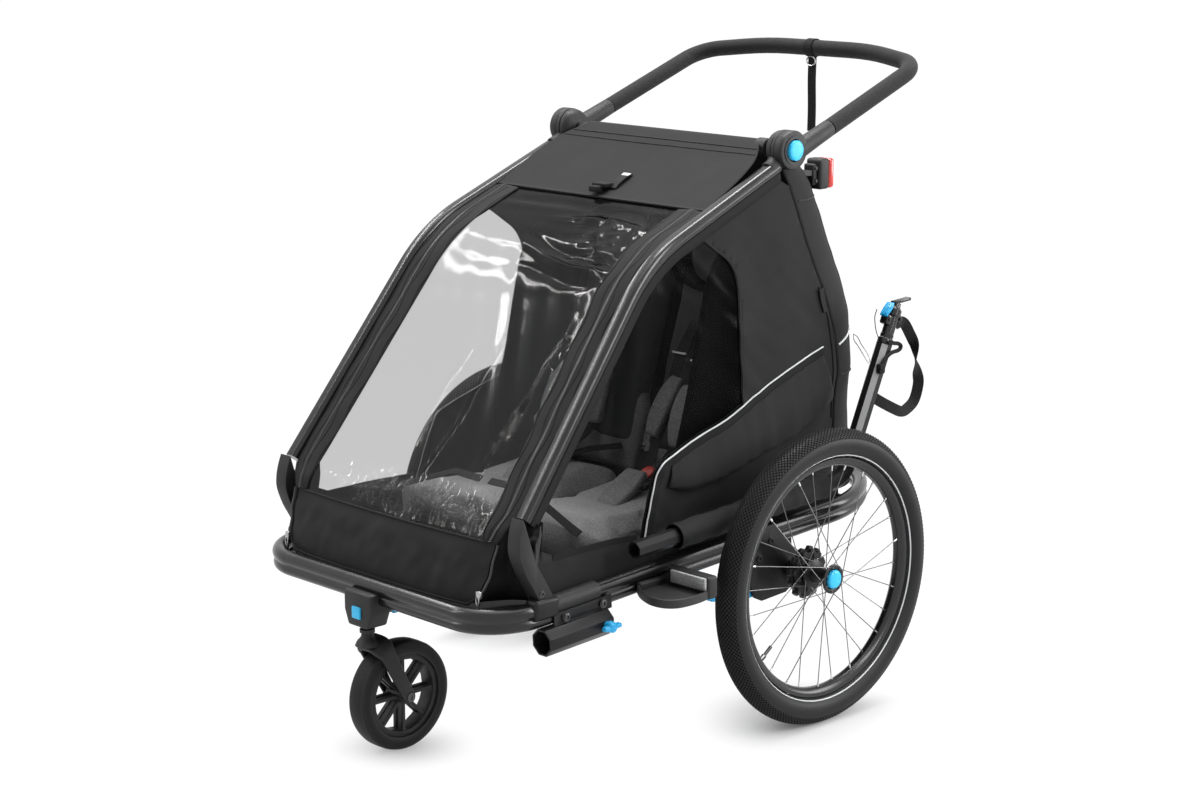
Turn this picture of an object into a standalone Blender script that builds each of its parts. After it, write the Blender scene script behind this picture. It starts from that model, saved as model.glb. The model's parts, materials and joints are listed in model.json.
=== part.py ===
"""Two seat child trailer for a bicycle, standing on its wheels and front caster as a stroller.

Metres, +Z up. The front faces -Y, the object's left side is +X, the ground is at Z = 0.
Pieces are drawn with the main axle over Y = 0; at the end the whole is moved to stand centred on the origin.
Left and right pieces are mirrored across X = 0. The base frame hangs a little nose down, so
everything fixed to it is drawn level and carried by one empty that tips it about the wheel axis.
"""

from math import acos, cos, pi, radians, sin, sqrt, tan

import bmesh
import bpy
import numpy as np
from mathutils import Matrix, Vector

# Clearance between pieces that touch
GAP = 0.0003

# The half width of the base, which everything across the trailer follows
BASE_HALF_WIDTH = 0.3000

# Wheels
WHEEL_RADIUS = 0.2525
TYRE_WIDTH = 0.0504
BEAD_RADIUS = 0.2040
RIM_WIDTH = 0.0240
RIM_DEPTH = 0.0140
TRACK = 2 * (BASE_HALF_WIDTH + 0.0950)
SPOKES = 28
SPOKE_RADIUS = 0.0012
SPOKE_OFFSET = 0.0014
HUB_FLANGE_RADIUS = 0.0250
HUB_FLANGE_THICKNESS = 0.0035
HUB_CORE_RADIUS = 0.0120
HUB_OUTER_REACH = 0.0230
HUB_INNER_REACH = 0.0240
BRAKE_RING_RADIUS = 0.0450
BRAKE_RING_TEETH = 12
BRAKE_RING_WIDTH = 0.0140
AXLE_RADIUS = 0.0060
CAP_RADIUS = 0.0160
CAP_WELL = 0.0090
CAP_TRAVEL = 0.0040

# Caster
CASTER_RADIUS = 0.0921
CASTER_WIDTH = 0.0400
CASTER_RIM_RADIUS = 0.0700
CASTER_SPOKES = 8
CASTER_TRAIL = 0.0630
SWIVEL_Y = -0.6600
FORK_LEG_THICKNESS = 0.0060
FORK_LEG_WIDTH = 0.0300
CROWN_BOTTOM = 0.1900
CROWN_TOP = 0.2160
HOUSING_WIDTH = 0.0600
HOUSING_FRONT = -0.6960
HOUSING_BACK = -0.6240
HOUSING_BOTTOM = 0.2280

# Brake levers, on the level base
LEVER_PIVOT = (-0.0880, 0.2325)
LEVER_PIN_RADIUS = 0.0035
LEVER_WIDTH = 0.0170

# Base frame, drawn level before it is tipped
NOSE_DOWN = radians(3.3)
BASE_FRONT = -0.6490
BASE_REAR = 0.3550
BASE_FRONT_BEND = 0.0900
BASE_REAR_BEND = 0.2300
BASE_TOP = 0.3380
BASE_TUBE_RADIUS = 0.0128
BASE_LOBE_RADIUS = 0.0100
BASE_LOBE_DROP = 0.0180
LOBE_OUT = 0.0020
CROSS_TUBE_RADIUS = 0.0110
CROSS_TUBE_LEVEL = BASE_TOP - BASE_TUBE_RADIUS - BASE_LOBE_DROP + 0.0040
AXLE_BEAM_RADIUS = 0.0125
FRONT_CROSS_Y = -0.4600
REAR_CROSS_Y = 0.2050
FLOOR_THICKNESS = 0.0040

# Hoops, in the YZ plane
HOOP_TUBE_RADIUS = 0.0125
HOOP_FLANGE_REACH = 0.0300
HOOP_FLANGE_THICKNESS = 0.0090
HOOP_TOP_X = BASE_HALF_WIDTH - 0.0300
HOOP_LEAN = 0.0550
HOOP_SHOULDER_BEND = 0.3000
HOOP_TOP_ANGLE = radians(22.5)
HOOP_LEG_ANGLE = radians(51.9)
HOOP_LEG_LENGTH = 0.4660
FOLD_PIVOT = (-0.5640, 0.3240)
FOOT_RISE = (-0.01854, 0.11229)
HOOP_LEG_END = (FOLD_PIVOT[0] + FOOT_RISE[0], FOLD_PIVOT[1] + FOOT_RISE[1])
HOOP_SHOULDER = (
    HOOP_LEG_END[0] + HOOP_LEG_LENGTH * cos(HOOP_LEG_ANGLE),
    HOOP_LEG_END[1] + HOOP_LEG_LENGTH * sin(HOOP_LEG_ANGLE),
)
FOOT_WIDTH = 0.0225
FOOT_END_RADIUS = 0.0140
PIVOT_PIN_RADIUS = 0.0040
CLAMP_THICKNESS = 0.0030

# Hinges and handlebar
HINGE = (HOOP_SHOULDER[0] + 0.3330, HOOP_SHOULDER[1] + 0.1520)
HINGE_RADIUS = 0.0330
HINGE_INNER_X = BASE_HALF_WIDTH - 0.0640
HINGE_OUTER_X = BASE_HALF_WIDTH - 0.0050
HINGE_GROOVE = (0.0190, 0.0170)
SOCKET_REACH = 0.0470
HINGE_BUTTON_RADIUS = 0.0168
HINGE_BUTTON_LENGTH = 0.0050
ROOF_TUBE_RADIUS = 0.0100
HANDLE_ANGLE = radians(21.0)
HANDLE_REACH = 0.4165
HANDLE_DROP = 0.0110
HANDLE_BOW = 0.0500
HANDLE_TUBE_RADIUS = 0.0110
FOAM_RADIUS = 0.0148
HANDLE_CORNER_BEND = 0.0600
ARM_SOCKET_LENGTH = 0.0950

# Seat back frame
STRUT_PIVOT = (0.2050, 0.3560)
STRUT_TOP = (HINGE[0] + 0.0720, HINGE[1] - 0.1650)
STRUT_HALF_WIDTH = BASE_HALF_WIDTH - 0.0650
STRUT_TUBE_RADIUS = 0.0090
STRUT_BEND = 0.0700
STRUT_EYE_WIDTH = 0.0186

# Fabric body
FABRIC_THICKNESS = 0.0030
ROOF_HEM_HALF = HINGE_INNER_X - 0.0280
ROOF_FRONT = HINGE[0] - 0.1860
WINDOW_FOOT = (-0.6020, 0.3965)
PANEL_TOP = 0.3950
REAR_CORNER_BEND = 0.0850
SIDE_LOW = 0.3100
SEAM_GAP = 0.0013

# The line down the corner of the cloth body and the line down the middle of its rear, from the hinge
CORNER_LINE = [(0.1260, -0.3950), (0.1120, -0.3350), (0.0820, -0.2550), (0.0520, -0.1650), (0.0180, -0.0650)]
REAR_LINE = [
    (0.2240, -0.5950), (0.2260, -0.4550), (0.2420, -0.4050), (0.2340, -0.3050), (0.1970, -0.2350),
    (0.1520, -0.1550), (0.1170, -0.0750),
]
REAR_TOP = HINGE[1] - 0.0730

# Drawbar
DRAWBAR_X = BASE_HALF_WIDTH + 0.0340
DRAWBAR_ACROSS = 0.0340
DRAWBAR_WALL = 0.0025
DRAWBAR_BEND = 0.0500
DRAWBAR_MOUTH_Y = -0.3780
DRAWBAR_LEVEL = 0.3860
DRAWBAR_TURN_Y = 0.1150
DRAWBAR_RISE_ANGLE = radians(62.0)
DRAWBAR_RISE = 0.2420
HEAD_NECK_RADIUS = 0.0110
STRAP_WIDTH = 0.0200
STRAP_THICKNESS = 0.0020
RECEIVER_ACROSS = 0.0420
RECEIVER_WALL = 0.0030
RECEIVER_LENGTH = 0.1360
RECEIVER_FRONT = -0.5660

# Seats
SEAT_CENTRE_X = (BASE_HALF_WIDTH - 0.0620) / 2
SEAT_WIDTH = 2 * SEAT_CENTRE_X - 0.0120
SEAT_THICKNESS = 0.0620
BACKREST_ANGLE = radians(73.0)
BACKREST_LENGTH = 0.4300

OCTAGON = 8


def clear_scene():
    for obj in list(bpy.data.objects):
        bpy.data.objects.remove(obj, do_unlink=True)


def finish_material(name, colour, roughness, metallic=0.0, alpha=1.0):
    """A plain Principled material with the finish of one kind of piece."""
    made = bpy.data.materials.get(name)
    if made:
        return made
    made = bpy.data.materials.new(name)
    made.use_nodes = True
    shader = made.node_tree.nodes["Principled BSDF"]
    shader.inputs["Base Color"].default_value = (*colour, 1.0)
    shader.inputs["Roughness"].default_value = roughness
    shader.inputs["Metallic"].default_value = metallic
    shader.inputs["Alpha"].default_value = alpha
    return made


def black_aluminium():
    return finish_material("black_aluminium", (0.030, 0.030, 0.032), 0.35, 0.8)


def black_plastic():
    return finish_material("black_plastic", (0.025, 0.025, 0.026), 0.5)


def blue_plastic():
    return finish_material("blue_plastic", (0.02, 0.42, 0.78), 0.4)


def black_fabric():
    return finish_material("black_fabric", (0.022, 0.022, 0.023), 0.9)


def grey_mesh():
    return finish_material("grey_mesh", (0.10, 0.10, 0.105), 0.9)


def clear_vinyl():
    return finish_material("clear_vinyl", (0.75, 0.78, 0.80), 0.1, 0.0, 0.3)


def tyre_rubber():
    return finish_material("tyre_rubber", (0.020, 0.020, 0.020), 0.8)


def grip_foam():
    return finish_material("grip_foam", (0.035, 0.035, 0.036), 0.85)


def bare_aluminium():
    return finish_material("bare_aluminium", (0.55, 0.56, 0.57), 0.35, 1.0)


def webbing():
    return finish_material("webbing", (0.03, 0.03, 0.03), 0.85)


def white_reflector():
    return finish_material("white_reflector", (0.75, 0.75, 0.75), 0.25)


def red_plastic():
    return finish_material("red_plastic", (0.75, 0.03, 0.02), 0.35)


def empty_at(name, place, parent=None):
    """An empty on a joint's axis, which carries the pieces that move with it."""
    holder = bpy.data.objects.new(name, None)
    holder.empty_display_size = 0.03
    bpy.context.collection.objects.link(holder)
    holder.location = place
    if parent:
        carried(holder, parent)
    return holder


def carried(obj, parent):
    """Parents obj and leaves it where it was drawn."""
    bpy.context.view_layer.update()
    obj.parent = parent
    obj.matrix_parent_inverse = parent.matrix_world.inverted()
    return obj


def mesh_object(name, bm, material, smooth=True):
    """A named object from a finished bmesh, with its faces turned outwards."""
    bmesh.ops.recalc_face_normals(bm, faces=bm.faces)
    mesh = bpy.data.meshes.new(name)
    bm.to_mesh(mesh)
    bm.free()
    obj = bpy.data.objects.new(name, mesh)
    bpy.context.collection.objects.link(obj)
    mesh.materials.append(material)
    if smooth:
        mesh.shade_smooth()
        mesh.set_sharp_from_angle(angle=radians(35))
    return obj


def cutter_object(name, bm):
    """A helper for a Boolean: it isn't a piece and doesn't render."""
    obj = mesh_object(name, bm, black_plastic(), smooth=False)
    obj.hide_render = True
    obj.display_type = "WIRE"
    return obj


def boolean(obj, other, operation):
    step = obj.modifiers.new(operation.lower() + "_" + other.name, "BOOLEAN")
    step.operation = operation
    step.object = other
    step.solver = "EXACT"
    return obj


def bevelled(obj, width, segments=2):
    step = obj.modifiers.new("edge_round", "BEVEL")
    step.width = width
    step.segments = segments
    step.limit_method = "ANGLE"
    step.angle_limit = radians(40)
    return obj


def circle_points(radius, count, start=0.0):
    turn = [start + 2 * pi * i / count for i in range(count)]
    return [(radius * cos(a), radius * sin(a)) for a in turn]


def octagon_points(across):
    """An octagon with flats up and down, given its width across the flats."""
    return circle_points(across / 2 / cos(pi / OCTAGON), OCTAGON, pi / OCTAGON)


def bent_path(corners, bends, step=radians(9)):
    """A line through corners, each inner corner rounded to its bend radius, as a tube bender makes it."""
    path = [Vector(corners[0])]
    for before, corner, after, bend in zip(corners, corners[1:], corners[2:], bends):
        before, corner, after = Vector(before), Vector(corner), Vector(after)
        back = (before - corner).normalized()
        ahead = (after - corner).normalized()
        turn = pi - acos(max(-1.0, min(1.0, back.dot(ahead))))
        reach = bend * tan(turn / 2)
        centre = corner + (back + ahead).normalized() * (bend / cos(turn / 2))
        start = corner + back * reach - centre
        count = max(2, round(turn / step))
        normal = start.cross(corner + ahead * reach - centre).normalized()
        for i in range(count + 1):
            path.append(centre + Matrix.Rotation(turn * i / count, 3, normal) @ start)
    path.append(Vector(corners[-1]))
    return path


def sweep(bm, path, section, normal, closed=False):
    """Carries a flat section along a path that lies in one plane.

    A section point is (a, b): a along the plane's normal, b to the side of the path.
    """
    normal = Vector(normal).normalized()
    count = len(path)
    rings = []
    for i, point in enumerate(path):
        if closed:
            before, after = path[i - 1], path[(i + 1) % count]
        else:
            before, after = path[max(i - 1, 0)], path[min(i + 1, count - 1)]
        first = (point - before).normalized()
        second = (after - point).normalized()
        along = (first + second).normalized()
        side = along.cross(normal).normalized()
        half = 1.0
        if first.length * second.length:
            half = max(0.5, sqrt(max(0.0, (1 + first.dot(second)) / 2)))
        rings.append([bm.verts.new(point + normal * a + side * (b / half)) for a, b in section])
    pairs = list(zip(rings, rings[1:]))
    if closed:
        pairs.append((rings[-1], rings[0]))
    size = len(section)
    for ring, following in pairs:
        for i in range(size):
            j = (i + 1) % size
            bm.faces.new((ring[i], ring[j], following[j], following[i]))
    if not closed:
        bm.faces.new(rings[0])
        bm.faces.new(list(reversed(rings[-1])))
    return bm


def swept(name, path, section, normal, material, closed=False):
    return mesh_object(name, sweep(bmesh.new(), path, section, normal, closed), material)


def add_prism(bm, outline, axis, low, high):
    """A flat outline pushed from low to high along an axis. The outline runs in the two other axes."""
    places = {
        "X": lambda p, h: (h, p[0], p[1]),
        "Y": lambda p, h: (p[0], h, p[1]),
        "Z": lambda p, h: (p[0], p[1], h),
    }
    place = places[axis]
    face = bm.faces.new([bm.verts.new(place(point, low)) for point in outline])
    grown = bmesh.ops.extrude_face_region(bm, geom=[face])
    push = Vector(place((0.0, 0.0), high)) - Vector(place((0.0, 0.0), low))
    moved = [item for item in grown["geom"] if isinstance(item, bmesh.types.BMVert)]
    bmesh.ops.translate(bm, verts=moved, vec=push)
    return bm


def prism(name, outline, axis, low, high, material):
    return mesh_object(name, add_prism(bmesh.new(), outline, axis, low, high), material)


def add_box(bm, low, high):
    outline = [(low[0], low[1]), (high[0], low[1]), (high[0], high[1]), (low[0], high[1])]
    return add_prism(bm, outline, "Z", low[2], high[2])


def box(name, low, high, material, round_edges=0.0):
    obj = mesh_object(name, add_box(bmesh.new(), low, high), material)
    if round_edges:
        bevelled(obj, round_edges)
    return obj


def add_lathe(bm, outline, centre, count, axis="X"):
    """A closed outline of (distance along the axis, radius) turned round the axis through centre."""
    centre = Vector(centre)
    ahead = Vector({"X": (1, 0, 0), "Y": (0, 1, 0), "Z": (0, 0, 1)}[axis])
    out = Vector({"X": (0, 0, 1), "Y": (1, 0, 0), "Z": (1, 0, 0)}[axis])
    verts = [bm.verts.new(centre + ahead * along + out * radius) for along, radius in outline]
    edges = [bm.edges.new((a, b)) for a, b in zip(verts, verts[1:])]
    if outline[0][1] > 0 or outline[-1][1] > 0:
        edges.append(bm.edges.new((verts[-1], verts[0])))
    bmesh.ops.spin(
        bm, geom=verts + edges, cent=centre, axis=ahead, angle=2 * pi, steps=count, use_merge=True
    )
    bmesh.ops.remove_doubles(bm, verts=bm.verts, dist=0.00002)
    return bm


def lathe(name, outline, centre, count, material, axis="X"):
    return mesh_object(name, add_lathe(bmesh.new(), outline, centre, count, axis), material)


def sheet(name, rows, thickness, material, inward):
    """A cloth panel from a grid of points, thickened towards the point called inward."""
    bm = bmesh.new()
    grid = [[bm.verts.new(point) for point in row] for row in rows]
    for low, high in zip(grid, grid[1:]):
        for i in range(len(low) - 1):
            bm.faces.new((low[i], low[i + 1], high[i + 1], high[i]))
    bm.normal_update()
    bm.faces.ensure_lookup_table()
    middle = bm.faces[len(bm.faces) // 2]
    if middle.normal.dot(Vector(inward) - middle.calc_center_median()) > 0:
        bmesh.ops.reverse_faces(bm, faces=bm.faces)
    mesh = bpy.data.meshes.new(name)
    bm.to_mesh(mesh)
    bm.free()
    obj = bpy.data.objects.new(name, mesh)
    bpy.context.collection.objects.link(obj)
    mesh.materials.append(material)
    mesh.shade_smooth()
    thick = obj.modifiers.new("cloth_thickness", "SOLIDIFY")
    thick.thickness = thickness
    thick.offset = -1.0
    thick.use_even_offset = True
    return obj


def hoop_x(height):
    """How far out the hoop's centre line is at a height: the hoops lean out towards their feet."""
    return HOOP_TOP_X + HOOP_LEAN * (HOOP_SHOULDER[1] - height)


def rail_inner_x(y):
    """The inner side of the rail at a place along the level base, straight or in its rear bend."""
    behind = max(0.0, y - (BASE_REAR - BASE_REAR_BEND))
    middle = BASE_HALF_WIDTH - BASE_REAR_BEND + sqrt(max(0.0, BASE_REAR_BEND**2 - behind**2))
    return middle - BASE_TUBE_RADIUS


def side_x(y, height):
    """How far out the side cloth's outer face is: beside the hoop's channel above, inside the rail below."""
    top = hoop_x(HOOP_TOP_END[1]) - HOOP_FLANGE_THICKNESS / 2 - 0.0018
    low = rail_inner_x(max(y, 0.0)) - 0.0006
    share = min(1.0, max(0.0, (height - SIDE_LOW) / (HOOP_TOP_END[1] - SIDE_LOW)))
    return low + (top - low) * share


def tipped(y, z):
    """Where a point drawn on the level base lies once the base is tipped."""
    return (
        y * cos(NOSE_DOWN) - (z - WHEEL_RADIUS) * sin(NOSE_DOWN),
        WHEEL_RADIUS + y * sin(NOSE_DOWN) + (z - WHEEL_RADIUS) * cos(NOSE_DOWN),
    )


def levelled(y, z):
    """Where a point of the standing object lies on the level base."""
    return (
        y * cos(NOSE_DOWN) + (z - WHEEL_RADIUS) * sin(NOSE_DOWN),
        WHEEL_RADIUS - y * sin(NOSE_DOWN) + (z - WHEEL_RADIUS) * cos(NOSE_DOWN),
    )


def rail_top(y):
    """The height of the side rail's top at a place along the standing object."""
    return tipped((y + (BASE_TOP - WHEEL_RADIUS) * sin(NOSE_DOWN)) / cos(NOSE_DOWN), BASE_TOP)[1]


# Where the hoop's top run ends in the hinge's socket
HOOP_TOP_LENGTH = (
    (HINGE[0] - HOOP_SHOULDER[0]) * cos(HOOP_TOP_ANGLE)
    + (HINGE[1] - HOOP_SHOULDER[1]) * sin(HOOP_TOP_ANGLE)
    - SOCKET_REACH - GAP
)
HOOP_TOP_END = (
    HOOP_SHOULDER[0] + HOOP_TOP_LENGTH * cos(HOOP_TOP_ANGLE),
    HOOP_SHOULDER[1] + HOOP_TOP_LENGTH * sin(HOOP_TOP_ANGLE),
)
AXLE_X = TRACK / 2
BRACKET_INNER_X = BASE_HALF_WIDTH + BASE_TUBE_RADIUS + 0.0022
BRACKET_THICKNESS = 0.0060


def hoop_line(offset=0.0):
    """The hoop's line in the YZ plane, moved sideways towards the cabin by offset."""
    corners = [(0.0, *HOOP_LEG_END), (0.0, *HOOP_SHOULDER), (0.0, *HOOP_TOP_END)]
    path = bent_path(corners, [HOOP_SHOULDER_BEND], radians(5))
    moved = []
    for i, point in enumerate(path):
        along = (path[min(i + 1, len(path) - 1)] - path[max(i - 1, 0)]).normalized()
        side = Vector((0.0, along.z, -along.y))
        moved.append(point + side * offset)
    return moved


def make_base(tip):
    """The welded base: a two lobed tube bent round the floor, with two cross tubes."""
    corners = [
        (0.0, BASE_FRONT, 0.0),
        (BASE_HALF_WIDTH, BASE_FRONT, 0.0),
        (BASE_HALF_WIDTH, BASE_REAR, 0.0),
        (-BASE_HALF_WIDTH, BASE_REAR, 0.0),
        (-BASE_HALF_WIDTH, BASE_FRONT, 0.0),
        (0.0, BASE_FRONT, 0.0),
    ]
    bends = [BASE_FRONT_BEND, BASE_REAR_BEND, BASE_REAR_BEND, BASE_FRONT_BEND]
    loop = bent_path(corners, bends, radians(13))[:-1]
    level = BASE_TOP - BASE_TUBE_RADIUS
    loop = [Vector((p.x, p.y, level)) for p in loop]
    upper = [(BASE_TUBE_RADIUS * sin(a), BASE_TUBE_RADIUS * cos(a)) for a in np.radians(range(-40, 221, 37))]
    lower = [
        (BASE_LOBE_RADIUS * sin(a) - BASE_LOBE_DROP, LOBE_OUT + BASE_LOBE_RADIUS * cos(a))
        for a in np.radians(range(-225, 46, 45))
    ]
    base = swept("base_frame", loop, upper + lower, (0, 0, 1), black_aluminium(), closed=True)
    for label, y in (("front", FRONT_CROSS_Y), ("rear", REAR_CROSS_Y)):
        reach = BASE_HALF_WIDTH
        if y > BASE_REAR - BASE_REAR_BEND:
            inside = y - (BASE_REAR - BASE_REAR_BEND)
            reach = BASE_HALF_WIDTH - BASE_REAR_BEND + sqrt(BASE_REAR_BEND**2 - inside**2)
        path = [Vector((-reach, y, CROSS_TUBE_LEVEL)), Vector((reach, y, CROSS_TUBE_LEVEL))]
        tube = sweep(bmesh.new(), path, circle_points(CROSS_TUBE_RADIUS, 12), (0, 0, 1))
        cross = cutter_object("cross_tube_" + label, tube)
        carried_level(cross, tip)
        boolean(base, cross, "UNION")
    add_axle_beam(base, tip)
    add_strut_ears(base, tip)
    carried_level(base, tip)


def carried_level(obj, tip):
    """Hangs a piece that was drawn on the level base from the empty that tips it."""
    obj.parent = tip
    obj.location = (0.0, 0.0, -WHEEL_RADIUS)
    return obj


def make_floor(tip):
    """The stiffened cloth floor, lying on the cross tubes inside the rails."""
    inner = BASE_HALF_WIDTH - BASE_TUBE_RADIUS - 0.0056
    low = CROSS_TUBE_LEVEL + CROSS_TUBE_RADIUS + GAP
    bend = 0.07
    front = BASE_FRONT + BASE_TUBE_RADIUS + 0.006
    back = BASE_REAR - 0.170
    outline = [(inner, back - 0.065), (inner - 0.014, back), (0.014 - inner, back), (-inner, back - 0.065)]
    for i in range(7):
        turn = pi + i * pi / 12
        outline.append((-inner + bend + bend * cos(turn), front + bend + bend * sin(turn)))
    for i in range(7):
        turn = 1.5 * pi + i * pi / 12
        outline.append((inner - bend + bend * cos(turn), front + bend + bend * sin(turn)))
    floor = prism("floor_panel", outline, "Z", low, low + FLOOR_THICKNESS, black_fabric())
    carried_level(floor, tip)


def add_axle_beam(base, tip):
    """The tube between the two axle brackets, hung from the rails on two welded plates."""
    end = BRACKET_INNER_X - GAP
    beam = sweep(
        bmesh.new(),
        [Vector((-end, 0.0, WHEEL_RADIUS)), Vector((end, 0.0, WHEEL_RADIUS))],
        circle_points(AXLE_BEAM_RADIUS, 16),
        (0, 0, 1),
    )
    boolean(base, carried_level(cutter_object("axle_beam", beam), tip), "UNION")
    low, high = WHEEL_RADIUS - AXLE_BEAM_RADIUS * 0.5, BASE_TOP - BASE_TUBE_RADIUS - BASE_LOBE_DROP
    for side in (1, -1):
        plate = add_prism(
            bmesh.new(),
            [(-0.022, low), (0.022, low), (0.034, high), (-0.034, high)],
            "X", BASE_HALF_WIDTH - 0.0040, BASE_HALF_WIDTH + 0.0020,
        )
        plate = mirrored_if(cutter_object("axle_hanger_" + side_name(side), plate), side)
        boolean(base, carried_level(plate, tip), "UNION")


def add_strut_ears(base, tip):
    """The two ears on the rear cross tube, each with the pin that the rear strut turns on."""
    pivot_y, pivot_z = levelled(*STRUT_PIVOT)
    low = CROSS_TUBE_LEVEL
    inner = STRUT_HALF_WIDTH + STRUT_EYE_WIDTH / 2 + GAP
    outline = [(pivot_y - 0.016, low), (pivot_y + 0.016, low)]
    for i in range(7):
        turn = i * pi / 6
        outline.append((pivot_y + 0.012 * cos(turn), pivot_z + 0.012 * sin(turn)))
    for side in (1, -1):
        ear = cutter_object(
            "strut_ear_" + side_name(side), add_prism(bmesh.new(), outline, "X", inner, inner + 0.004)
        )
        boolean(base, carried_level(mirrored_if(ear, side), tip), "UNION")
        far = inner - STRUT_EYE_WIDTH - 2 * GAP - 0.003
        pin = add_lathe(
            bmesh.new(),
            [(far, 0.0), (far, 0.0070), (far + 0.003, 0.0070), (far + 0.003, PIVOT_PIN_RADIUS),
             (inner + 0.002, PIVOT_PIN_RADIUS), (inner + 0.002, 0.0)],
            (0.0, pivot_y, pivot_z),
            12,
        )
        pin = mirrored_if(cutter_object("strut_pin_" + side_name(side), pin), side)
        boolean(base, carried_level(pin, tip), "UNION")


def side_name(side):
    return "left" if side > 0 else "right"


def make_axle_bracket(side, tip):
    """A bent plate bolted to the rail's outside, with the stub axle that its wheel runs on."""
    low_x = BRACKET_INNER_X
    high_x = low_x + BRACKET_THICKNESS
    outline = [
        (-0.098, 0.334), (-0.100, 0.246), (-0.090, 0.222), (-0.072, 0.212), (-0.012, 0.212),
        (0.020, 0.228), (0.026, 0.252), (0.020, 0.280), (-0.004, 0.300), (-0.026, 0.330), (-0.040, 0.340),
        (-0.088, 0.340),
    ]
    bm = add_prism(bmesh.new(), outline, "X", low_x, high_x)
    bracket = mesh_object("axle_bracket_" + side_name(side), bm, black_aluminium())
    bevelled(bracket, 0.0012, 1)
    stub_end = AXLE_X + HUB_OUTER_REACH - CAP_WELL - 0.001
    stub = add_lathe(
        bmesh.new(),
        [(low_x + 0.001, 0.0), (low_x + 0.001, 0.013), (high_x + 0.006, 0.013), (high_x + 0.006, AXLE_RADIUS),
         (stub_end, AXLE_RADIUS), (stub_end, 0.0)],
        (0.0, 0.0, WHEEL_RADIUS),
        16,
    )
    stub = mirrored_if(cutter_object("stub_" + side_name(side), stub), side)
    boolean(bracket, carried_level(stub, tip), "UNION")
    for number, (y, z) in enumerate(((-0.048, 0.312), (-0.078, 0.288), (-0.078, 0.322))):
        bolt = add_lathe(
            bmesh.new(),
            [(high_x - 0.001, 0.0), (high_x - 0.001, 0.0068), (high_x + 0.003, 0.0068),
             (high_x + 0.003, 0.0032), (high_x + 0.001, 0.0032), (high_x + 0.001, 0.0)],
            (0.0, y, z),
            8,
        )
        head = cutter_object("bracket_bolt_%s_%d" % (side_name(side), number), bolt)
        boolean(bracket, carried_level(mirrored_if(head, side), tip), "UNION")
    pin_end = low_x - GAP - LEVER_WIDTH - 0.0015
    pin = add_lathe(
        bmesh.new(),
        [(pin_end, 0.0), (pin_end, LEVER_PIN_RADIUS), (low_x + 0.002, LEVER_PIN_RADIUS),
         (low_x + 0.002, 0.0)],
        (0.0, *LEVER_PIVOT),
        12,
    )
    pin = mirrored_if(cutter_object("lever_pin_" + side_name(side), pin), side)
    boolean(bracket, carried_level(pin, tip), "UNION")
    mirrored_if(bracket, side)
    carried_level(bracket, tip)


def mirrored_if(obj, side):
    """Mirrors an object's own mesh across X = 0 for the right hand side."""
    if side < 0:
        obj.data.transform(Matrix.Scale(-1, 4, Vector((1, 0, 0))))
        obj.data.flip_normals()
    return obj


def make_brake_lever(side, tip):
    """The blue foot lever under the bracket that locks the toothed ring."""
    x_high = BRACKET_INNER_X - GAP
    x_low = x_high - LEVER_WIDTH
    outline = [
        (-0.074, 0.236), (-0.086, 0.244), (-0.100, 0.240), (-0.150, 0.246), (-0.186, 0.262), (-0.200, 0.268),
        (-0.208, 0.262), (-0.206, 0.250), (-0.186, 0.240), (-0.150, 0.230), (-0.100, 0.222), (-0.082, 0.222),
    ]
    lever = prism("brake_lever_" + side_name(side), outline, "X", x_low, x_high, blue_plastic())
    bevelled(lever, 0.0015, 1)
    bore = LEVER_PIN_RADIUS + GAP
    hole = add_lathe(
        bmesh.new(),
        [(x_low - 0.01, 0.0), (x_low - 0.01, bore), (x_high + 0.01, bore), (x_high + 0.01, 0.0)],
        (0.0, *LEVER_PIVOT),
        12,
    )
    hole = mirrored_if(cutter_object("lever_bore_" + side_name(side), hole), side)
    boolean(lever, carried_level(hole, tip), "DIFFERENCE")
    mirrored_if(lever, side)
    return lever


def make_rail_clamp(side, tip):
    """The saddle on the rail with two ears that carry the hoop's foot on a pin across them."""
    x_mid = foot_mid_x()
    half = FOOT_WIDTH / 2 + GAP + CLAMP_THICKNESS
    top = BASE_TOP + GAP
    pivot_y, pivot_z = levelled(*FOLD_PIVOT)
    ear_base = top + CLAMP_THICKNESS
    saddle = [(-0.602, top), (-0.420, top), (-0.420, top + 0.003), (-0.436, ear_base), (-0.594, ear_base)]
    clamp = prism("rail_clamp_" + side_name(side), saddle, "X", x_mid - half, x_mid + half, black_aluminium())
    ear = [(pivot_y - 0.024, ear_base - 0.001), (pivot_y + 0.024, ear_base - 0.001)]
    for i in range(9):
        turn = radians(-8) + i * radians(196) / 8
        ear.append((pivot_y + 0.0135 * cos(turn), pivot_z + 0.0135 * sin(turn)))
    for number, low in enumerate((x_mid - half, x_mid + half - CLAMP_THICKNESS)):
        wall = cutter_object(
            "ear_%s_%d" % (side_name(side), number),
            add_prism(bmesh.new(), ear, "X", low, low + CLAMP_THICKNESS),
        )
        boolean(clamp, carried_level(mirrored_if(wall, side), tip), "UNION")
    head = x_mid + half + 0.003
    pin = add_lathe(
        bmesh.new(),
        [(x_mid - half + 0.001, 0.0), (x_mid - half + 0.001, PIVOT_PIN_RADIUS),
         (head - 0.004, PIVOT_PIN_RADIUS), (head - 0.004, 0.0070), (head, 0.0070), (head, 0.0032),
         (head - 0.002, 0.0032), (head - 0.002, 0.0)],
        (0.0, pivot_y, pivot_z),
        12,
    )
    pin = carried_level(mirrored_if(cutter_object("pivot_pin_" + side_name(side), pin), side), tip)
    boolean(clamp, pin, "UNION")
    mirrored_if(clamp, side)
    carried_level(clamp, tip)


def foot_mid_x():
    """The middle of the foot, over the rail."""
    return BASE_HALF_WIDTH + 0.0018


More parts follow.
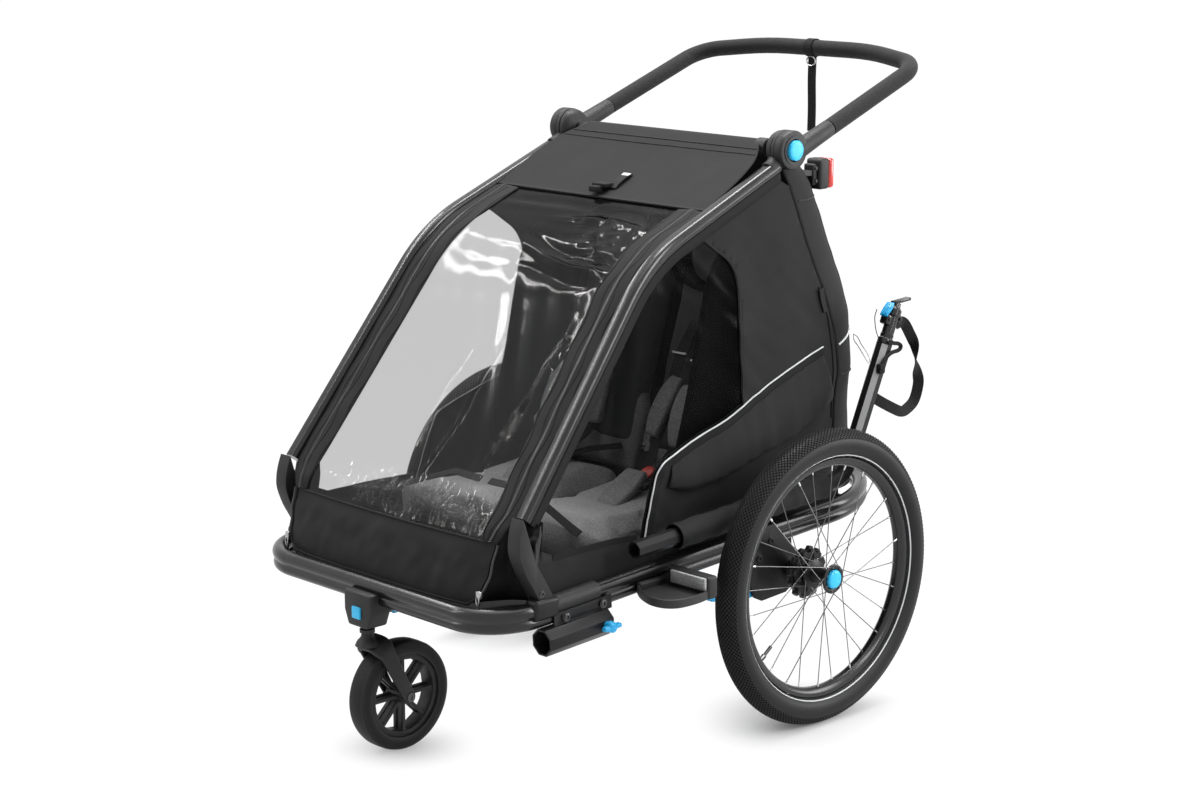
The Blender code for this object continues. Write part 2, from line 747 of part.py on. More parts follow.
def make_receiver(tip):
    """The eight sided socket under the left rail that takes the drawbar in use, on a bolted plate."""
    x_mid = BASE_HALF_WIDTH + 0.0130
    z_mid = BASE_TOP - BASE_TUBE_RADIUS - BASE_LOBE_DROP - BASE_LOBE_RADIUS - GAP - RECEIVER_ACROSS / 2
    front, back = RECEIVER_FRONT, RECEIVER_FRONT + RECEIVER_LENGTH
    outer = [(x_mid + a, z_mid + b) for a, b in octagon_points(RECEIVER_ACROSS)]
    inner = [(x_mid + a, z_mid + b) for a, b in octagon_points(RECEIVER_ACROSS - 2 * RECEIVER_WALL)]
    receiver = prism("drawbar_receiver", outer, "Y", front, back, black_aluminium())
    plate_low = BASE_HALF_WIDTH + LOBE_OUT + BASE_LOBE_RADIUS + GAP
    plate = add_box(
        bmesh.new(),
        (plate_low, front + 0.026, z_mid + 0.002),
        (plate_low + 0.0035, back + 0.014, BASE_TOP - 0.022),
    )
    boolean(receiver, carried_level(cutter_object("receiver_plate", plate), tip), "UNION")
    bore = add_prism(bmesh.new(), inner, "Y", front - 0.01, back + 0.03)
    boolean(receiver, carried_level(cutter_object("receiver_bore", bore), tip), "DIFFERENCE")
    face = plate_low + 0.0035
    for number, y in enumerate((front + 0.046, back - 0.004)):
        bolt = add_lathe(
            bmesh.new(),
            [(face - 0.001, 0.0), (face - 0.001, 0.0065), (face + 0.003, 0.0065), (face + 0.003, 0.003),
             (face + 0.001, 0.003), (face + 0.001, 0.0)],
            (0.0, y, BASE_TOP - 0.031),
            8,
        )
        boolean(receiver, carried_level(cutter_object("receiver_bolt_%d" % number, bolt), tip), "UNION")
    carried_level(receiver, tip)
    return x_mid + RECEIVER_ACROSS / 2, back - 0.016, z_mid


def make_receiver_knob(seat, tip):
    """The blue wing knob that clamps the drawbar in its socket."""
    face, y, z = seat
    low = face + GAP
    knob = lathe(
        "receiver_knob",
        [(0.0, 0.0), (0.0, 0.0075), (0.004, 0.0075), (0.006, 0.0095), (0.015, 0.0085), (0.017, 0.006),
         (0.017, 0.0)],
        (low, y, z),
        16,
        blue_plastic(),
    )
    wings = add_box(bmesh.new(), (low + 0.006, y - 0.018, z - 0.0035), (low + 0.016, y + 0.018, z + 0.0035))
    wings = bevelled(cutter_object("knob_wings", wings), 0.002, 2)
    boolean(knob, carried_level(wings, tip), "UNION")
    return knob


def make_wheel_guard(side, tip):
    """The moulded guard on the rail in front of the wheel, with a holder for the reflector."""
    rail = BASE_HALF_WIDTH + LOBE_OUT + BASE_LOBE_RADIUS + GAP
    low, high = 0.2920, 0.3140
    outline = [(rail, -0.384), (rail + 0.0227, -0.380)]
    for i in range(8):
        turn = radians(-112) + i * radians(112) / 7
        outline.append((rail + 0.0397 + 0.056 * cos(turn), -0.318 + 0.056 * sin(turn)))
    outline += [(rail + 0.0957, -0.278), (rail + 0.0857, -0.264), (rail, -0.262)]
    guard = prism("wheel_guard_" + side_name(side), outline, "Z", low, high, black_plastic())
    bevelled(guard, 0.003, 2)
    pocket = [
        (rail + 0.0120, -0.352), (rail + 0.0327, -0.352), (rail + 0.0657, -0.338), (rail + 0.0797, -0.318),
        (rail + 0.0120, -0.318),
    ]
    dip = add_prism(bmesh.new(), pocket, "Z", high - 0.010, high + 0.01)
    dip = cutter_object("guard_dip_" + side_name(side), dip)
    boolean(guard, carried_level(mirrored_if(dip, side), tip), "DIFFERENCE")
    holder = [(-0.306, high - 0.002), (-0.270, high - 0.002), (-0.284, 0.340), (-0.302, 0.341)]
    block = add_prism(bmesh.new(), holder, "X", rail + 0.0040, rail + 0.0937)
    block = cutter_object("reflector_holder_" + side_name(side), block)
    boolean(guard, carried_level(mirrored_if(block, side), tip), "UNION")
    mirrored_if(guard, side)
    carried_level(guard, tip)


def make_reflector(side, tip):
    """The white reflector on the front of the guard's holder."""
    lean = 0.004 / 0.029
    low, high = 0.3170, 0.3385
    front = [-0.306 - GAP - 0.004 + lean * (z - 0.312) for z in (low, high)]
    back = [-0.306 - GAP + lean * (z - 0.312) for z in (low, high)]
    outline = [(front[0], low), (back[0], low), (back[1], high), (front[1], high)]
    rail = BASE_HALF_WIDTH + LOBE_OUT + BASE_LOBE_RADIUS + GAP
    reflector = prism(
        "reflector_" + side_name(side), outline, "X", rail + 0.0137, rail + 0.0907, white_reflector()
    )
    mirrored_if(reflector, side)
    carried_level(reflector, tip)


def make_caster_housing(tip):
    """The moulded block that hangs from the frame's front tube and holds the caster's stem."""
    lobe_low = BASE_TOP - BASE_TUBE_RADIUS - BASE_LOBE_DROP - BASE_LOBE_RADIUS
    top_back = tipped(BASE_FRONT + 0.01, lobe_low)[1] - GAP
    lobe_face = tipped(BASE_FRONT - 0.002 - BASE_LOBE_RADIUS, BASE_TOP - BASE_TUBE_RADIUS)[0] - 0.0012
    outline = [
        (HOUSING_FRONT + 0.006, HOUSING_BOTTOM), (HOUSING_BACK - 0.010, HOUSING_BOTTOM),
        (HOUSING_BACK, HOUSING_BOTTOM + 0.012), (HOUSING_BACK, top_back - 0.0006),
        (lobe_face, top_back - 0.0016), (lobe_face, top_back + 0.022),
        (HOUSING_FRONT + 0.002, top_back + 0.022),
        (HOUSING_FRONT, top_back + 0.014),
    ]
    housing = prism("caster_housing", outline, "X", -HOUSING_WIDTH / 2, HOUSING_WIDTH / 2, black_plastic())
    bevelled(housing, 0.004, 2)
    recess_back = HOUSING_FRONT + 0.0060
    recess = add_box(bmesh.new(), (-0.0180, HOUSING_FRONT - 0.01, 0.2480), (0.0010, recess_back, 0.2680))
    boolean(housing, cutter_object("button_recess", recess), "DIFFERENCE")
    bore = add_lathe(
        bmesh.new(),
        [(HOUSING_BOTTOM - 0.01, 0.0), (HOUSING_BOTTOM - 0.01, 0.0085), (HOUSING_BOTTOM + 0.024, 0.0085),
         (HOUSING_BOTTOM + 0.024, 0.0)],
        (0.0, SWIVEL_Y, 0.0),
        16,
        "Z",
    )
    boolean(housing, cutter_object("stem_bore", bore), "DIFFERENCE")
    button = box(
        "caster_button",
        (-0.0180 + GAP, HOUSING_FRONT - 0.0035, 0.2480 + GAP),
        (0.0010 - GAP, HOUSING_FRONT + 0.0060 - 0.0030 - GAP, 0.2680 - GAP),
        blue_plastic(),
    )
    knob = lathe(
        "caster_lock_knob",
        [(0.0, 0.0), (0.0, 0.0050), (0.005, 0.0050), (0.007, 0.0085), (0.016, 0.0085), (0.018, 0.0065),
         (0.018, 0.0)],
        (0.012, HOUSING_BACK + GAP, 0.2440),
        14,
        blue_plastic(),
        "Y",
    )
    return button, knob


def make_fork(swivel):
    """The caster's fork: a crown with its stem, and two legs raked back to the axle."""
    axle_y, axle_z = SWIVEL_Y + CASTER_TRAIL, CASTER_RADIUS
    inner = CASTER_WIDTH / 2 + 0.0045
    outer = inner + FORK_LEG_THICKNESS
    leg_top_y, leg_top_z = SWIVEL_Y + 0.004, CROWN_TOP - 0.006
    along = Vector((axle_y - leg_top_y, axle_z - leg_top_z)).normalized()
    across = Vector((-along.y, along.x))
    top_half, end_half = FORK_LEG_WIDTH * 0.58, FORK_LEG_WIDTH * 0.42
    leg_top = Vector((leg_top_y, leg_top_z))
    leg = [tuple(leg_top + across * top_half), tuple(leg_top - across * top_half)]
    for i in range(9):
        turn = -pi / 2 + i * pi / 8
        reach = along * (end_half * cos(turn)) + across * (end_half * sin(turn))
        leg.append(tuple(Vector((axle_y, axle_z)) + reach))
    crown = [
        (-outer, SWIVEL_Y - 0.018), (-outer + 0.010, SWIVEL_Y - 0.030), (outer - 0.010, SWIVEL_Y - 0.030),
        (outer, SWIVEL_Y - 0.018), (outer, SWIVEL_Y + 0.020), (-outer, SWIVEL_Y + 0.020),
    ]
    fork = prism("caster_fork", crown, "Z", CROWN_BOTTOM, CROWN_TOP, black_plastic())
    bevelled(fork, 0.003, 2)
    for number, low in enumerate((-outer, inner)):
        blade = add_prism(bmesh.new(), leg, "X", low, low + FORK_LEG_THICKNESS)
        boolean(fork, cutter_object("fork_leg_%d" % number, blade), "UNION")
    stem = add_lathe(
        bmesh.new(),
        [(CROWN_TOP - 0.002, 0.0), (CROWN_TOP - 0.002, 0.014), (HOUSING_BOTTOM - 0.001, 0.014),
         (HOUSING_BOTTOM - 0.001, 0.0080), (HOUSING_BOTTOM + 0.022, 0.0080), (HOUSING_BOTTOM + 0.022, 0.0)],
        (0.0, SWIVEL_Y, 0.0),
        16,
        "Z",
    )
    boolean(fork, cutter_object("fork_stem", stem), "UNION")
    axle = add_lathe(
        bmesh.new(),
        [(-outer - 0.002, 0.0), (-outer - 0.002, 0.0065), (-outer + 0.001, 0.0065), (-outer + 0.001, 0.0040),
         (outer - 0.001, 0.0040), (outer - 0.001, 0.0065), (outer + 0.002, 0.0065), (outer + 0.002, 0.0)],
        (0.0, axle_y, axle_z),
        12,
    )
    boolean(fork, cutter_object("fork_axle", axle), "UNION")
    carried(fork, swivel)


def make_caster_wheel(spin):
    """The caster's moulded wheel with ribbed spokes, and its solid tyre."""
    centre = (0.0, SWIVEL_Y + CASTER_TRAIL, CASTER_RADIUS)
    half = CASTER_WIDTH / 2
    seat = CASTER_RIM_RADIUS
    tyre_out = [
        (-half + 0.004, seat + GAP), (-half, seat + 0.007), (-half + 0.003, CASTER_RADIUS - 0.006),
        (-half + 0.010, CASTER_RADIUS - 0.0012), (0.0, CASTER_RADIUS), (half - 0.010, CASTER_RADIUS - 0.0012),
        (half - 0.003, CASTER_RADIUS - 0.006), (half, seat + 0.007), (half - 0.004, seat + GAP),
    ]
    tyre = lathe("caster_tyre", tyre_out, centre, 28, tyre_rubber())
    rim_half = half - 0.005
    rim = lathe(
        "caster_wheel",
        [(-rim_half, seat - 0.009), (-rim_half, seat), (rim_half, seat), (rim_half, seat - 0.009)],
        centre,
        28,
        black_plastic(),
    )
    hub = add_lathe(
        bmesh.new(),
        [(-half + 0.001, 0.0043), (-half + 0.001, 0.0130), (half - 0.001, 0.0130), (half - 0.001, 0.0043)],
        centre,
        12,
    )
    boolean(rim, cutter_object("caster_hub", hub), "UNION")
    for i in range(CASTER_SPOKES):
        rib = bmesh.new()
        blade = [
            (-0.012, -0.0030), (-0.0045, -0.0030), (-0.0045, -0.0012), (0.0045, -0.0012),
            (0.0045, -0.0030), (0.012, -0.0030), (0.012, 0.0030), (0.0045, 0.0030), (0.0045, 0.0012),
            (-0.0045, 0.0012), (-0.0045, 0.0030), (-0.012, 0.0030),
        ]
        add_prism(rib, blade, "Z", 0.0115, seat - 0.0075)
        rib.transform(Matrix.Translation(centre) @ Matrix.Rotation(2 * pi * i / CASTER_SPOKES, 4, "X"))
        boolean(rim, cutter_object("caster_spoke_%d" % i, rib), "UNION")
    carried(tyre, spin)
    carried(rim, spin)


def add_spokes(bm, x_mid, leaning):
    """Wire spokes from the two hub flanges to the rim; half of them lean ahead and half lean back."""
    rim_inner = BEAD_RADIUS - RIM_DEPTH
    lean = radians(62)
    for i in range(SPOKES):
        flange = -1 if i % 2 else 1
        hand = 1 if (i // 2) % 2 else -1
        if hand != leaning:
            continue
        turn = 2 * pi * (i + 0.3) / SPOKES
        hub_turn = turn + hand * lean
        flange_middle = HUB_FLANGE_THICKNESS / 2
        x_hub = x_mid + (HUB_OUTER_REACH - flange_middle if flange > 0 else flange_middle - HUB_INNER_REACH)
        x_hub += hand * SPOKE_OFFSET
        foot = Vector((x_hub, 0.0212 * sin(hub_turn), WHEEL_RADIUS + 0.0212 * cos(hub_turn)))
        x_rim = x_mid + flange * 0.0038 + hand * SPOKE_OFFSET
        nipple = rim_inner + 0.002
        top = Vector((x_rim, nipple * sin(turn), WHEEL_RADIUS + nipple * cos(turn)))
        along = (top - foot).normalized()
        side = along.cross(Vector((1, 0, 0))).normalized()
        third = along.cross(side)
        ends = []
        for point in (foot, top):
            ends.append([
                bm.verts.new(point + side * (SPOKE_RADIUS * cos(a)) + third * (SPOKE_RADIUS * sin(a)))
                for a in (pi / 2, 7 * pi / 6, 11 * pi / 6)
            ])
        for j in range(3):
            k = (j + 1) % 3
            bm.faces.new((ends[0][j], ends[0][k], ends[1][k], ends[1][j]))
        bm.faces.new(ends[0])
        bm.faces.new(list(reversed(ends[1])))
    bmesh.ops.recalc_face_normals(bm, faces=bm.faces)


def turned_if(obj, side):
    """Turns a finished wheel piece half round, which makes a left wheel a right one."""
    if side < 0:
        obj.rotation_euler = (0.0, 0.0, pi)
    return obj


def wheel_cutter(name, bm, side):
    return turned_if(cutter_object(name + "_" + side_name(side), bm), side)


def add_hub(rim, centre, side):
    """The hub with its two flanges, and the toothed brake ring on its inner end."""
    out, back = HUB_OUTER_REACH, -HUB_INNER_REACH
    ring_back = back - BRAKE_RING_WIDTH - 0.004
    well = out - CAP_WELL
    outline = [
        (ring_back, 0.0), (ring_back, 0.0200), (back, 0.0200), (back, HUB_FLANGE_RADIUS),
        (back + HUB_FLANGE_THICKNESS, HUB_FLANGE_RADIUS),
        (back + HUB_FLANGE_THICKNESS + 0.003, HUB_CORE_RADIUS),
        (out - HUB_FLANGE_THICKNESS - 0.003, HUB_CORE_RADIUS),
        (out - HUB_FLANGE_THICKNESS, HUB_FLANGE_RADIUS),
        (out, HUB_FLANGE_RADIUS - 0.001), (out, CAP_RADIUS + GAP), (well, CAP_RADIUS + GAP), (well, 0.0),
    ]
    boolean(rim, wheel_cutter("hub", add_lathe(bmesh.new(), outline, centre, 16), side), "UNION")
    teeth = []
    for i in range(BRAKE_RING_TEETH * 4):
        turn = 2 * pi * i / (BRAKE_RING_TEETH * 4)
        radius = BRAKE_RING_RADIUS if i % 4 in (0, 1) else BRAKE_RING_RADIUS - 0.0045
        teeth.append((radius * sin(turn), WHEEL_RADIUS + radius * cos(turn)))
    ring_low = AXLE_X + ring_back + 0.001
    ring = add_prism(bmesh.new(), teeth, "X", ring_low, ring_low + BRAKE_RING_WIDTH)
    boolean(rim, wheel_cutter("brake_ring", ring, side), "UNION")


def make_wheel(side, spin):
    """A 20 inch wheel: tyre, spoked rim with its hub and toothed brake ring, and the push button cap."""
    centre = (AXLE_X, 0.0, WHEEL_RADIUS)
    tube = TYRE_WIDTH / 2
    middle = WHEEL_RADIUS - tube
    reach = acos(max(-1.0, (BEAD_RADIUS + GAP - middle) / tube))
    section = [(tube * sin(a), middle + tube * cos(a)) for a in np.linspace(-reach, reach, 12)]
    tyre = lathe("tyre_" + side_name(side), section, centre, 36, tyre_rubber())
    inner = BEAD_RADIUS - RIM_DEPTH
    half = min(RIM_WIDTH / 2, tube * sin(reach) + 0.0005)
    rim_section = [
        (-half, BEAD_RADIUS), (half, BEAD_RADIUS), (half, inner + 0.006), (half * 0.45, inner),
        (-half * 0.45, inner), (-half, inner + 0.006),
    ]
    rim = lathe("wheel_rim_" + side_name(side), rim_section, centre, 36, black_aluminium())
    add_hub(rim, centre, side)
    for leaning, label in ((1, "leading_spokes"), (-1, "trailing_spokes")):
        spokes = bmesh.new()
        add_spokes(spokes, AXLE_X, leaning)
        boolean(rim, wheel_cutter(label, spokes, side), "UNION")
    bore = AXLE_RADIUS + GAP
    hole = add_lathe(bmesh.new(), [(-0.08, 0.0), (-0.08, bore), (0.02, bore), (0.02, 0.0)], centre, 14)
    boolean(rim, wheel_cutter("axle_bore", hole, side), "DIFFERENCE")
    out = HUB_OUTER_REACH
    low = out - CAP_WELL + CAP_TRAVEL + 0.0005
    cap = lathe(
        "wheel_cap_" + side_name(side),
        [(low, 0.0), (low, CAP_RADIUS), (out + 0.0020, CAP_RADIUS), (out + 0.0045, CAP_RADIUS - 0.003),
         (out + 0.0055, 0.0)],
        centre,
        24,
        blue_plastic(),
    )
    for piece in (tyre, rim, cap):
        carried(turned_if(piece, side), spin)
    return cap


def make_hoop(side, fold):
    """One side hoop: a round tube with a flat channel along its inner edge, bent once at the shoulder."""
    path = hoop_line()
    tube = [(HOOP_TUBE_RADIUS * cos(a), HOOP_TUBE_RADIUS * sin(a)) for a in np.radians(range(-245, 66, 31))]
    half = HOOP_FLANGE_THICKNESS / 2
    channel = [
        (half, HOOP_FLANGE_REACH - 0.004), (half + 0.0015, HOOP_FLANGE_REACH - 0.003),
        (half + 0.0015, HOOP_FLANGE_REACH), (-half - 0.0015, HOOP_FLANGE_REACH),
        (-half - 0.0015, HOOP_FLANGE_REACH - 0.003), (-half, HOOP_FLANGE_REACH - 0.004),
    ]
    section = tube + channel
    flat = sweep(bmesh.new(), path, section, (1.0, 0.0, 0.0))
    for vert in flat.verts:
        vert.co.x += hoop_x(vert.co.z)
        vert.co.x *= side
    hoop = mesh_object("hoop_" + side_name(side), flat, black_aluminium())
    carried(hoop, fold)


def make_foot(side, fold):
    """The moulded elbow between a hoop and its pivot on the rail."""
    pivot = Vector(FOLD_PIVOT)
    end = Vector(HOOP_LEG_END)
    along = Vector((-cos(HOOP_LEG_ANGLE), -sin(HOOP_LEG_ANGLE)))
    front = Vector((-sin(HOOP_LEG_ANGLE), cos(HOOP_LEG_ANGLE)))
    start = end + along * GAP
    outline = [
        tuple(start - front * (HOOP_FLANGE_REACH + 0.001)),
        tuple(start + front * (HOOP_TUBE_RADIUS + 0.003)),
        tuple(end + Vector((-0.0375, -0.0203))), tuple(end + Vector((-0.0425, -0.0403))),
        tuple(end + Vector((-0.0355, -0.0643))), tuple(pivot + Vector((-0.0360, 0.0160))),
    ]
    for i in range(8):
        turn = radians(195) + i * radians(180) / 7
        outline.append((pivot.x + FOOT_END_RADIUS * cos(turn), pivot.y + FOOT_END_RADIUS * sin(turn)))
    outline += [
        tuple(pivot + Vector((0.0040, 0.0320))), tuple(end + Vector((0.0045, -0.0503))),
        tuple(end + Vector((0.0025, -0.0383))),
    ]
    x_low, x_high = foot_mid_x() - FOOT_WIDTH / 2, foot_mid_x() + FOOT_WIDTH / 2
    foot = prism("hoop_foot_" + side_name(side), outline, "X", x_low, x_high, black_plastic())
    hole = add_lathe(
        bmesh.new(),
        [(x_low - 0.01, 0.0), (x_low - 0.01, PIVOT_PIN_RADIUS + GAP), (x_high + 0.01, PIVOT_PIN_RADIUS + GAP),
         (x_high + 0.01, 0.0)],
        (0.0, pivot.x, pivot.y),
        12,
    )
    boolean(foot, mirrored_if(cutter_object("foot_hole_" + side_name(side), hole), side), "DIFFERENCE")
    mirrored_if(foot, side)
    carried(foot, fold)


def make_hinge(side, fold):
    """The round hinge on a hoop's end that the handlebar turns in, with a socket for the hoop."""
    y, z = HINGE
    low, high = HINGE_INNER_X, HINGE_OUTER_X
    housing = lathe(
        "hinge_housing_" + side_name(side),
        [(side * a, r) for a, r in (
            (low, 0.0), (low, HINGE_RADIUS - 0.006), (low + 0.006, HINGE_RADIUS),
            (low + HINGE_GROOVE[0], HINGE_RADIUS), (low + HINGE_GROOVE[0], HINGE_RADIUS - 0.010),
            (high - HINGE_GROOVE[1], HINGE_RADIUS - 0.010), (high - HINGE_GROOVE[1], HINGE_RADIUS),
            (high - 0.003, HINGE_RADIUS), (high, HINGE_RADIUS - 0.003),
            (high, HINGE_BUTTON_RADIUS + GAP), (high - 0.006, HINGE_BUTTON_RADIUS + GAP),
            (high - 0.006, 0.0))],
        (0.0, y, z),
        24,
        black_plastic(),
    )
    ahead = Vector((cos(HOOP_TOP_ANGLE), sin(HOOP_TOP_ANGLE)))
    below = Vector((sin(HOOP_TOP_ANGLE), -cos(HOOP_TOP_ANGLE)))
    drop = (Vector(HINGE) - Vector(HOOP_SHOULDER)).dot(below)
    spans = [
        (low + 0.004, low + HINGE_GROOVE[0] - 0.0010, -0.004),
        (high - HINGE_GROOVE[1] + 0.0010, high - 0.0070, -0.004),
        (low + 0.004, high - 0.0070, -HINGE_RADIUS - 0.0020),
    ]
    for number, (near, far, end) in enumerate(spans):
        corners = [(-SOCKET_REACH, -0.0130), (end, -0.0130), (end, 0.0150), (-SOCKET_REACH, 0.0150)]
        outline = [tuple(Vector(HINGE) + ahead * a + below * (b - drop)) for a, b in corners]
        block = add_prism(bmesh.new(), outline, "X", near, far)
        block = cutter_object("socket_%s_%d" % (side_name(side), number), block)
        boolean(housing, mirrored_if(block, side), "UNION")
    carried(housing, fold)
    button = lathe(
        "hinge_button_" + side_name(side),
        [(side * a, r) for a, r in (
            (high - 0.0030, 0.0), (high - 0.0030, HINGE_BUTTON_RADIUS), (high + 0.0010, HINGE_BUTTON_RADIUS),
            (high + 0.0030, HINGE_BUTTON_RADIUS - 0.002), (high + 0.0036, 0.0))],
        (0.0, y, z),
        24,
        blue_plastic(),
    )
    return button


def make_roof_tube(fold):
    """The cross tube between the two hinges that keeps the hoops apart."""
    end = HINGE_INNER_X - GAP
    path = [Vector((-end, *HINGE)), Vector((end, *HINGE))]
    tube = swept("roof_tube", path, circle_points(ROOF_TUBE_RADIUS, 14), (0, 0, 1), black_aluminium())
    carried(tube, fold)


def handle_path():
    """The handlebar's centre line: two arms, two tight corners and a gently bowed grip."""
    rise = Vector((0.0, cos(HANDLE_ANGLE), sin(HANDLE_ANGLE)))
    root = Vector((0.0, HINGE[0], HINGE[1] - HANDLE_DROP))
    arm_x = (HINGE_INNER_X + HINGE_GROOVE[0] + HINGE_OUTER_X - HINGE_GROOVE[1]) / 2
    corner_x = BASE_HALF_WIDTH - 0.0500
    corner = HANDLE_REACH - HANDLE_BOW
    crest = HANDLE_REACH
    shoulder_x = corner_x / 2
    shoulder = crest - HANDLE_BOW * 0.18
    half = [
        Vector((arm_x, 0, 0)) + rise * (HINGE_RADIUS + 0.0005), Vector((arm_x, 0, 0)) + rise * 0.095,
        Vector((corner_x + 0.012, 0, 0)) + rise * corner, Vector((shoulder_x, 0, 0)) + rise * shoulder,
        Vector((0.0, 0, 0)) + rise * crest,
    ]
    right = [Vector((-p.x, p.y, p.z)) for p in reversed(half[:-1])]
    corners = [root + p for p in half[:-1] + right]
    bends = [0.15, HANDLE_CORNER_BEND, 0.35, 0.35, HANDLE_CORNER_BEND, 0.15]
    return bent_path(corners, bends, radians(18)), rise


def make_handlebar(turn):
    """The bent aluminium bow of the handlebar with the round eyes that sit in the hinges."""
    path, rise = handle_path()
    normal = Vector((0.0, -rise.z, rise.y))
    bow = swept("handlebar", path, circle_points(HANDLE_TUBE_RADIUS, 8), normal, black_aluminium())
    for side in (1, -1):
        low = HINGE_INNER_X + HINGE_GROOVE[0] + GAP
        high = HINGE_OUTER_X - HINGE_GROOVE[1] - GAP
        eye = add_lathe(
            bmesh.new(),
            [(side * a, r) for a, r in ((low, HINGE_RADIUS - 0.010 + GAP), (low, HINGE_RADIUS - 0.0005),
                                        (high, HINGE_RADIUS - 0.0005), (high, HINGE_RADIUS - 0.010 + GAP))],
            (0.0, *HINGE),
            24,
        )
        boolean(bow, cutter_object("handle_eye_" + side_name(side), eye), "UNION")
    carried(bow, turn)


def shortened(path, cut):
    """A path with the length called cut taken off each of its ends."""
    for _ in range(2):
        left = cut
        while (path[1] - path[0]).length < left:
            left -= (path[1] - path[0]).length
            path = path[1:]
        path = [path[0] + (path[1] - path[0]).normalized() * left] + path[1:]
        path = list(reversed(path))
    return path


def make_grip(turn):
    """The foam tube over the handlebar from arm to arm."""
    path, rise = handle_path()
    normal = Vector((0.0, -rise.z, rise.y))
    grip = shortened(path, ARM_SOCKET_LENGTH)
    foam = swept("handle_grip", grip, circle_points(FOAM_RADIUS, 12), normal, grip_foam())
    bore_path = shortened(path, ARM_SOCKET_LENGTH - 0.010)
    bore = sweep(bmesh.new(), bore_path, circle_points(HANDLE_TUBE_RADIUS + GAP, 8), normal)
    boolean(foam, cutter_object("grip_bore", bore), "DIFFERENCE")
    carried(foam, turn)


def make_wrist_strap(turn):
    """The webbing loop round the grip with its hanging tail."""
    path, rise = handle_path()
    crest = min(path, key=lambda p: abs(p.x + 0.015))
    centre = Vector((-0.015, crest.y, crest.z))
    width, thick = 0.0180, 0.0016
    inner = FOAM_RADIUS + GAP + 0.0005
    outer = inner + thick
    ring = [(centre.y + outer * cos(a), centre.z + outer * sin(a)) for a in np.radians(range(-80, 261, 20))]
    ring += [(centre.y + inner * cos(a), centre.z + inner * sin(a)) for a in np.radians(range(260, -81, -20))]
    tail_low = centre.z - 0.155
    bm = add_prism(bmesh.new(), ring, "X", centre.x - width / 2, centre.x + width / 2)
    strap = mesh_object("wrist_strap", bm, webbing())
    tail = add_box(
        bmesh.new(),
        (centre.x - width / 2, centre.y - 0.0035, tail_low),
        (centre.x + width / 2, centre.y + 0.0035, centre.z - inner - 0.0002),
    )
    boolean(strap, cutter_object("strap_tail", tail), "UNION")
    carried(strap, turn)


def make_strut(swing):
    """The inverted U tube behind the seats that the backrests lean on."""
    corners = [
        (STRUT_HALF_WIDTH, *STRUT_PIVOT), (STRUT_HALF_WIDTH, *STRUT_TOP),
        (-STRUT_HALF_WIDTH, *STRUT_TOP), (-STRUT_HALF_WIDTH, *STRUT_PIVOT),
    ]
    path = bent_path(corners, [STRUT_BEND, STRUT_BEND], radians(18))
    along = Vector((0.0, STRUT_TOP[0] - STRUT_PIVOT[0], STRUT_TOP[1] - STRUT_PIVOT[1])).normalized()
    normal = Vector((1, 0, 0)).cross(along)
    strut = swept("rear_strut", path, circle_points(STRUT_TUBE_RADIUS, 10), normal, black_aluminium())
    for side in (1, -1):
        centre = (side * STRUT_HALF_WIDTH, *STRUT_PIVOT)
        half = STRUT_EYE_WIDTH / 2
        eye = add_lathe(bmesh.new(), [(-half, 0.0), (-half, 0.0130), (half, 0.0130), (half, 0.0)], centre, 14)
        boolean(strut, cutter_object("strut_eye_" + side_name(side), eye), "UNION")
        bore = PIVOT_PIN_RADIUS + GAP
        hole = add_lathe(bmesh.new(), [(-0.02, 0.0), (-0.02, bore), (0.02, bore), (0.02, 0.0)], centre, 12)
        boolean(strut, cutter_object("strut_bore_" + side_name(side), hole), "DIFFERENCE")
    carried(strut, swing)


def make_side_fabric(side):
    """The side of the cloth body, from the hoop's channel down to the rail, with its sewn in window."""
    line = hoop_line(HOOP_FLANGE_REACH + 0.0012)
    ys = [p.y for p in line]
    zs = [p.z for p in line]
    corner = [(HINGE[0] + y, HINGE[1] + z) for y, z in reversed(CORNER_LINE)]
    front_y = line[0].y + 0.012
    back_y = corner[-1][0]
    turn_y = corner[0][0]
    columns = np.concatenate([
        np.linspace(front_y, turn_y - 0.076, 13),
        [turn_y - 0.044, turn_y - 0.016, turn_y - 0.0005],
        np.linspace(turn_y + 0.006, back_y, 5),
    ])
    rows = []
    levels = np.linspace(0.0, 1.0, 8)
    ys_all = ys + [p[0] for p in corner]
    zs_all = zs + [p[1] for p in corner]
    for v in levels:
        row = []
        for y in columns:
            top = float(np.interp(y, ys_all, zs_all))
            low = rail_top(y) - BASE_TUBE_RADIUS
            z = low + (top - low) * v
            sag = 0.006 * sin(pi * v) * sin(pi * (y - front_y) / (back_y - front_y))
            seam = float(np.interp(y, [-0.32, -0.28, back_y], [0.361, 0.464, 0.618]))
            puff = 0.0
            if y > -0.30 and z < seam:
                puff = 0.010 * sin(pi * min(1.0, max(0.0, (z - low) / (seam - low))))
            row.append((side * (side_x(y, z) - sag + puff), float(y), float(z)))
        rows.append(row)
    sheet("side_fabric_" + side_name(side), rows, FABRIC_THICKNESS, black_fabric(), (0.0, -0.1, 0.6))


def rear_line(height):
    """How far back the rear cloth stands at a height."""
    heights = [HINGE[1] + z for y, z in REAR_LINE]
    return float(np.interp(height, heights, [HINGE[0] + y for y, z in REAR_LINE]))


def side_end(height):
    """Where the side cloth ends and the rear cloth's corner begins."""
    heights = [HINGE[1] + z for y, z in CORNER_LINE]
    return float(np.interp(height, heights, [HINGE[0] + y for y, z in CORNER_LINE])) + SEAM_GAP


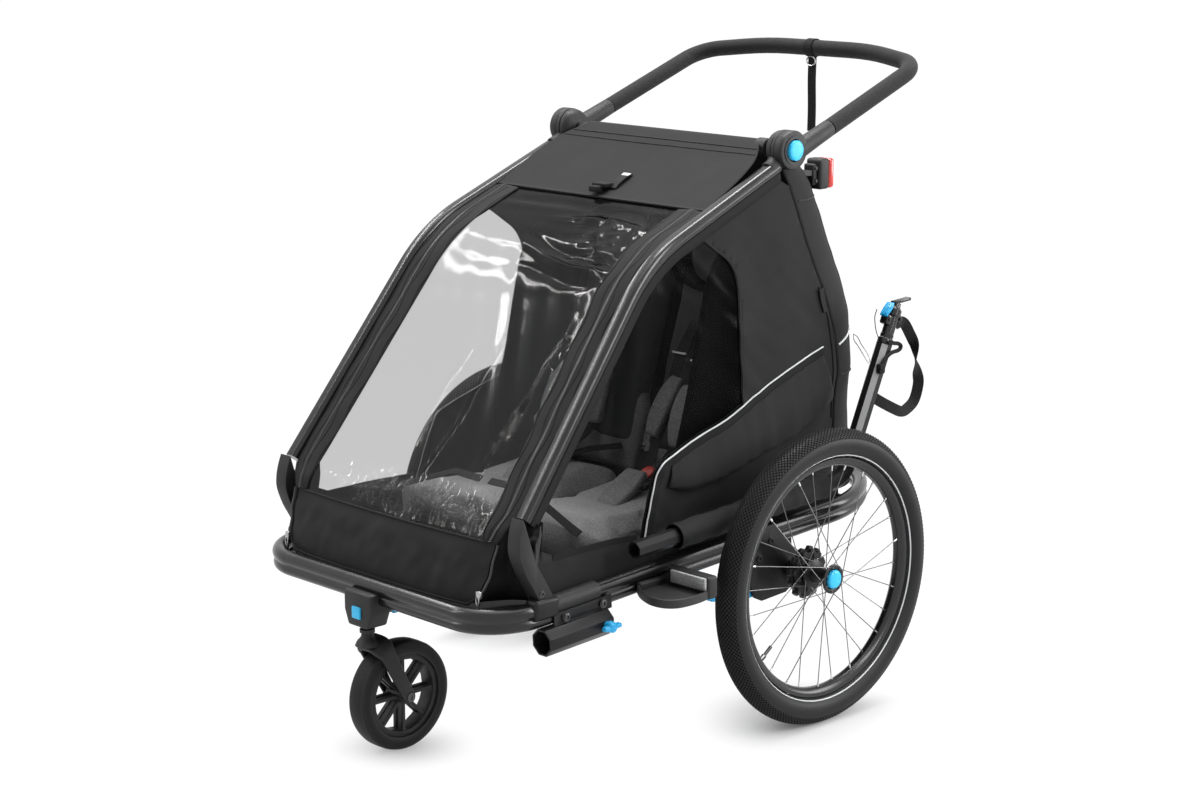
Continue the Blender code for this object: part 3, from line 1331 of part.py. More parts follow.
def make_rear_fabric():
    """The rear of the cloth body, rounded at its corners and full in the middle, with the luggage space."""
    rows = []
    for z in np.linspace(rail_top(0.17) + 0.0015, REAR_TOP, 9):
        back, start = rear_line(z), side_end(z)
        half = side_x(start, z)
        bend_x = min(REAR_CORNER_BEND, half - 0.02)
        plan = [(half, start)]
        for i in range(1, 6):
            turn = i * pi / 2 / 6
            plan.append((half - bend_x * (1 - cos(turn)), start + (back - start) * sin(turn)))
        for x in np.linspace(half - bend_x, -(half - bend_x), 5):
            plan.append((float(x), back + 0.012 * (1 - (x / half) ** 2)))
        for i in range(5, 0, -1):
            turn = i * pi / 2 / 6
            plan.append((-(half - bend_x * (1 - cos(turn))), start + (back - start) * sin(turn)))
        plan.append((-half, start))
        rows.append([(x, y, float(z)) for x, y in plan])
    sheet("rear_fabric", rows, FABRIC_THICKNESS, black_fabric(), (0.0, -0.2, 0.6))


def make_front_panel():
    """The lower front cloth, from the frame's front tube up to the clear window."""
    tube_y, tube_z = tipped(BASE_FRONT, BASE_TOP - BASE_TUBE_RADIUS)
    heights = [tube_z + rise for rise in (BASE_TUBE_RADIUS * 0.772, 0.0343, 0.0573, 0.0773)] + [PANEL_TOP]
    halves = [BASE_HALF_WIDTH - inset for inset in (0.0880, 0.0600, 0.0480, 0.0420, 0.0380)]
    low_y = tube_y + sqrt((BASE_TUBE_RADIUS + GAP) ** 2 - (heights[0] - tube_z) ** 2) + 0.0002
    rows = []
    for z in np.linspace(heights[0], PANEL_TOP, 6):
        half = float(np.interp(z, heights, halves))
        share = (z - heights[0]) / (PANEL_TOP - heights[0])
        across = np.linspace(-1.0, 1.0, 13)
        middle_y = low_y + (WINDOW_FOOT[0] - low_y) * share
        row = []
        for u in across:
            row.append((half * u, middle_y + front_bow(u) * share + 0.010 * u**4 * (1 - share), float(z)))
        rows.append(row)
    sheet("front_panel", rows, 0.0040, black_fabric(), (0.0, 0.0, 0.5))


def front_bow(u):
    """How far the front cloth and the window's foot bow out in their middle."""
    return 0.010 * (u * u - 1)


def make_roof(fold):
    """The roof cloth, stretched between the hoops from the hinges to the window's top seam."""
    line = hoop_line(0.0)
    ys = [p.y for p in line]
    zs = [p.z for p in line]
    across = np.linspace(-1.0, 1.0, 9)
    rows = []
    for y in np.linspace(ROOF_FRONT, HINGE[0] - 0.0500, 6):
        z = float(np.interp(y, ys, zs)) + 0.004
        half = hoop_x(z) - HOOP_TUBE_RADIUS - 0.0010
        rows.append([(half * u, float(y), z + 0.004 * (1 - u * u)) for u in across])
    hem = HINGE_INNER_X - 0.0030
    top = HINGE[1] + ROOF_TUBE_RADIUS + FABRIC_THICKNESS + GAP
    rows.append([(hem * u, HINGE[0] - 0.0420, top - 0.026 + 0.003 * (1 - u * u)) for u in across])
    rows.append([(ROOF_HEM_HALF * u, HINGE[0] - 0.0160, top - 0.004 + 0.001 * (1 - u * u)) for u in across])
    rows.append([(ROOF_HEM_HALF * u, HINGE[0] - 0.004, top + 0.0005) for u in across])
    rows.append([(ROOF_HEM_HALF * u, HINGE[0] + 0.010, top - 0.001) for u in across])
    roof = sheet("roof_panel", rows, FABRIC_THICKNESS, black_fabric(), (0.0, 0.0, 0.5))
    carried(roof, fold)


def make_window(fold):
    """The clear front window with its cloth borders, between the hoops down to the front panel."""
    line = hoop_line(0.0)
    seam_y = ROOF_FRONT - 0.0015
    seam_z = float(np.interp(seam_y, [p.y for p in line], [p.z for p in line]))
    points = [p for p in line if p.y < seam_y - 0.0005] + [Vector((0.0, seam_y, seam_z))]
    low_end = Vector((0.0, *WINDOW_FOOT))
    stations = [low_end] + points
    spaced = []
    for a, b in zip(stations, stations[1:]):
        count = max(1, round((b - a).length / 0.055))
        spaced += [a.lerp(b, i / count) for i in range(count)]
    spaced.append(stations[-1])
    rows = []
    for p in spaced:
        lower = min(1.0, max(0.0, (0.45 - p.z) / 0.05))
        half = hoop_x(p.z) - HOOP_TUBE_RADIUS - 0.0015 - 0.014 * lower
        rows.append([(half * u, p.y + front_bow(u) * lower, p.z) for u in np.linspace(-1.0, 1.0, 7)])
    window = sheet("front_window", rows, 0.0022, clear_vinyl(), (0.0, -0.1, 0.5))
    carried(window, fold)


def cushion(name, centre, size, crown, material, lean=0.0, channels=0):
    """A crowned cushion with a flat base and drawn in sides. size is width, length and thickness."""
    bm = bmesh.new()
    bmesh.ops.create_grid(bm, x_segments=8, y_segments=9, size=0.5)
    width, length, thick = size
    for vert in list(bm.verts):
        u, v = vert.co.x * 2, vert.co.y * 2
        swell = (1 - u**4) * (1 - v**4)
        groove = 0.18 * crown * (0.5 + 0.5 * cos(pi * channels * (v + 1))) if channels else 0.0
        pull = 1 - 0.04 * (u * u) * (v * v)
        vert.co.x = u * width / 2 * pull * (1 - 0.02 * (1 - v * v))
        vert.co.y = v * length / 2 * pull * (1 - 0.02 * (1 - u * u))
        vert.co.z = thick + crown * swell - groove * swell
    made = bmesh.ops.extrude_face_region(bm, geom=list(bm.faces))
    for vert in (item for item in made["geom"] if isinstance(item, bmesh.types.BMVert)):
        vert.co.z = 0.0
        vert.co.x *= 0.985
        vert.co.y *= 0.985
    bm.transform(Matrix.Translation(centre) @ Matrix.Rotation(lean, 4, "X"))
    return mesh_object(name, bm, material)


def make_seats(tip):
    """Two seat cushions on the floor, and two tall backrest pads against the strut's top."""
    floor_top = CROSS_TUBE_LEVEL + CROSS_TUBE_RADIUS + FLOOR_THICKNESS + 2 * GAP
    lean = Vector((cos(BACKREST_ANGLE), sin(BACKREST_ANGLE)))
    away = Vector((-lean.y, lean.x))
    top = Vector(STRUT_TOP) + away * (STRUT_TUBE_RADIUS + GAP) + lean * 0.014
    middle = top - lean * (BACKREST_LENGTH / 2)
    for side in (1, -1):
        x = side * SEAT_CENTRE_X
        seat_size = (SEAT_WIDTH, 0.3500, SEAT_THICKNESS)
        seat_name = "seat_pad_" + side_name(side)
        seat = cushion(seat_name, (x, -0.2350, floor_top), seat_size, 0.014, grey_mesh(), 0.0, 3)
        carried_level(seat, tip)
        back_size = (SEAT_WIDTH, BACKREST_LENGTH, 0.0300)
        back_name = "backrest_pad_" + side_name(side)
        cushion(back_name, (x, *middle), back_size, 0.012, grey_mesh(), BACKREST_ANGLE, 4)


def make_buckles():
    """The harness buckles that stand up between each child's legs, with their red buttons."""
    buttons = []
    for side in (1, -1):
        x = side * SEAT_CENTRE_X
        low = (x - 0.0190, -0.1850, 0.3913)
        high = (x + 0.0190, -0.1650, 0.4380)
        buckle = box("harness_buckle_" + side_name(side), low, high, black_plastic(), 0.004)
        well = add_box(
            bmesh.new(),
            (x - 0.0125, low[1] - 0.01, low[2] + 0.0180),
            (x + 0.0125, low[1] + 0.006, low[2] + 0.0380),
        )
        boolean(buckle, cutter_object("buckle_well_" + side_name(side), well), "DIFFERENCE")
        button = box(
            "buckle_button_" + side_name(side),
            (x - 0.0125 + GAP, low[1] - 0.0025, low[2] + 0.0180 + GAP),
            (x + 0.0125 - GAP, low[1] + 0.0030, low[2] + 0.0380 - GAP),
            red_plastic(),
        )
        buttons.append(button)
    return buttons


def drawbar_line():
    """The stowed drawbar on the level base: level along the rail, then bent up behind the wheel."""
    turn = (0.0, DRAWBAR_TURN_Y, DRAWBAR_LEVEL)
    tip_y = DRAWBAR_TURN_Y + DRAWBAR_RISE * cos(DRAWBAR_RISE_ANGLE)
    tip_z = DRAWBAR_LEVEL + DRAWBAR_RISE * sin(DRAWBAR_RISE_ANGLE)
    corners = [(0.0, DRAWBAR_MOUTH_Y, DRAWBAR_LEVEL), turn, (0.0, tip_y, tip_z)]
    return [Vector((DRAWBAR_X, p.y, p.z)) for p in bent_path(corners, [DRAWBAR_BEND], radians(12))]


def make_drawbar(tip):
    """The eight sided drawbar, stowed along the left side, open at its front end."""
    path = drawbar_line()
    section = [(a, b) for a, b in octagon_points(DRAWBAR_ACROSS)]
    drawbar = swept("drawbar", path, section, (1, 0, 0), bare_aluminium())
    mouth = DRAWBAR_MOUTH_Y
    bore = [(DRAWBAR_X + a, DRAWBAR_LEVEL + b) for a, b in octagon_points(DRAWBAR_ACROSS - 2 * DRAWBAR_WALL)]
    cut = add_prism(bmesh.new(), bore, "Y", mouth - 0.01, mouth + 0.09)
    boolean(drawbar, carried_level(cutter_object("drawbar_bore", cut), tip), "DIFFERENCE")
    carried_level(drawbar, tip)
    return path


def make_sleeve(tip):
    """The cloth tunnel on the body's side that holds the drawbar."""
    front, back = DRAWBAR_MOUTH_Y + 0.1150, DRAWBAR_TURN_Y - 0.0500
    wall = 0.0022
    hollow_across = DRAWBAR_ACROSS + 2 * (GAP + 0.0004)
    outer = [(DRAWBAR_X + a, DRAWBAR_LEVEL + b) for a, b in octagon_points(hollow_across + 2 * wall)]
    inner = [(DRAWBAR_X + a, DRAWBAR_LEVEL + b) for a, b in octagon_points(hollow_across)]
    sleeve = prism("drawbar_sleeve", outer, "Y", front, back, black_fabric())
    level_side = side_x(0.0, DRAWBAR_LEVEL - 0.02) + 0.0072
    web = add_box(
        bmesh.new(),
        (level_side, front, DRAWBAR_LEVEL + 0.004),
        (DRAWBAR_X - DRAWBAR_ACROSS / 2 + 0.002, back, DRAWBAR_LEVEL + 0.0075),
    )
    boolean(sleeve, carried_level(cutter_object("sleeve_web", web), tip), "UNION")
    hollow = add_prism(bmesh.new(), inner, "Y", front - 0.01, back + 0.01)
    boolean(sleeve, carried_level(cutter_object("sleeve_hollow", hollow), tip), "DIFFERENCE")
    carried_level(sleeve, tip)


def make_drawbar_head(path, tip):
    """The round neck and T shaped tongue on the drawbar's end, and the blue lever that locks it."""
    end = path[-1]
    along = (path[-1] - path[-2]).normalized()
    angle = DRAWBAR_RISE_ANGLE
    turn = Matrix.Translation(end + along * GAP) @ Matrix.Rotation(angle - pi / 2, 4, "X")
    neck = add_lathe(
        bmesh.new(),
        [(0.0, 0.0), (0.0, 0.0150), (0.006, 0.0150), (0.008, HEAD_NECK_RADIUS), (0.046, HEAD_NECK_RADIUS),
         (0.050, 0.0130), (0.062, 0.0130), (0.062, 0.0)],
        (0, 0, 0), 14, "Z",
    )
    neck.transform(turn)
    head = mesh_object("drawbar_head", neck, black_aluminium())
    tongue = bmesh.new()
    add_box(tongue, (-0.0060, -0.0070, 0.060), (0.0060, 0.0070, 0.0720))
    tongue.transform(turn)
    boolean(head, carried_level(cutter_object("head_tongue", tongue), tip), "UNION")
    bar = bmesh.new()
    add_box(bar, (-0.0050, -0.0120, 0.0705), (0.0050, 0.0300, 0.0760))
    bar.transform(turn)
    boolean(head, carried_level(cutter_object("head_bar", bar), tip), "UNION")
    carried_level(head, tip)
    lever = bmesh.new()
    outline = [(-0.0135, 0.040), (-0.0175, 0.036), (-0.0260, 0.034), (-0.0260, 0.040), (-0.0210, 0.052),
               (-0.0160, 0.066), (-0.0135, 0.064)]
    add_prism(lever, outline, "X", -0.0080, 0.0080)
    lever.transform(turn)
    made = mesh_object("coupling_lever", lever, blue_plastic())
    bevelled(made, 0.0012, 1)
    pivot = turn @ Vector((0.0, -0.0165, 0.060))
    return made, pivot


def make_safety_strap(path, tip):
    """The webbing safety strap, sewn behind the drawbar's neck and hanging in one loop."""
    end = path[-1]
    along = Vector((0.0, cos(DRAWBAR_RISE_ANGLE), sin(DRAWBAR_RISE_ANGLE)))
    behind = Vector((0.0, along.z, -along.y))
    start = end + along * 0.030 + behind * (HEAD_NECK_RADIUS + STRAP_THICKNESS / 2 - 0.0003)
    hang = [
        (0.0, 0.0), (0.0060, -0.0113), (0.0220, -0.0260), (0.0330, -0.0500), (0.0350, -0.0780),
        (0.0300, -0.1080), (0.0170, -0.1290), (0.0010, -0.1320), (-0.0110, -0.1220), (-0.0150, -0.1060),
    ]
    corners = [Vector((DRAWBAR_X, start.y + y, start.z + z)) for y, z in hang]
    path_points = [corners[0]]
    for before, corner, after in zip(corners, corners[1:], corners[2:]):
        path_points += [corner * 0.75 + before * 0.25, corner * 0.75 + after * 0.25]
    path_points.append(corners[-1])
    half, thick = STRAP_WIDTH / 2, STRAP_THICKNESS / 2
    section = [(-half, -thick), (half, -thick), (half, thick), (-half, thick)]
    strap = swept("safety_strap", path_points, section, (1, 0, 0), webbing())
    carried_level(strap, tip)


def make_light(fold):
    """The rear lamp, clipped to a bracket from the roof tube, with its red lens."""
    middle_x = HINGE_INNER_X - 0.0170
    low = (middle_x - 0.0230, HINGE[0] + 0.1180, HINGE[1] - 0.0830)
    high = (middle_x + 0.0230, HINGE[0] + 0.1500, HINGE[1] - 0.0270)
    body = box("rear_light", low, high, black_plastic(), 0.004)
    arm = add_prism(
        bmesh.new(),
        [(HINGE[0] + ROOF_TUBE_RADIUS + 0.0030, HINGE[1] - 0.0070),
         (HINGE[0] + ROOF_TUBE_RADIUS + 0.0030, HINGE[1] - 0.0010),
         (low[1] + 0.0040, HINGE[1] - 0.0350), (low[1] + 0.0040, HINGE[1] - 0.0450)],
        "X", middle_x - 0.0060, middle_x + 0.0060,
    )
    boolean(body, cutter_object("light_arm", arm), "UNION")
    clip = add_lathe(
        bmesh.new(),
        [(-0.008, ROOF_TUBE_RADIUS + GAP), (-0.008, ROOF_TUBE_RADIUS + 0.0040),
         (0.008, ROOF_TUBE_RADIUS + 0.0040), (0.008, ROOF_TUBE_RADIUS + GAP)],
        (middle_x, *HINGE),
        16,
    )
    boolean(body, cutter_object("light_clip", clip), "UNION")
    lens_low = (low[0] + 0.002, high[1] + GAP, low[2] + 0.002)
    lens_high = (high[0] - 0.002, high[1] + 0.014, high[2] - 0.002)
    lens = box("light_lens", lens_low, lens_high, red_plastic(), 0.004)
    carried(body, fold)
    carried(lens, fold)


def centre_on_ground():
    """Moves the whole trailer along Y, so that the middle of its footprint is over the origin."""
    bpy.context.view_layer.update()
    seen = bpy.context.evaluated_depsgraph_get()
    reach = []
    for obj in bpy.data.objects:
        if obj.type == "MESH" and not obj.hide_render:
            solid = obj.evaluated_get(seen)
            reach += [(solid.matrix_world @ Vector(corner)).y for corner in solid.bound_box]
    middle = (min(reach) + max(reach)) / 2
    for obj in [item for item in bpy.data.objects if not item.parent]:
        obj.location.y -= middle


def build():
    clear_scene()
    tip = empty_at("base_plane", (0.0, 0.0, WHEEL_RADIUS))
    tip.rotation_euler = (NOSE_DOWN, 0.0, 0.0)
    bpy.context.view_layer.update()
    make_base(tip)
    make_floor(tip)
    fold = empty_at("fold_axis", (0.0, *FOLD_PIVOT))
    swing = empty_at("strut_axis", (0.0, *STRUT_PIVOT))
    turn = empty_at("handle_axis", (0.0, *HINGE), fold)
    swivel = empty_at("swivel_axis", (0.0, SWIVEL_Y, CROWN_TOP))
    caster_spin = empty_at("caster_axle", (0.0, SWIVEL_Y + CASTER_TRAIL, CASTER_RADIUS), swivel)
    for side in (1, -1):
        make_axle_bracket(side, tip)
        lever = make_brake_lever(side, tip)
        carried_level(lever, tip)
        make_rail_clamp(side, tip)
        make_wheel_guard(side, tip)
        make_reflector(side, tip)
        spin = empty_at("wheel_axle_" + side_name(side), (side * AXLE_X, 0.0, WHEEL_RADIUS))
        make_wheel(side, spin)
        make_hoop(side, fold)
        make_foot(side, fold)
        carried(make_hinge(side, fold), fold)
        make_side_fabric(side)
    seat = make_receiver(tip)
    carried_level(make_receiver_knob(seat, tip), tip)
    make_caster_housing(tip)
    make_fork(swivel)
    make_caster_wheel(caster_spin)
    make_roof_tube(fold)
    make_handlebar(turn)
    make_grip(turn)
    make_wrist_strap(turn)
    make_strut(swing)
    make_rear_fabric()
    make_front_panel()
    make_roof(fold)
    make_window(fold)
    make_seats(tip)
    make_buckles()
    path = make_drawbar(tip)
    make_sleeve(tip)
    lever, pivot = make_drawbar_head(path, tip)
    carried_level(lever, tip)
    make_safety_strap(path, tip)
    make_light(fold)
    centre_on_ground()


build()
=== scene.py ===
import json
from math import acos, atan2, cos, exp, pi, radians, sin, sqrt, tan

import bmesh
import bpy
import numpy as np
from mathutils import Matrix, Vector, noise

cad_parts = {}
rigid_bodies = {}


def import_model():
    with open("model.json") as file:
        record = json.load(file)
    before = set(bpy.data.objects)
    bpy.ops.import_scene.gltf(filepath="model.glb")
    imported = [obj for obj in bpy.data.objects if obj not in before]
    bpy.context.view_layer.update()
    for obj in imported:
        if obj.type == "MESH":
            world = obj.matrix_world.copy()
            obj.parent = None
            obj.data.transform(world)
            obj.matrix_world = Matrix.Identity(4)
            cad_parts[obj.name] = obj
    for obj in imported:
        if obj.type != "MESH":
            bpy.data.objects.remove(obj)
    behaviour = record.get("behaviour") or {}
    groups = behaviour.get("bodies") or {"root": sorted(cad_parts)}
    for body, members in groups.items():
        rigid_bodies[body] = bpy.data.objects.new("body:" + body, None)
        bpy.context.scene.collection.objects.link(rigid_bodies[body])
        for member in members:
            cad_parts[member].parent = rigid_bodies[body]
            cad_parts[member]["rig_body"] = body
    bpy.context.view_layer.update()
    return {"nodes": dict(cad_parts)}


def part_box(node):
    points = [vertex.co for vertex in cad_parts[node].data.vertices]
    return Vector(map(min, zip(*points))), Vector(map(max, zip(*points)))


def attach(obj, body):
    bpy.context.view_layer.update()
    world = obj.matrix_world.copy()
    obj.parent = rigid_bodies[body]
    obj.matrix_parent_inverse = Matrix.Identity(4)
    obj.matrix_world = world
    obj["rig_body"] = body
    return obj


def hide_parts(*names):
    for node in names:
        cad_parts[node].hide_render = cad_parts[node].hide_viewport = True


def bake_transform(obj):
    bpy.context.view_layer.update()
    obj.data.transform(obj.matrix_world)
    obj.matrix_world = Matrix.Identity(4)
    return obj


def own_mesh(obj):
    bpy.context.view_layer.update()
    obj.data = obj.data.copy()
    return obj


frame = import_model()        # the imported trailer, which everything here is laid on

# The view: a long lens at standing height, off the front left corner, over a pale floor that is painted
# greyer round where the wheels stand.
# Places below are measured from the main axle, and AXLE_Y says where that is in the frame.
AXLE_Y = sum(corner.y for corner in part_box("tyre_left")) / 2
VIEW_AROUND = 0.8025
VIEW_DOWN = 0.2132
view_back = Vector((sin(VIEW_AROUND) * cos(VIEW_DOWN), -cos(VIEW_AROUND) * cos(VIEW_DOWN), sin(VIEW_DOWN)))
lens = bpy.data.cameras.new("camera")
lens.lens = 74.32
lens.sensor_width = 36.0
camera = bpy.data.objects.new("camera", lens)
camera.location = (3.0075, AXLE_Y - 3.0453, 1.4199)
camera.rotation_euler = (-view_back).to_track_quat("-Z", "Y").to_euler()
bpy.context.scene.collection.objects.link(camera)
bpy.context.scene.camera = camera
bpy.context.scene.view_settings.view_transform = "Standard"


def added(tree, kind, inputs, **settings):
    """A new shader node, its sockets given values or joined to the outputs of other nodes."""
    node = tree.nodes.new(kind)
    for name, value in settings.items():
        setattr(node, name, value)
    for socket, value in inputs.items():
        if isinstance(value, bpy.types.NodeSocket):
            tree.links.new(value, node.inputs[socket])
        else:
            node.inputs[socket].default_value = value
    return node


def shown_rays(tree):
    """1 for rays that show the surroundings to the camera, in gloss or through glass; 0 for light."""
    path = added(tree, "ShaderNodeLightPath", {})
    seen = added(tree, "ShaderNodeMath", {0: path.outputs["Is Camera Ray"], 1: path.outputs["Is Glossy Ray"]},
                 operation="MAXIMUM")
    through = added(tree, "ShaderNodeMath", {0: seen.outputs[0], 1: path.outputs["Is Transmission Ray"]},
                    operation="MAXIMUM")
    return through.outputs[0]


world = bpy.data.worlds.new("studio")
world.use_nodes = True
bpy.context.scene.world = world
tree = world.node_tree
sky = tree.nodes["Background"]
sky.inputs["Color"].default_value = (1.0, 1.0, 1.0, 1.0)
level = added(tree, "ShaderNodeMix", {"A": 0.18, "B": 1.0, "Factor": shown_rays(tree)}, data_type="FLOAT")
tree.links.new(level.outputs["Result"], sky.inputs["Strength"])

floor_mesh = bmesh.new()
bmesh.ops.create_grid(floor_mesh, x_segments=1, y_segments=1, size=60.0)
floor_data = bpy.data.meshes.new("floor")
floor_mesh.to_mesh(floor_data)
floor_mesh.free()
floor = bpy.data.objects.new("floor", floor_data)
bpy.context.scene.collection.objects.link(floor)
paper = bpy.data.materials.new("floor_paper")
paper.use_nodes = True
tree = paper.node_tree
matt = tree.nodes["Principled BSDF"]
matt.inputs["Base Color"].default_value = (0.80, 0.80, 0.80, 1.0)
matt.inputs["Roughness"].default_value = 1.0
matt.inputs["Specular IOR Level"].default_value = 0.0
glow = added(tree, "ShaderNodeEmission", {"Strength": 1.04})
pale = tree.nodes.new("ShaderNodeMixShader")
where = added(tree, "ShaderNodeNewGeometry", {})
# Near the three wheel contacts the floor's glow gives way to its lit matt shading, so the real shadow shows
# there. The matt is greyer than the glow, so this also paints some shade round each contact.
nearest = None
for x, y, clear in ((0.395, 0.0, 0.0), (-0.395, 0.0, 0.0), (0.0, -0.597, 0.090)):
    contact = (x, AXLE_Y + y, 0.0)
    gap = added(tree, "ShaderNodeVectorMath", {1: contact, 0: where.outputs["Position"]},
                operation="DISTANCE")
    beyond = added(tree, "ShaderNodeMath", {1: clear, 0: gap.outputs["Value"]})
    if nearest:
        beyond = added(tree, "ShaderNodeMath", {0: nearest, 1: beyond.outputs[0]}, operation="MINIMUM")
    nearest = beyond.outputs[0]
contact_shade = added(
    tree, "ShaderNodeMapRange",
    {"From Min": 0.04, "From Max": 0.23, "To Min": 0.08, "To Max": 0.96, "Value": nearest},
    interpolation_type="SMOOTHSTEP",
)
share = added(tree, "ShaderNodeMath", {1: contact_shade.outputs["Result"], 0: shown_rays(tree)}, operation="MULTIPLY")
for socket, output in enumerate((share, matt, glow)):
    tree.links.new(output.outputs[0], pale.inputs[socket])
tree.links.new(pale.outputs[0], tree.nodes["Material Output"].inputs["Surface"])
floor_data.materials.append(paper)


def lamp(name, kind, place, aim, energy, size=(1.0, 1.0), spread=None):
    light = bpy.data.lights.new(name, kind)
    light.energy = energy
    if kind == "AREA":
        light.shape = "RECTANGLE"
        light.size, light.size_y = size
    else:
        light.angle = spread
    holder = bpy.data.objects.new(name, light)
    holder.location = Vector(place) + Vector((0.0, AXLE_Y, 0.0))
    holder.rotation_euler = (Vector(aim) - Vector(place)).to_track_quat("-Z", "Y").to_euler()
    bpy.context.scene.collection.objects.link(holder)


lamp("overhead_sun", "SUN", (-0.2, 0.4, 4.0), (0.0, 0.0, 0.0), 1.7, spread=radians(60))
lamp("left_softbox", "AREA", (-2.4, -3.4, 2.6), (0.0, -0.2, 0.6), 36.0, (0.3, 2.6))
lamp("right_softbox", "AREA", (3.2, 0.6, 2.2), (0.2, 0.0, 0.6), 62.0, (0.5, 2.4))
lamp("rim_softbox", "AREA", (2.3, 2.8, 1.5), (0.25, -0.2, 0.7), 70.0, (1.2, 2.2))
lamp("top_softbox", "AREA", (-0.3, 0.5, 3.2), (0.0, -0.1, 0.7), 90.0, (2.4, 0.45))
lamp("film_strip", "AREA", (-2.1, -0.9, 2.6), (0.1, -0.4, 0.7), 24.0, (2.4, 0.12))

# The base: one aluminium tube of two lobes, bent round the floor, with two cross tubes and the axle
# beam welded in. Black anodised. It hangs a little nose down, so it is drawn level and then tipped.
WHEEL_RADIUS = 0.2525
NOSE_DOWN = radians(3.3)
tip = (
    Matrix.Translation((0.0, 0.0, WHEEL_RADIUS))
    @ Matrix.Rotation(NOSE_DOWN, 4, "X")
    @ Matrix.Translation((0.0, 0.0, -WHEEL_RADIUS))
)


def finish(name, dark, light, roughness, metallic=0.0, specular=0.5, patch=18.0, grain=0.0, grain_size=900.0,
           weave=0.0, weave_pitch=0.0011, edge_wear_and_highlight=0.0, alpha=1.0, sheen=0.0, coat=0.0, cells=0.0):
    """A surface whose colour and gloss wander between two values, with grain or weave in its relief."""
    made = bpy.data.materials.new(name)
    made.use_nodes = True
    tree = made.node_tree
    shader = tree.nodes["Principled BSDF"]
    plain = {"Metallic": metallic, "Specular IOR Level": specular, "Alpha": alpha}
    if sheen:
        plain |= {"Sheen Weight": sheen, "Sheen Roughness": 0.5}
    if coat:
        plain |= {"Coat Weight": coat, "Coat Roughness": 0.12}
    for socket, value in plain.items():
        shader.inputs[socket].default_value = value
    place = added(tree, "ShaderNodeTexCoord", {}).outputs["Object"]
    cloud = added(tree, "ShaderNodeTexNoise", {"Scale": patch, "Detail": 5.0, "Vector": place}).outputs["Fac"]
    ends = {"A": (*dark, 1.0), "B": (*light, 1.0)}
    base = added(tree, "ShaderNodeMix", ends | {"Factor": cloud}, data_type="RGBA").outputs["Result"]
    # Sharp convex edges, found by Pointiness, are lightened towards pale grey: partly rubbed wear, partly a
    # painted highlight.
    if edge_wear_and_highlight:
        shape = added(tree, "ShaderNodeNewGeometry", {}).outputs["Pointiness"]
        edge = added(tree, "ShaderNodeMapRange", {"From Min": 0.53, "From Max": 0.62, "To Max": edge_wear_and_highlight,
                                                  "Value": shape})
        worn_and_lit_edge = {"B": (0.30, 0.30, 0.31, 1.0), "Factor": edge.outputs["Result"], "A": base}
        base = added(tree, "ShaderNodeMix", worn_and_lit_edge, data_type="RGBA").outputs["Result"]
    if cells:
        net = added(tree, "ShaderNodeTexVoronoi", {"Scale": 1.0 / cells, "Vector": place}).outputs["Distance"]
        holes = added(tree, "ShaderNodeMapRange", {"From Min": 0.20, "From Max": 0.55, "Value": net})
        meshed = {"A": (*(0.55 * c for c in dark), 1.0), "Factor": holes.outputs["Result"], "B": base}
        base = added(tree, "ShaderNodeMix", meshed, data_type="RGBA").outputs["Result"]
    tree.links.new(base, shader.inputs["Base Color"])
    gloss = added(tree, "ShaderNodeMapRange", {"To Min": roughness - 0.05, "To Max": roughness + 0.07,
                                               "Value": cloud})
    tree.links.new(gloss.outputs["Result"], shader.inputs["Roughness"])
    relief = None
    if grain:
        pits = added(tree, "ShaderNodeTexNoise", {"Scale": grain_size, "Detail": 3.0,
                                                  "Vector": place}).outputs["Fac"]
        relief = added(tree, "ShaderNodeBump", {"Strength": grain, "Distance": 0.0006, "Height": pits})
    if weave:
        threads = [
            added(
                tree, "ShaderNodeTexWave",
                {"Scale": 1.0 / weave_pitch / 3.2, "Distortion": 0.6, "Detail": 1.0, "Vector": place},
                wave_type="BANDS", bands_direction=direction,
            ).outputs["Fac"]
            for direction in ("X", "Y", "Z")
        ]
        crossed = threads[0]
        for other in threads[1:]:
            crossed = added(tree, "ShaderNodeMath", {0: crossed, 1: other}, operation="ADD").outputs[0]
        cloth = added(tree, "ShaderNodeBump", {"Strength": weave, "Distance": 0.0004, "Height": crossed})
        if relief:
            tree.links.new(relief.outputs["Normal"], cloth.inputs["Normal"])
        relief = cloth
    if relief:
        tree.links.new(relief.outputs["Normal"], shader.inputs["Normal"])
    return made


def piece(name, bm, material, body, tipped=False, sharp=38, replaces=(), thick=0.0, rounded_by=0):
    """A finished piece: its mesh is put in place, smoothed, given its material and hung on its body."""
    bmesh.ops.remove_doubles(bm, verts=bm.verts, dist=0.000002)
    bmesh.ops.recalc_face_normals(bm, faces=bm.faces)
    if tipped:
        bmesh.ops.transform(bm, matrix=tip, verts=bm.verts)
    bmesh.ops.translate(bm, vec=(0.0, AXLE_Y, 0.0), verts=bm.verts)
    mesh = bpy.data.meshes.new(name)
    bm.to_mesh(mesh)
    bm.free()
    mesh.materials.append(material)
    mesh.shade_smooth()
    mesh.set_sharp_from_angle(angle=radians(sharp))
    made = bpy.data.objects.new(name, mesh)
    bpy.context.scene.collection.objects.link(made)
    if thick:
        wall = made.modifiers.new("thickness", "SOLIDIFY")
        wall.thickness = thick
        wall.offset = 0.0
    if rounded_by:
        smooth = made.modifiers.new("rounding", "SUBSURF")
        smooth.levels = smooth.render_levels = rounded_by
    if body:
        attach(made, body)
    if replaces:
        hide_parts(*replaces)
    return made


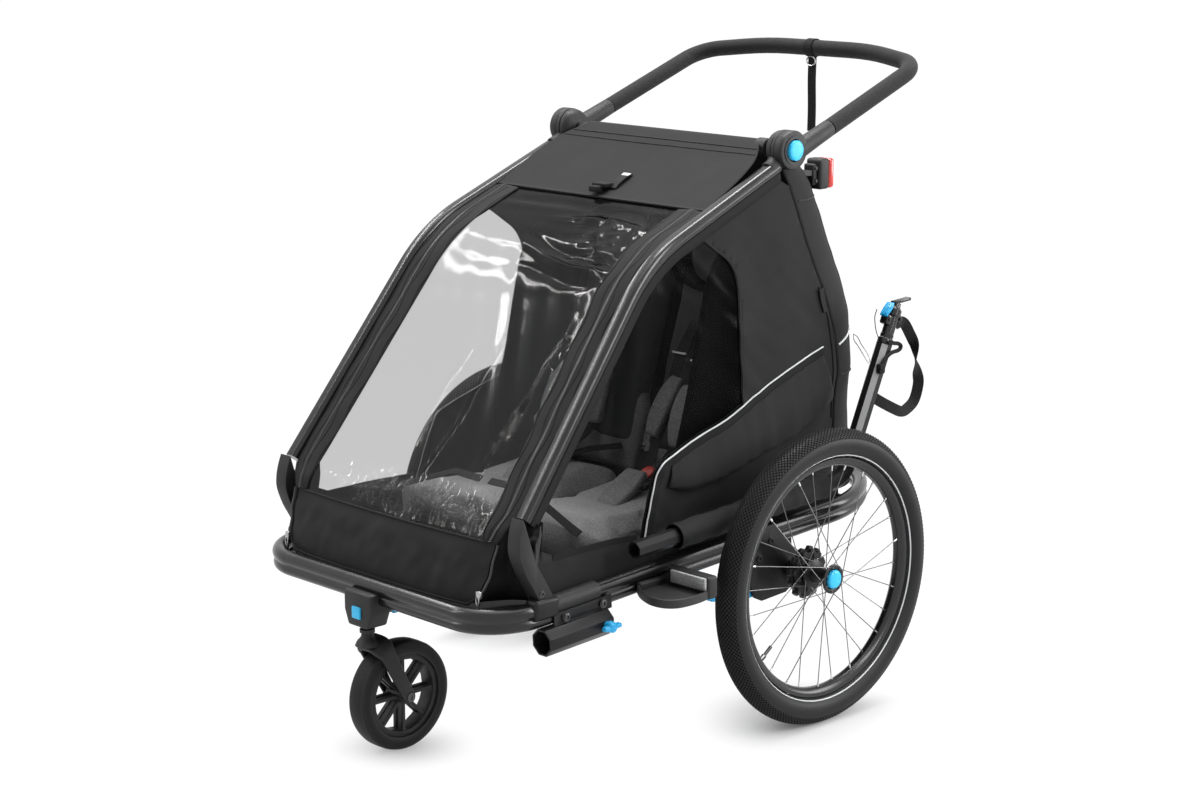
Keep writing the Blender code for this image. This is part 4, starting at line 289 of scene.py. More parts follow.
def bent_line(corners, bends, arc=radians(5)):
    """A line through corners, each inner corner turned to its bend radius."""
    line = [Vector(corners[0])]
    for before, corner, after, bend in zip(corners, corners[1:], corners[2:], bends):
        before, corner, after = Vector(before), Vector(corner), Vector(after)
        back, ahead = (before - corner).normalized(), (after - corner).normalized()
        turn = pi - acos(max(-1.0, min(1.0, back.dot(ahead))))
        if turn < 0.01:
            line.append(corner)
            continue
        reach = bend * tan(turn / 2)
        centre = corner + (back + ahead).normalized() * (bend / cos(turn / 2))
        start = corner + back * reach - centre
        axis = start.cross(corner + ahead * reach - centre).normalized()
        count = max(2, round(turn / arc))
        line += [centre + Matrix.Rotation(turn * i / count, 3, axis) @ start for i in range(count + 1)]
    line.append(Vector(corners[-1]))
    return line


def flowing(points, per=6):
    """A smooth line through points, with per steps between each two."""
    points = [Vector(p) for p in points]
    ends = [points[0] * 2 - points[1]] + points + [points[-1] * 2 - points[-2]]
    line = []
    for a, b, c, d in zip(ends, ends[1:], ends[2:], ends[3:]):
        for i in range(per):
            t = i / per
            line.append(
                ((b * 2) + (c - a) * t + (a * 2 - b * 5 + c * 4 - d) * t * t
                 + (b * 3 - a - c * 3 + d) * t**3) / 2
            )
    line.append(points[-1])
    return line


def drawn(bm, path, section, normal, closed=False, lengthwise=None):
    """A section drawn out along a path. A section point is (a, b): a along normal, b to the path's side.

    lengthwise, if given, scales the section at a share of the path from 0 to 1.
    """
    count = len(path)
    normals = normal if isinstance(normal, list) else [Vector(normal)] * count
    frames = []
    for i, point in enumerate(path):
        if closed:
            before, after = path[i - 1], path[(i + 1) % count]
        else:
            before, after = path[max(i - 1, 0)], path[min(i + 1, count - 1)]
        along = (after - before).normalized()
        side = along.cross(normals[i]).normalized()
        up = side.cross(along).normalized()
        size = lengthwise(i / (count - 1)) if lengthwise else 1.0
        place = Matrix((up * size, side * size, along)).transposed().to_4x4()
        place.translation = point
        frames.append(place)
    if closed:
        frames.append(frames[0])
    ring = [bm.verts.new(frames[0] @ Vector((a, b, 0.0))) for a, b in section]
    first = ring
    edges = [bm.edges.new((ring[i - 1], ring[i])) for i in range(len(ring))]
    for start, end in zip(frames, frames[1:]):
        grown = bmesh.ops.extrude_edge_only(bm, edges=edges)["geom"]
        verts = [item for item in grown if isinstance(item, bmesh.types.BMVert)]
        bmesh.ops.transform(bm, matrix=end @ start.inverted(), verts=verts)
        moved = set(verts)
        edges = [
            item for item in grown
            if isinstance(item, bmesh.types.BMEdge) and item.verts[0] in moved and item.verts[1] in moved
        ]
    if closed:
        bmesh.ops.remove_doubles(bm, verts=bm.verts, dist=0.00002)
    else:
        bmesh.ops.contextual_create(bm, geom=edges)
        bmesh.ops.contextual_create(bm, geom=[e for e in bm.edges
                                              if e.verts[0] in first and e.verts[1] in first])
    return bm


def round_section(radius, count):
    return [(radius * sin(2 * pi * i / count), radius * cos(2 * pi * i / count)) for i in range(count)]


def turned(bm, outline, centre, axis="X", count=48):
    """An outline of (distance along the axis, radius) turned once round the axis through centre."""
    ahead = Vector({"X": (1, 0, 0), "Y": (0, 1, 0), "Z": (0, 0, 1)}[axis])
    out = Vector({"X": (0, 0, 1), "Y": (1, 0, 0), "Z": (1, 0, 0)}[axis])
    centre = Vector(centre)
    verts = [bm.verts.new(centre + ahead * along + out * radius) for along, radius in outline]
    edges = [bm.edges.new(pair) for pair in zip(verts, verts[1:])]
    if outline[0][1] > 0 or outline[-1][1] > 0:
        edges.append(bm.edges.new((verts[-1], verts[0])))
    bmesh.ops.spin(
        bm, geom=verts + edges, cent=centre, axis=ahead, angle=2 * pi, steps=count, use_merge=True
    )
    bmesh.ops.remove_doubles(bm, verts=bm.verts, dist=0.00001)
    return bm


def bounded(value):
    """The value, kept between 0 and 1."""
    return min(1.0, max(0.0, value))


def softened(bm, edges, width, segments, clamp=True):
    """Rounds edges."""
    bmesh.ops.bevel(
        bm, geom=edges, offset=width, offset_type="OFFSET", segments=segments, profile=0.5,
        affect="EDGES", clamp_overlap=clamp, material=-1,
    )


def block(bm, low, high, ease=0.0, segments=2):
    """A box between two corners with its edges eased."""
    low, high = Vector(low), Vector(high)
    made = bmesh.ops.create_cube(bm, size=1.0)["verts"]
    bmesh.ops.scale(bm, vec=high - low, verts=made)
    bmesh.ops.translate(bm, vec=(low + high) / 2, verts=made)
    if ease:
        softened(bm, list({edge for vert in made for edge in vert.link_edges}), ease, segments, clamp=False)
    return bm


anodised = finish("black_anodised", (0.011, 0.011, 0.012), (0.016, 0.016, 0.017), 0.24, 0.40, 0.55, coat=0.15)

BASE_HALF_WIDTH = 0.3000
BASE_FRONT, BASE_REAR = -0.6490, 0.3550
BASE_TOP = 0.3380
TUBE_RADIUS = 0.0128
LOBE_RADIUS, LOBE_DROP, LOBE_OUT = 0.0100, 0.0180, 0.0020
BASE_LEVEL = BASE_TOP - TUBE_RADIUS
FRONT_BEND, REAR_BEND = 0.09, 0.23
PLATE_X, EAR_X = 0.2990, 0.2466
base_corners = [
    (0.0, BASE_FRONT, BASE_LEVEL), (BASE_HALF_WIDTH, BASE_FRONT, BASE_LEVEL),
    (BASE_HALF_WIDTH, BASE_REAR, BASE_LEVEL), (-BASE_HALF_WIDTH, BASE_REAR, BASE_LEVEL),
    (-BASE_HALF_WIDTH, BASE_FRONT, BASE_LEVEL), (0.0, BASE_FRONT, BASE_LEVEL),
]
base_line = bent_line(base_corners, [FRONT_BEND, REAR_BEND, REAR_BEND, FRONT_BEND], radians(4))[:-1]
upper = [(TUBE_RADIUS * sin(a), TUBE_RADIUS * cos(a)) for a in np.radians(np.linspace(-40, 219, 22))]
lower = [
    (LOBE_RADIUS * sin(a) - LOBE_DROP, LOBE_OUT + LOBE_RADIUS * cos(a))
    for a in np.radians(np.linspace(-225, 45, 19))
]
base = drawn(bmesh.new(), base_line, upper + lower, (0.0, 0.0, 1.0), closed=True)
CROSS_LEVEL = BASE_LEVEL - LOBE_DROP + 0.0040
for cross_y, reach in ((-0.4600, BASE_HALF_WIDTH), (0.2050, BASE_HALF_WIDTH - 0.0130)):
    tube = [Vector((-reach, cross_y, CROSS_LEVEL)), Vector((reach, cross_y, CROSS_LEVEL))]
    drawn(base, tube, round_section(0.0110, 24), (0.0, 0.0, 1.0))
    for hand in (-1, 1):
        weld = [
            (-0.004, 0.0118), (-0.001, 0.0142), (0.003, 0.0124), (0.005, 0.0112), (0.005, 0.0100),
            (-0.004, 0.0100),
        ]
        turned(base, [(hand * (reach - 0.014 - a), r) for a, r in weld], (0.0, cross_y, CROSS_LEVEL), "X", 32)
beam = [Vector((-0.3148, 0.0, WHEEL_RADIUS)), Vector((0.3148, 0.0, WHEEL_RADIUS))]
drawn(base, beam, round_section(0.0125, 28), (0.0, 0.0, 1.0))
for hand in (-1, 1):
    block(base, (hand * PLATE_X - 0.003, -0.026, 0.248), (hand * PLATE_X + 0.003, 0.026, 0.312), 0.001)
    bmesh.ops.create_cone(
        base, cap_ends=True, segments=28, radius1=0.0125, radius2=0.0125, depth=0.004,
        matrix=Matrix.Translation((hand * EAR_X, 0.1984, 0.3670)) @ Matrix.Rotation(pi / 2, 4, "Y"),
    )
    block(base, (hand * EAR_X - 0.002, 0.186, 0.310), (hand * EAR_X + 0.002, 0.211, 0.366), 0.0005)
base_piece = piece("base_tube", base, anodised, "chassis", tipped=True, replaces=("base_frame",))

# The wheels: a 20 inch tyre with a knurled tread and a reflecting ring on each wall, a box section
# rim, 28 laced steel spokes with nipples, and a black hub with the toothed brake ring inboard.
AXLE_X = 0.3950
AXLE_END = (AXLE_X, 0.0, WHEEL_RADIUS)
TYRE_RADIUS = 0.0252
BEAD_RADIUS = 0.2040
RIM_INNER = BEAD_RADIUS - 0.0145
VALVE_TURN = 2.2
rubber = finish("tyre_rubber", (0.008, 0.008, 0.008), (0.013, 0.013, 0.013), 0.52, specular=0.17, patch=30.0,
                grain=0.06, grain_size=300.0, edge_wear_and_highlight=0.20)
tread = finish("tyre_tread", (0.008, 0.008, 0.008), (0.013, 0.013, 0.013), 0.46, specular=0.22, patch=30.0)
reflecting = finish("reflecting_strip", (0.52, 0.53, 0.54), (0.66, 0.67, 0.68), 0.35, specular=0.6,
                    grain=0.25, grain_size=2200.0)
rim_black = finish("rim_black", (0.010, 0.010, 0.011), (0.017, 0.017, 0.018), 0.24, 0.35, 0.6, edge_wear_and_highlight=0.05)
spoke_steel = finish("spoke_steel", (0.13, 0.13, 0.135), (0.20, 0.20, 0.205), 0.30, 1.0)
nipple_brass = finish("nipple_steel", (0.62, 0.62, 0.62), (0.75, 0.75, 0.75), 0.22, 1.0)
hub_black = finish("hub_black", (0.006, 0.006, 0.006), (0.011, 0.011, 0.011), 0.38, 0.0, 0.32, grain=0.10,
                   edge_wear_and_highlight=0.08)
cap_blue = finish("cap_blue", (0.020, 0.440, 0.780), (0.030, 0.500, 0.860), 0.32, 0.0, 0.4, grain=0.03)


TREAD_ROWS, TREAD_COLUMNS, TREAD_HALF = 400, 18, 1.14


def knurled(material):
    """Draws the tread on a tyre's material, from the place alone: stud tops raised in the relief, and the
    gaps between them painted near black as shade.
    """
    tree = material.node_tree
    shader = tree.nodes["Principled BSDF"]
    pitch = 2 * TREAD_HALF / TREAD_COLUMNS

    def maths(operation, *values):
        return added(tree, "ShaderNodeMath", dict(enumerate(values)), operation=operation).outputs[0]

    place = added(tree, "ShaderNodeTexCoord", {}).outputs["Object"]
    parts = added(tree, "ShaderNodeSeparateXYZ", {0: place}).outputs
    x = maths("SUBTRACT", maths("ABSOLUTE", parts["X"]), AXLE_X)
    y = maths("SUBTRACT", parts["Y"], AXLE_Y)
    z = maths("SUBTRACT", parts["Z"], WHEEL_RADIUS)
    radius = maths("SQRT", maths("ADD", maths("MULTIPLY", y, y), maths("MULTIPLY", z, z)))
    across = maths("ARCTAN2", x, maths("SUBTRACT", radius, WHEEL_RADIUS - TYRE_RADIUS))
    row = maths("COSINE", maths("MULTIPLY", maths("ARCTAN2", y, z), TREAD_ROWS / 2))
    column = maths("COSINE", maths("MULTIPLY", maths("ADD", across, TREAD_HALF), pi / pitch))
    stud = maths("MULTIPLY", row, column)
    within = added(tree, "ShaderNodeMapRange", {
        "From Min": TREAD_HALF + 0.03, "From Max": TREAD_HALF - 0.03, "Value": maths("ABSOLUTE", across),
    }).outputs["Result"]
    tops = added(tree, "ShaderNodeMapRange", {"From Min": 0.16, "From Max": -0.20,
                                              "Value": stud}).outputs["Result"]
    # Painted shade: the gaps between the studs are coloured near black, as if shade lay in them.
    painted_gap_shade = maths("MULTIPLY", within, maths("SUBTRACT", 1.0, tops))
    plain = shader.inputs["Base Color"].links[0].from_socket
    cut = {"B": (0.0012, 0.0012, 0.0012, 1.0), "Factor": painted_gap_shade, "A": plain}
    cut = added(tree, "ShaderNodeMix", cut, data_type="RGBA").outputs["Result"]
    tree.links.new(cut, shader.inputs["Base Color"])
    tree.links.new(maths("ADD", 0.46, maths("MULTIPLY", painted_gap_shade, 0.50)), shader.inputs["Roughness"])
    stands = maths("MULTIPLY", within, tops)
    raised = added(tree, "ShaderNodeBump", {"Strength": 0.9, "Distance": 0.0012, "Height": stands})
    tree.links.new(raised.outputs["Normal"], shader.inputs["Normal"])


knurled(tread)


def tyre_mesh():
    """The tyre: a tube section turned round the axle, its tread raised stud by stud."""
    bm = bmesh.new()
    middle = WHEEL_RADIUS - TYRE_RADIUS
    opening = acos((BEAD_RADIUS + 0.0003 - middle) / TYRE_RADIUS)
    stops = np.concatenate([
        np.linspace(-opening, -TREAD_HALF, 9)[:-1], np.linspace(-TREAD_HALF, TREAD_HALF, TREAD_COLUMNS + 1),
        np.linspace(TREAD_HALF, opening, 9)[1:],
    ])
    outline = [(TYRE_RADIUS * 0.985 * sin(a), middle + TYRE_RADIUS * 0.985 * cos(a)) for a in stops]
    turned(bm, outline, AXLE_END, "X", TREAD_ROWS)
    hub = Vector(AXLE_END)
    for vert in bm.verts:
        out = vert.co - hub
        around = atan2(out.y, out.z)
        radius = sqrt(out.y**2 + out.z**2)
        across = atan2(out.x, radius - middle)
        if abs(across) < 1.12:
            column = round((across + TREAD_HALF) / (2 * TREAD_HALF / TREAD_COLUMNS))
            row = round(around / (2 * pi / TREAD_ROWS)) % TREAD_ROWS
            stud = 0.00070 if (column + row) % 2 else -0.00070
            radius += stud * (1.0 if abs(across) < 0.98 else 0.5)
        elif abs(across) < 1.20 or 1.62 < abs(across) < 1.68:
            radius += 0.00025
        vert.co = hub + Vector((out.x, radius * sin(around), radius * cos(around)))
    return bm


def wheel_side(bm, hand):
    """Turns the finished left wheel half round for the right."""
    if hand < 0:
        bmesh.ops.rotate(bm, cent=(0, 0, 0), matrix=Matrix.Rotation(pi, 3, "Z"), verts=bm.verts)
    return bm


def reflecting_ring():
    bm = bmesh.new()
    for wall in (1, -1):
        middle = WHEEL_RADIUS - TYRE_RADIUS
        angles = [radians(a) for a in (134, 136.5, 139)]
        face = [(wall * TYRE_RADIUS * sin(a), middle + TYRE_RADIUS * cos(a)) for a in angles]
        low = [(wall * 0.0246 * sin(a), middle + 0.0246 * cos(a)) for a in reversed(angles)]
        turned(bm, face + low, AXLE_END, "X", 160)
    return bm


def rim_mesh():
    bm = bmesh.new()
    half, bead, inner = 0.0118, BEAD_RADIUS, RIM_INNER
    outline = [
        (-half - 0.0006, bead), (-half + 0.0010, bead + 0.0002), (-half + 0.0016, bead - 0.0040),
        (0.0, bead - 0.0065),
        (half - 0.0016, bead - 0.0040), (half - 0.0010, bead + 0.0002), (half + 0.0006, bead),
        (half + 0.0004, bead - 0.0045), (half - 0.0010, bead - 0.0090), (half * 0.52, inner + 0.0012),
        (half * 0.30, inner), (-half * 0.30, inner), (-half * 0.52, inner + 0.0012),
        (-half + 0.0010, bead - 0.0090), (-half - 0.0004, bead - 0.0045),
    ]
    turned(bm, outline, AXLE_END, "X", 160)
    for radius, low, high in ((0.0030, inner - 0.030, inner + 0.001),
                              (0.0042, inner - 0.010, inner + 0.0005)):
        bmesh.ops.create_cone(
            bm, cap_ends=True, segments=14, radius1=radius, radius2=radius * 0.9, depth=high - low,
            matrix=Matrix.Translation(AXLE_END) @ Matrix.Rotation(VALVE_TURN, 4, "X")
            @ Matrix.Translation((0, 0, (low + high) / 2)),
        )
    return bm


SPOKES, FLANGE_RADIUS, LACING = 28, 0.0212, radians(62)


def spoke_ends(number):
    """Where one spoke starts on its hub flange and where it meets the rim."""
    flange = -1 if number % 2 else 1
    hand = 1 if (number // 2) % 2 else -1
    turn = 2 * pi * (number + 0.3) / SPOKES
    hub_turn = turn + hand * LACING
    x_hub = AXLE_X + (0.0212 if flange > 0 else -0.0222) + hand * 0.0012
    foot = Vector((x_hub, FLANGE_RADIUS * sin(hub_turn), WHEEL_RADIUS + FLANGE_RADIUS * cos(hub_turn)))
    top = Vector((AXLE_X + flange * 0.0030, RIM_INNER * sin(turn), WHEEL_RADIUS + RIM_INNER * cos(turn)))
    return foot, top


def rod(bm, start, end, radius, sides=8, taper=1.0):
    """A straight round rod between two points."""
    along = end - start
    turn = along.to_track_quat("Z", "Y").to_matrix().to_4x4()
    bmesh.ops.create_cone(
        bm, cap_ends=True, segments=sides, radius1=radius, radius2=radius * taper, depth=along.length,
        matrix=Matrix.Translation((start + end) / 2) @ turn,
    )


def spokes_mesh():
    bm = bmesh.new()
    for number in range(SPOKES):
        foot, top = spoke_ends(number)
        rod(bm, foot, top, 0.00085, 8)
        head = Vector((0.0024 if foot.x > AXLE_X else -0.0024, 0.0, 0.0))
        rod(bm, foot - head * 0.2, foot + head, 0.0017, 8)
    return bm


def nipples_mesh():
    bm = bmesh.new()
    for number in range(SPOKES):
        foot, top = spoke_ends(number)
        along = (foot - top).normalized()
        rod(bm, top - along * 0.001, top + along * 0.008, 0.0018, 8, 0.8)
    return bm


def hub_mesh():
    bm = bmesh.new()
    out, back = 0.0230, -0.0240
    shell = [
        (-0.0050, 0.0063), (-0.0350, 0.0063), (-0.0400, 0.0100), (-0.0400, 0.0200), (back - 0.0012, 0.0205),
        (back, 0.0245), (back + 0.0008, 0.0250), (back + 0.0030, 0.0250), (back + 0.0038, 0.0235),
        (back + 0.0060, 0.0140),
        (0.0, 0.0122), (out - 0.0080, 0.0142), (out - 0.0046, 0.0235), (out - 0.0036, 0.0250),
        (out - 0.0010, 0.0250),
        (out - 0.0002, 0.0240), (out, 0.0200), (out - 0.0012, 0.0180), (out - 0.0020, 0.0163),
        (out - 0.0095, 0.0163),
        (out - 0.0095, 0.0063),
    ]
    turned(bm, shell, AXLE_END, "X", 72)
    centre = Vector(AXLE_END)
    for outer, inner, low, high, teeth, depth in (
        (0.0450, 0.0200, -0.0420, -0.0350, 12, 0.0050), (0.0405, 0.0190, -0.0345, -0.0295, 12, 0.0040),
    ):
        rim = []
        for i in range(teeth * 6):
            turn = 2 * pi * i / (teeth * 6)
            reach = outer if i % 6 in (1, 2, 3) else outer - depth
            rim.append(bm.verts.new(centre + Vector((low, reach * sin(turn), reach * cos(turn)))))
        edges = [bm.edges.new((rim[i - 1], rim[i])) for i in range(len(rim))]
        disc = bmesh.ops.contextual_create(bm, geom=edges)["faces"]
        grown = bmesh.ops.extrude_face_region(bm, geom=disc)["geom"]
        moved = [item for item in grown if isinstance(item, bmesh.types.BMVert)]
        bmesh.ops.translate(bm, vec=(high - low, 0.0, 0.0), verts=moved)
    for i in range(6):
        turn = 2 * pi * i / 6 + 0.3
        bolt = centre + Vector((0.0, 0.0300 * sin(turn), 0.0300 * cos(turn)))
        rod(bm, bolt + Vector((-0.0350, 0, 0)), bolt + Vector((-0.0260, 0, 0)), 0.0034, 10)
    return bm


def cap_mesh():
    bm = bmesh.new()
    outline = [(0.0200, 0.0), (0.0200, 0.0154), (0.0232, 0.0160), (0.0250, 0.0157), (0.0268, 0.0146),
               (0.0278, 0.0120),
               (0.0283, 0.0070), (0.0285, 0.0)]
    return turned(bm, outline, AXLE_END, "X", 48)


SIDES = ((1, "left"), (-1, "right"))
for hand, side in SIDES:
    body = "wheel_" + side
    made = piece("tyre_tread_" + side, wheel_side(tyre_mesh(), hand), tread, body, sharp=60,
                 replaces=("tyre_" + side,))
    piece("tyre_ring_" + side, wheel_side(reflecting_ring(), hand), reflecting, body)
    made = piece("rim_" + side, wheel_side(rim_mesh(), hand), rim_black, body,
                 replaces=("wheel_rim_" + side,))
    piece("spokes_" + side, wheel_side(spokes_mesh(), hand), spoke_steel, body)
    piece("nipples_" + side, wheel_side(nipples_mesh(), hand), nipple_brass, body)
    piece("hub_" + side, wheel_side(hub_mesh(), hand), hub_black, body)
    cap = piece("wheel_button_" + side, wheel_side(cap_mesh(), hand), cap_blue, "cap_" + side,
                replaces=("wheel_cap_" + side,))

# The rigid fittings: bent plates, saddles, guards and moulded blocks, each cast or pressed in one
# piece with eased edges. Brackets and levers keep the frame's shape; feet and guards are drawn here.
moulded = finish("moulded_black", (0.012, 0.012, 0.012), (0.019, 0.019, 0.019), 0.50, 0.0, 0.28, grain=0.12,
                 grain_size=500.0, edge_wear_and_highlight=0.07)
plate_black = finish("plate_black", (0.008, 0.008, 0.009), (0.014, 0.014, 0.015), 0.38, 0.30, 0.32,
                     grain=0.05,
                     grain_size=500.0)
lever_blue = finish("lever_blue", (0.012, 0.300, 0.600), (0.018, 0.380, 0.720), 0.38, 0.0, 0.4, grain=0.08)
bolt_dark = finish("bolt_dark", (0.004, 0.004, 0.004), (0.008, 0.008, 0.008), 0.16, 0.0, 0.9)
clear_red = finish("lens_red", (0.480, 0.012, 0.006), (0.640, 0.020, 0.010), 0.18, 0.0, 0.6, grain=0.20,
                   grain_size=420.0, coat=0.4)
button_red = finish("button_red", (0.560, 0.030, 0.018), (0.640, 0.040, 0.022), 0.34, 0.0, 0.5, grain=0.05)


SHARP_ANGLE = radians(33)


def eased(node, name, material, width):
    """A fitting in the frame's shape with its sharp edges rounded."""
    bm = bmesh.new()
    bm.from_mesh(frame["nodes"][node].data)
    bmesh.ops.remove_doubles(bm, verts=bm.verts, dist=0.000005)
    bmesh.ops.dissolve_limit(bm, angle_limit=radians(1.0), verts=bm.verts, edges=bm.edges)
    edges = [e for e in bm.edges if len(e.link_faces) == 2 and e.calc_face_angle() > SHARP_ANGLE]
    softened(bm, edges, width, 2)
    bmesh.ops.translate(bm, vec=(0.0, -AXLE_Y, 0.0), verts=bm.verts)
    body = frame["nodes"][node]["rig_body"]
    made = piece(name, bm, material, body, replaces=(node,))
    return made


for side in ("left", "right"):
    eased("axle_bracket_" + side, "bracket_plate_" + side, plate_black, 0.0006)
    eased("brake_lever_" + side, "brake_pedal_" + side, lever_blue, 0.0006)
eased("drawbar_receiver", "receiver_tube", plate_black, 0.0008)
eased("receiver_knob", "wing_screw", lever_blue, 0.0008)
eased("caster_lock_knob", "caster_pull", lever_blue, 0.0008)
eased("caster_wheel", "caster_spider", moulded, 0.0010)

def socket_bolt(bm, at, radius):
    """A socket head bolt standing out sideways: a turned head with its key hole sunk in."""
    height = 0.0026
    turned(bm, [(0.0, 0.0), (0.0, radius * 1.25), (0.0008, radius * 1.30), (0.0010, radius),
                (height * 0.8, radius),
                (height, radius * 0.88), (height, radius * 0.50), (height * 0.3, radius * 0.46),
                (height * 0.3, 0.0)], at, "X", 28)


def extruded(bm, corners, by):
    """A flat face through corners, drawn out into a solid; gives the face and the far corners."""
    face = bmesh.ops.contextual_create(bm, geom=[bm.verts.new(corner) for corner in corners])["faces"]
    grown = bmesh.ops.extrude_face_region(bm, geom=face)["geom"]
    verts = [item for item in grown if isinstance(item, bmesh.types.BMVert)]
    bmesh.ops.translate(bm, vec=by, verts=verts)
    return face[0], verts


def slab(bm, shape, low, high, ease, segments=3):
    """A plate with the outline shape (y, z), from x = low to high, its edges eased."""
    face, verts = extruded(bm, [(low, y, z) for y, z in shape], (high - low, 0.0, 0.0))
    edges = {edge for vert in verts for edge in vert.link_edges} | set(face.edges)
    softened(bm, list(edges), ease, segments)


def joined(bm, other):
    """Adds the mesh other to bm."""
    holder = bpy.data.meshes.new("part")
    other.to_mesh(holder)
    other.free()
    bm.from_mesh(holder)
    bpy.data.meshes.remove(holder)


def flipped(bm, hand):
    """A mesh made for the left side, mirrored if it goes on the right."""
    if hand < 0:
        bmesh.ops.scale(bm, vec=(-1.0, 1.0, 1.0), verts=bm.verts)
    return bm


FOOT_FRONT = [(-0.5955, 0.4430), (-0.6020, 0.4250), (-0.6060, 0.4050), (-0.6050, 0.3840), (-0.5930, 0.3540),
              (-0.5793, 0.3310), (-0.5660, 0.3060)]
FOOT_BACK = [(-0.5590, 0.2950), (-0.5460, 0.2950), (-0.5370, 0.3060), (-0.5494, 0.3316), (-0.5700, 0.3671),
             (-0.5760, 0.3860), (-0.5700, 0.4060), (-0.5580, 0.4190), (-0.5620, 0.4300)]
for hand, side in SIDES:
    foot = bmesh.new()
    slab(foot, [(p.y, p.z) for p in flowing([(0, *q) for q in FOOT_FRONT + FOOT_BACK], 3)], 0.2790, 0.3060,
         0.0060, 4)
    for vert in foot.verts:
        vert.co.x += 0.030 * (0.44 - vert.co.z)
    made = piece("foot_arm_" + side, flipped(foot, hand), moulded, "hoops", sharp=50,
                 replaces=("hoop_foot_" + side,))
    bolts = bmesh.new()
    socket_bolt(bolts, (0.3094, -0.5630, 0.3205), 0.0046)
    piece("foot_bolt_" + side, flipped(bolts, hand), bolt_dark, "hoops")
    saddle = block(bmesh.new(), (0.2880, -0.5800, 0.2790), (0.3165, -0.5300, 0.3120), 0.0060, 3)
    made = piece("rail_saddle_" + side, flipped(saddle, hand), plate_black, "chassis",
                 replaces=("rail_clamp_" + side,))
    cover = bmesh.new()
    shell = [((TUBE_RADIUS + 0.0034) * sin(a), (TUBE_RADIUS + 0.0034) * cos(a))
             for a in np.radians(np.linspace(-62, 158, 22))]
    shell += [((TUBE_RADIUS + 0.0002) * sin(a), (TUBE_RADIUS + 0.0002) * cos(a))
              for a in np.radians(np.linspace(158, -62, 22))]
    saddle = [Vector((BASE_HALF_WIDTH, float(y), BASE_LEVEL))
              for y in (-0.5590, -0.5575, -0.5100, -0.4400, -0.4385)]
    drawn(cover, saddle, shell, (0.0, 0.0, 1.0), lengthwise=lambda s: 0.985 if s in (0.0, 1.0) else 1.0)
    made = piece("rail_cover_" + side, flipped(cover, hand), moulded, "chassis", tipped=True)
    bolts = bmesh.new()
    for spot in ((-0.0830, 0.3020), (-0.0870, 0.2740), (-0.0560, 0.2380)):
        socket_bolt(bolts, (0.3150, *spot), 0.0040)
    piece("bracket_bolts_" + side, flipped(bolts, hand), bolt_dark, "chassis")
GUARD_LIP = [(0.3080, -0.3520), (0.3180, -0.3620), (0.3440, -0.3800), (0.3764, -0.3920), (0.4020, -0.3890),
             (0.4170, -0.3740), (0.4215, -0.3500), (0.4200, -0.3200), (0.4120, -0.2900)]
for hand, side in SIDES:
    guard = bmesh.new()
    lip = flowing([(x, y, 0.2885) for x, y in GUARD_LIP], 5)
    drawn(guard, lip, [(0.0060, 0.0012), (0.0072, -0.0006), (0.0060, -0.0028), (-0.0066, -0.0020),
                       (-0.0076, 0.0), (-0.0066, 0.0014)],
          (0.0, 0.0, 1.0))
    plan = [(p.x - 0.001, p.y) for p in lip] + [(0.3130, -0.2900)]
    extruded(guard, [(x, y, 0.2830) for x, y in plan], (0.0, 0.0, 0.0045))
    block(guard, (0.3270, -0.3058, 0.2800), (0.4200, -0.2840, 0.3172), 0.0045, 3)
    block(guard, (0.3110, -0.3600, 0.2800), (0.3220, -0.2720, 0.2990), 0.0040, 3)
    made = piece("guard_shell_" + side, flipped(guard, hand), moulded, "chassis", sharp=45,
                 replaces=("wheel_guard_" + side,))
bolts = bmesh.new()
for spot in ((-0.5190, 0.2765), (-0.4400, 0.2815)):
    socket_bolt(bolts, (0.3190, *spot), 0.0056)
piece("receiver_bolts", bolts, bolt_dark, "chassis")

# The caster: a moulded housing on the front tube with a blue release button, and a bent fork of one
# thick moulding that swivels in it and carries the solid wheel on a bolt.
CASTER = (0.0, -0.5970, 0.0921)
HOUSING_FRONT = -0.6800
bm = bmesh.new()
shield = [(-0.0340, 0.2810), (0.0340, 0.2810), (0.0340, 0.2480), (0.0240, 0.2230), (-0.0240, 0.2230),
          (-0.0340, 0.2480)]
extruded(bm, [(x, HOUSING_FRONT, z) for x, z in shield], (0.0, 0.0420, 0.0))
softened(bm, bm.edges[:], 0.0038, 3)
knob_low, knob_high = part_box("caster_lock_knob")
knob_at = (knob_low + knob_high) / 2 - Vector((0.0, AXLE_Y, 0.0))
rod(bm, Vector((knob_at.x, -0.6420, knob_at.z)), Vector((knob_at.x, -0.6200, knob_at.z)), 0.0050, 16)
made = piece("caster_block", bm, moulded, "chassis", replaces=("caster_housing",))
bm = block(bmesh.new(), (-0.0105, HOUSING_FRONT - 0.0035, 0.2375),
           (0.0100, HOUSING_FRONT + 0.0060, 0.2575), 0.0016, 3)
made = piece("caster_push", bm, cap_blue, "swivel_button", replaces=("caster_button",))
axle_at, crown_at = Vector(CASTER), Vector((0.0, -0.6490, 0.1900))
rising = (crown_at - axle_at).normalized()
flat_of_fork = Vector((0.0, rising.z, -rising.y))
LEG = Vector((0.0268, 0.0, 0.0))
arch = bent_line([axle_at + LEG, crown_at + LEG, crown_at - LEG, axle_at - LEG], [0.020, 0.020], radians(9))
arch = [arch[0], arch[0].lerp(arch[1], 0.3), arch[0].lerp(arch[1], 0.65)] + arch[1:-1] + [
    arch[-1].lerp(arch[-2], 0.65), arch[-1].lerp(arch[-2], 0.3), arch[-1]]
strap_section = [(0.0185, 0.0020), (0.0172, 0.0040), (0.0145, 0.0050), (-0.0145, 0.0050),
                 (-0.0172, 0.0040), (-0.0185, 0.0020),
                 (-0.0185, -0.0020), (-0.0172, -0.0040), (-0.0145, -0.0046), (0.0145, -0.0046),
                 (0.0172, -0.0040),
                 (0.0185, -0.0020)]
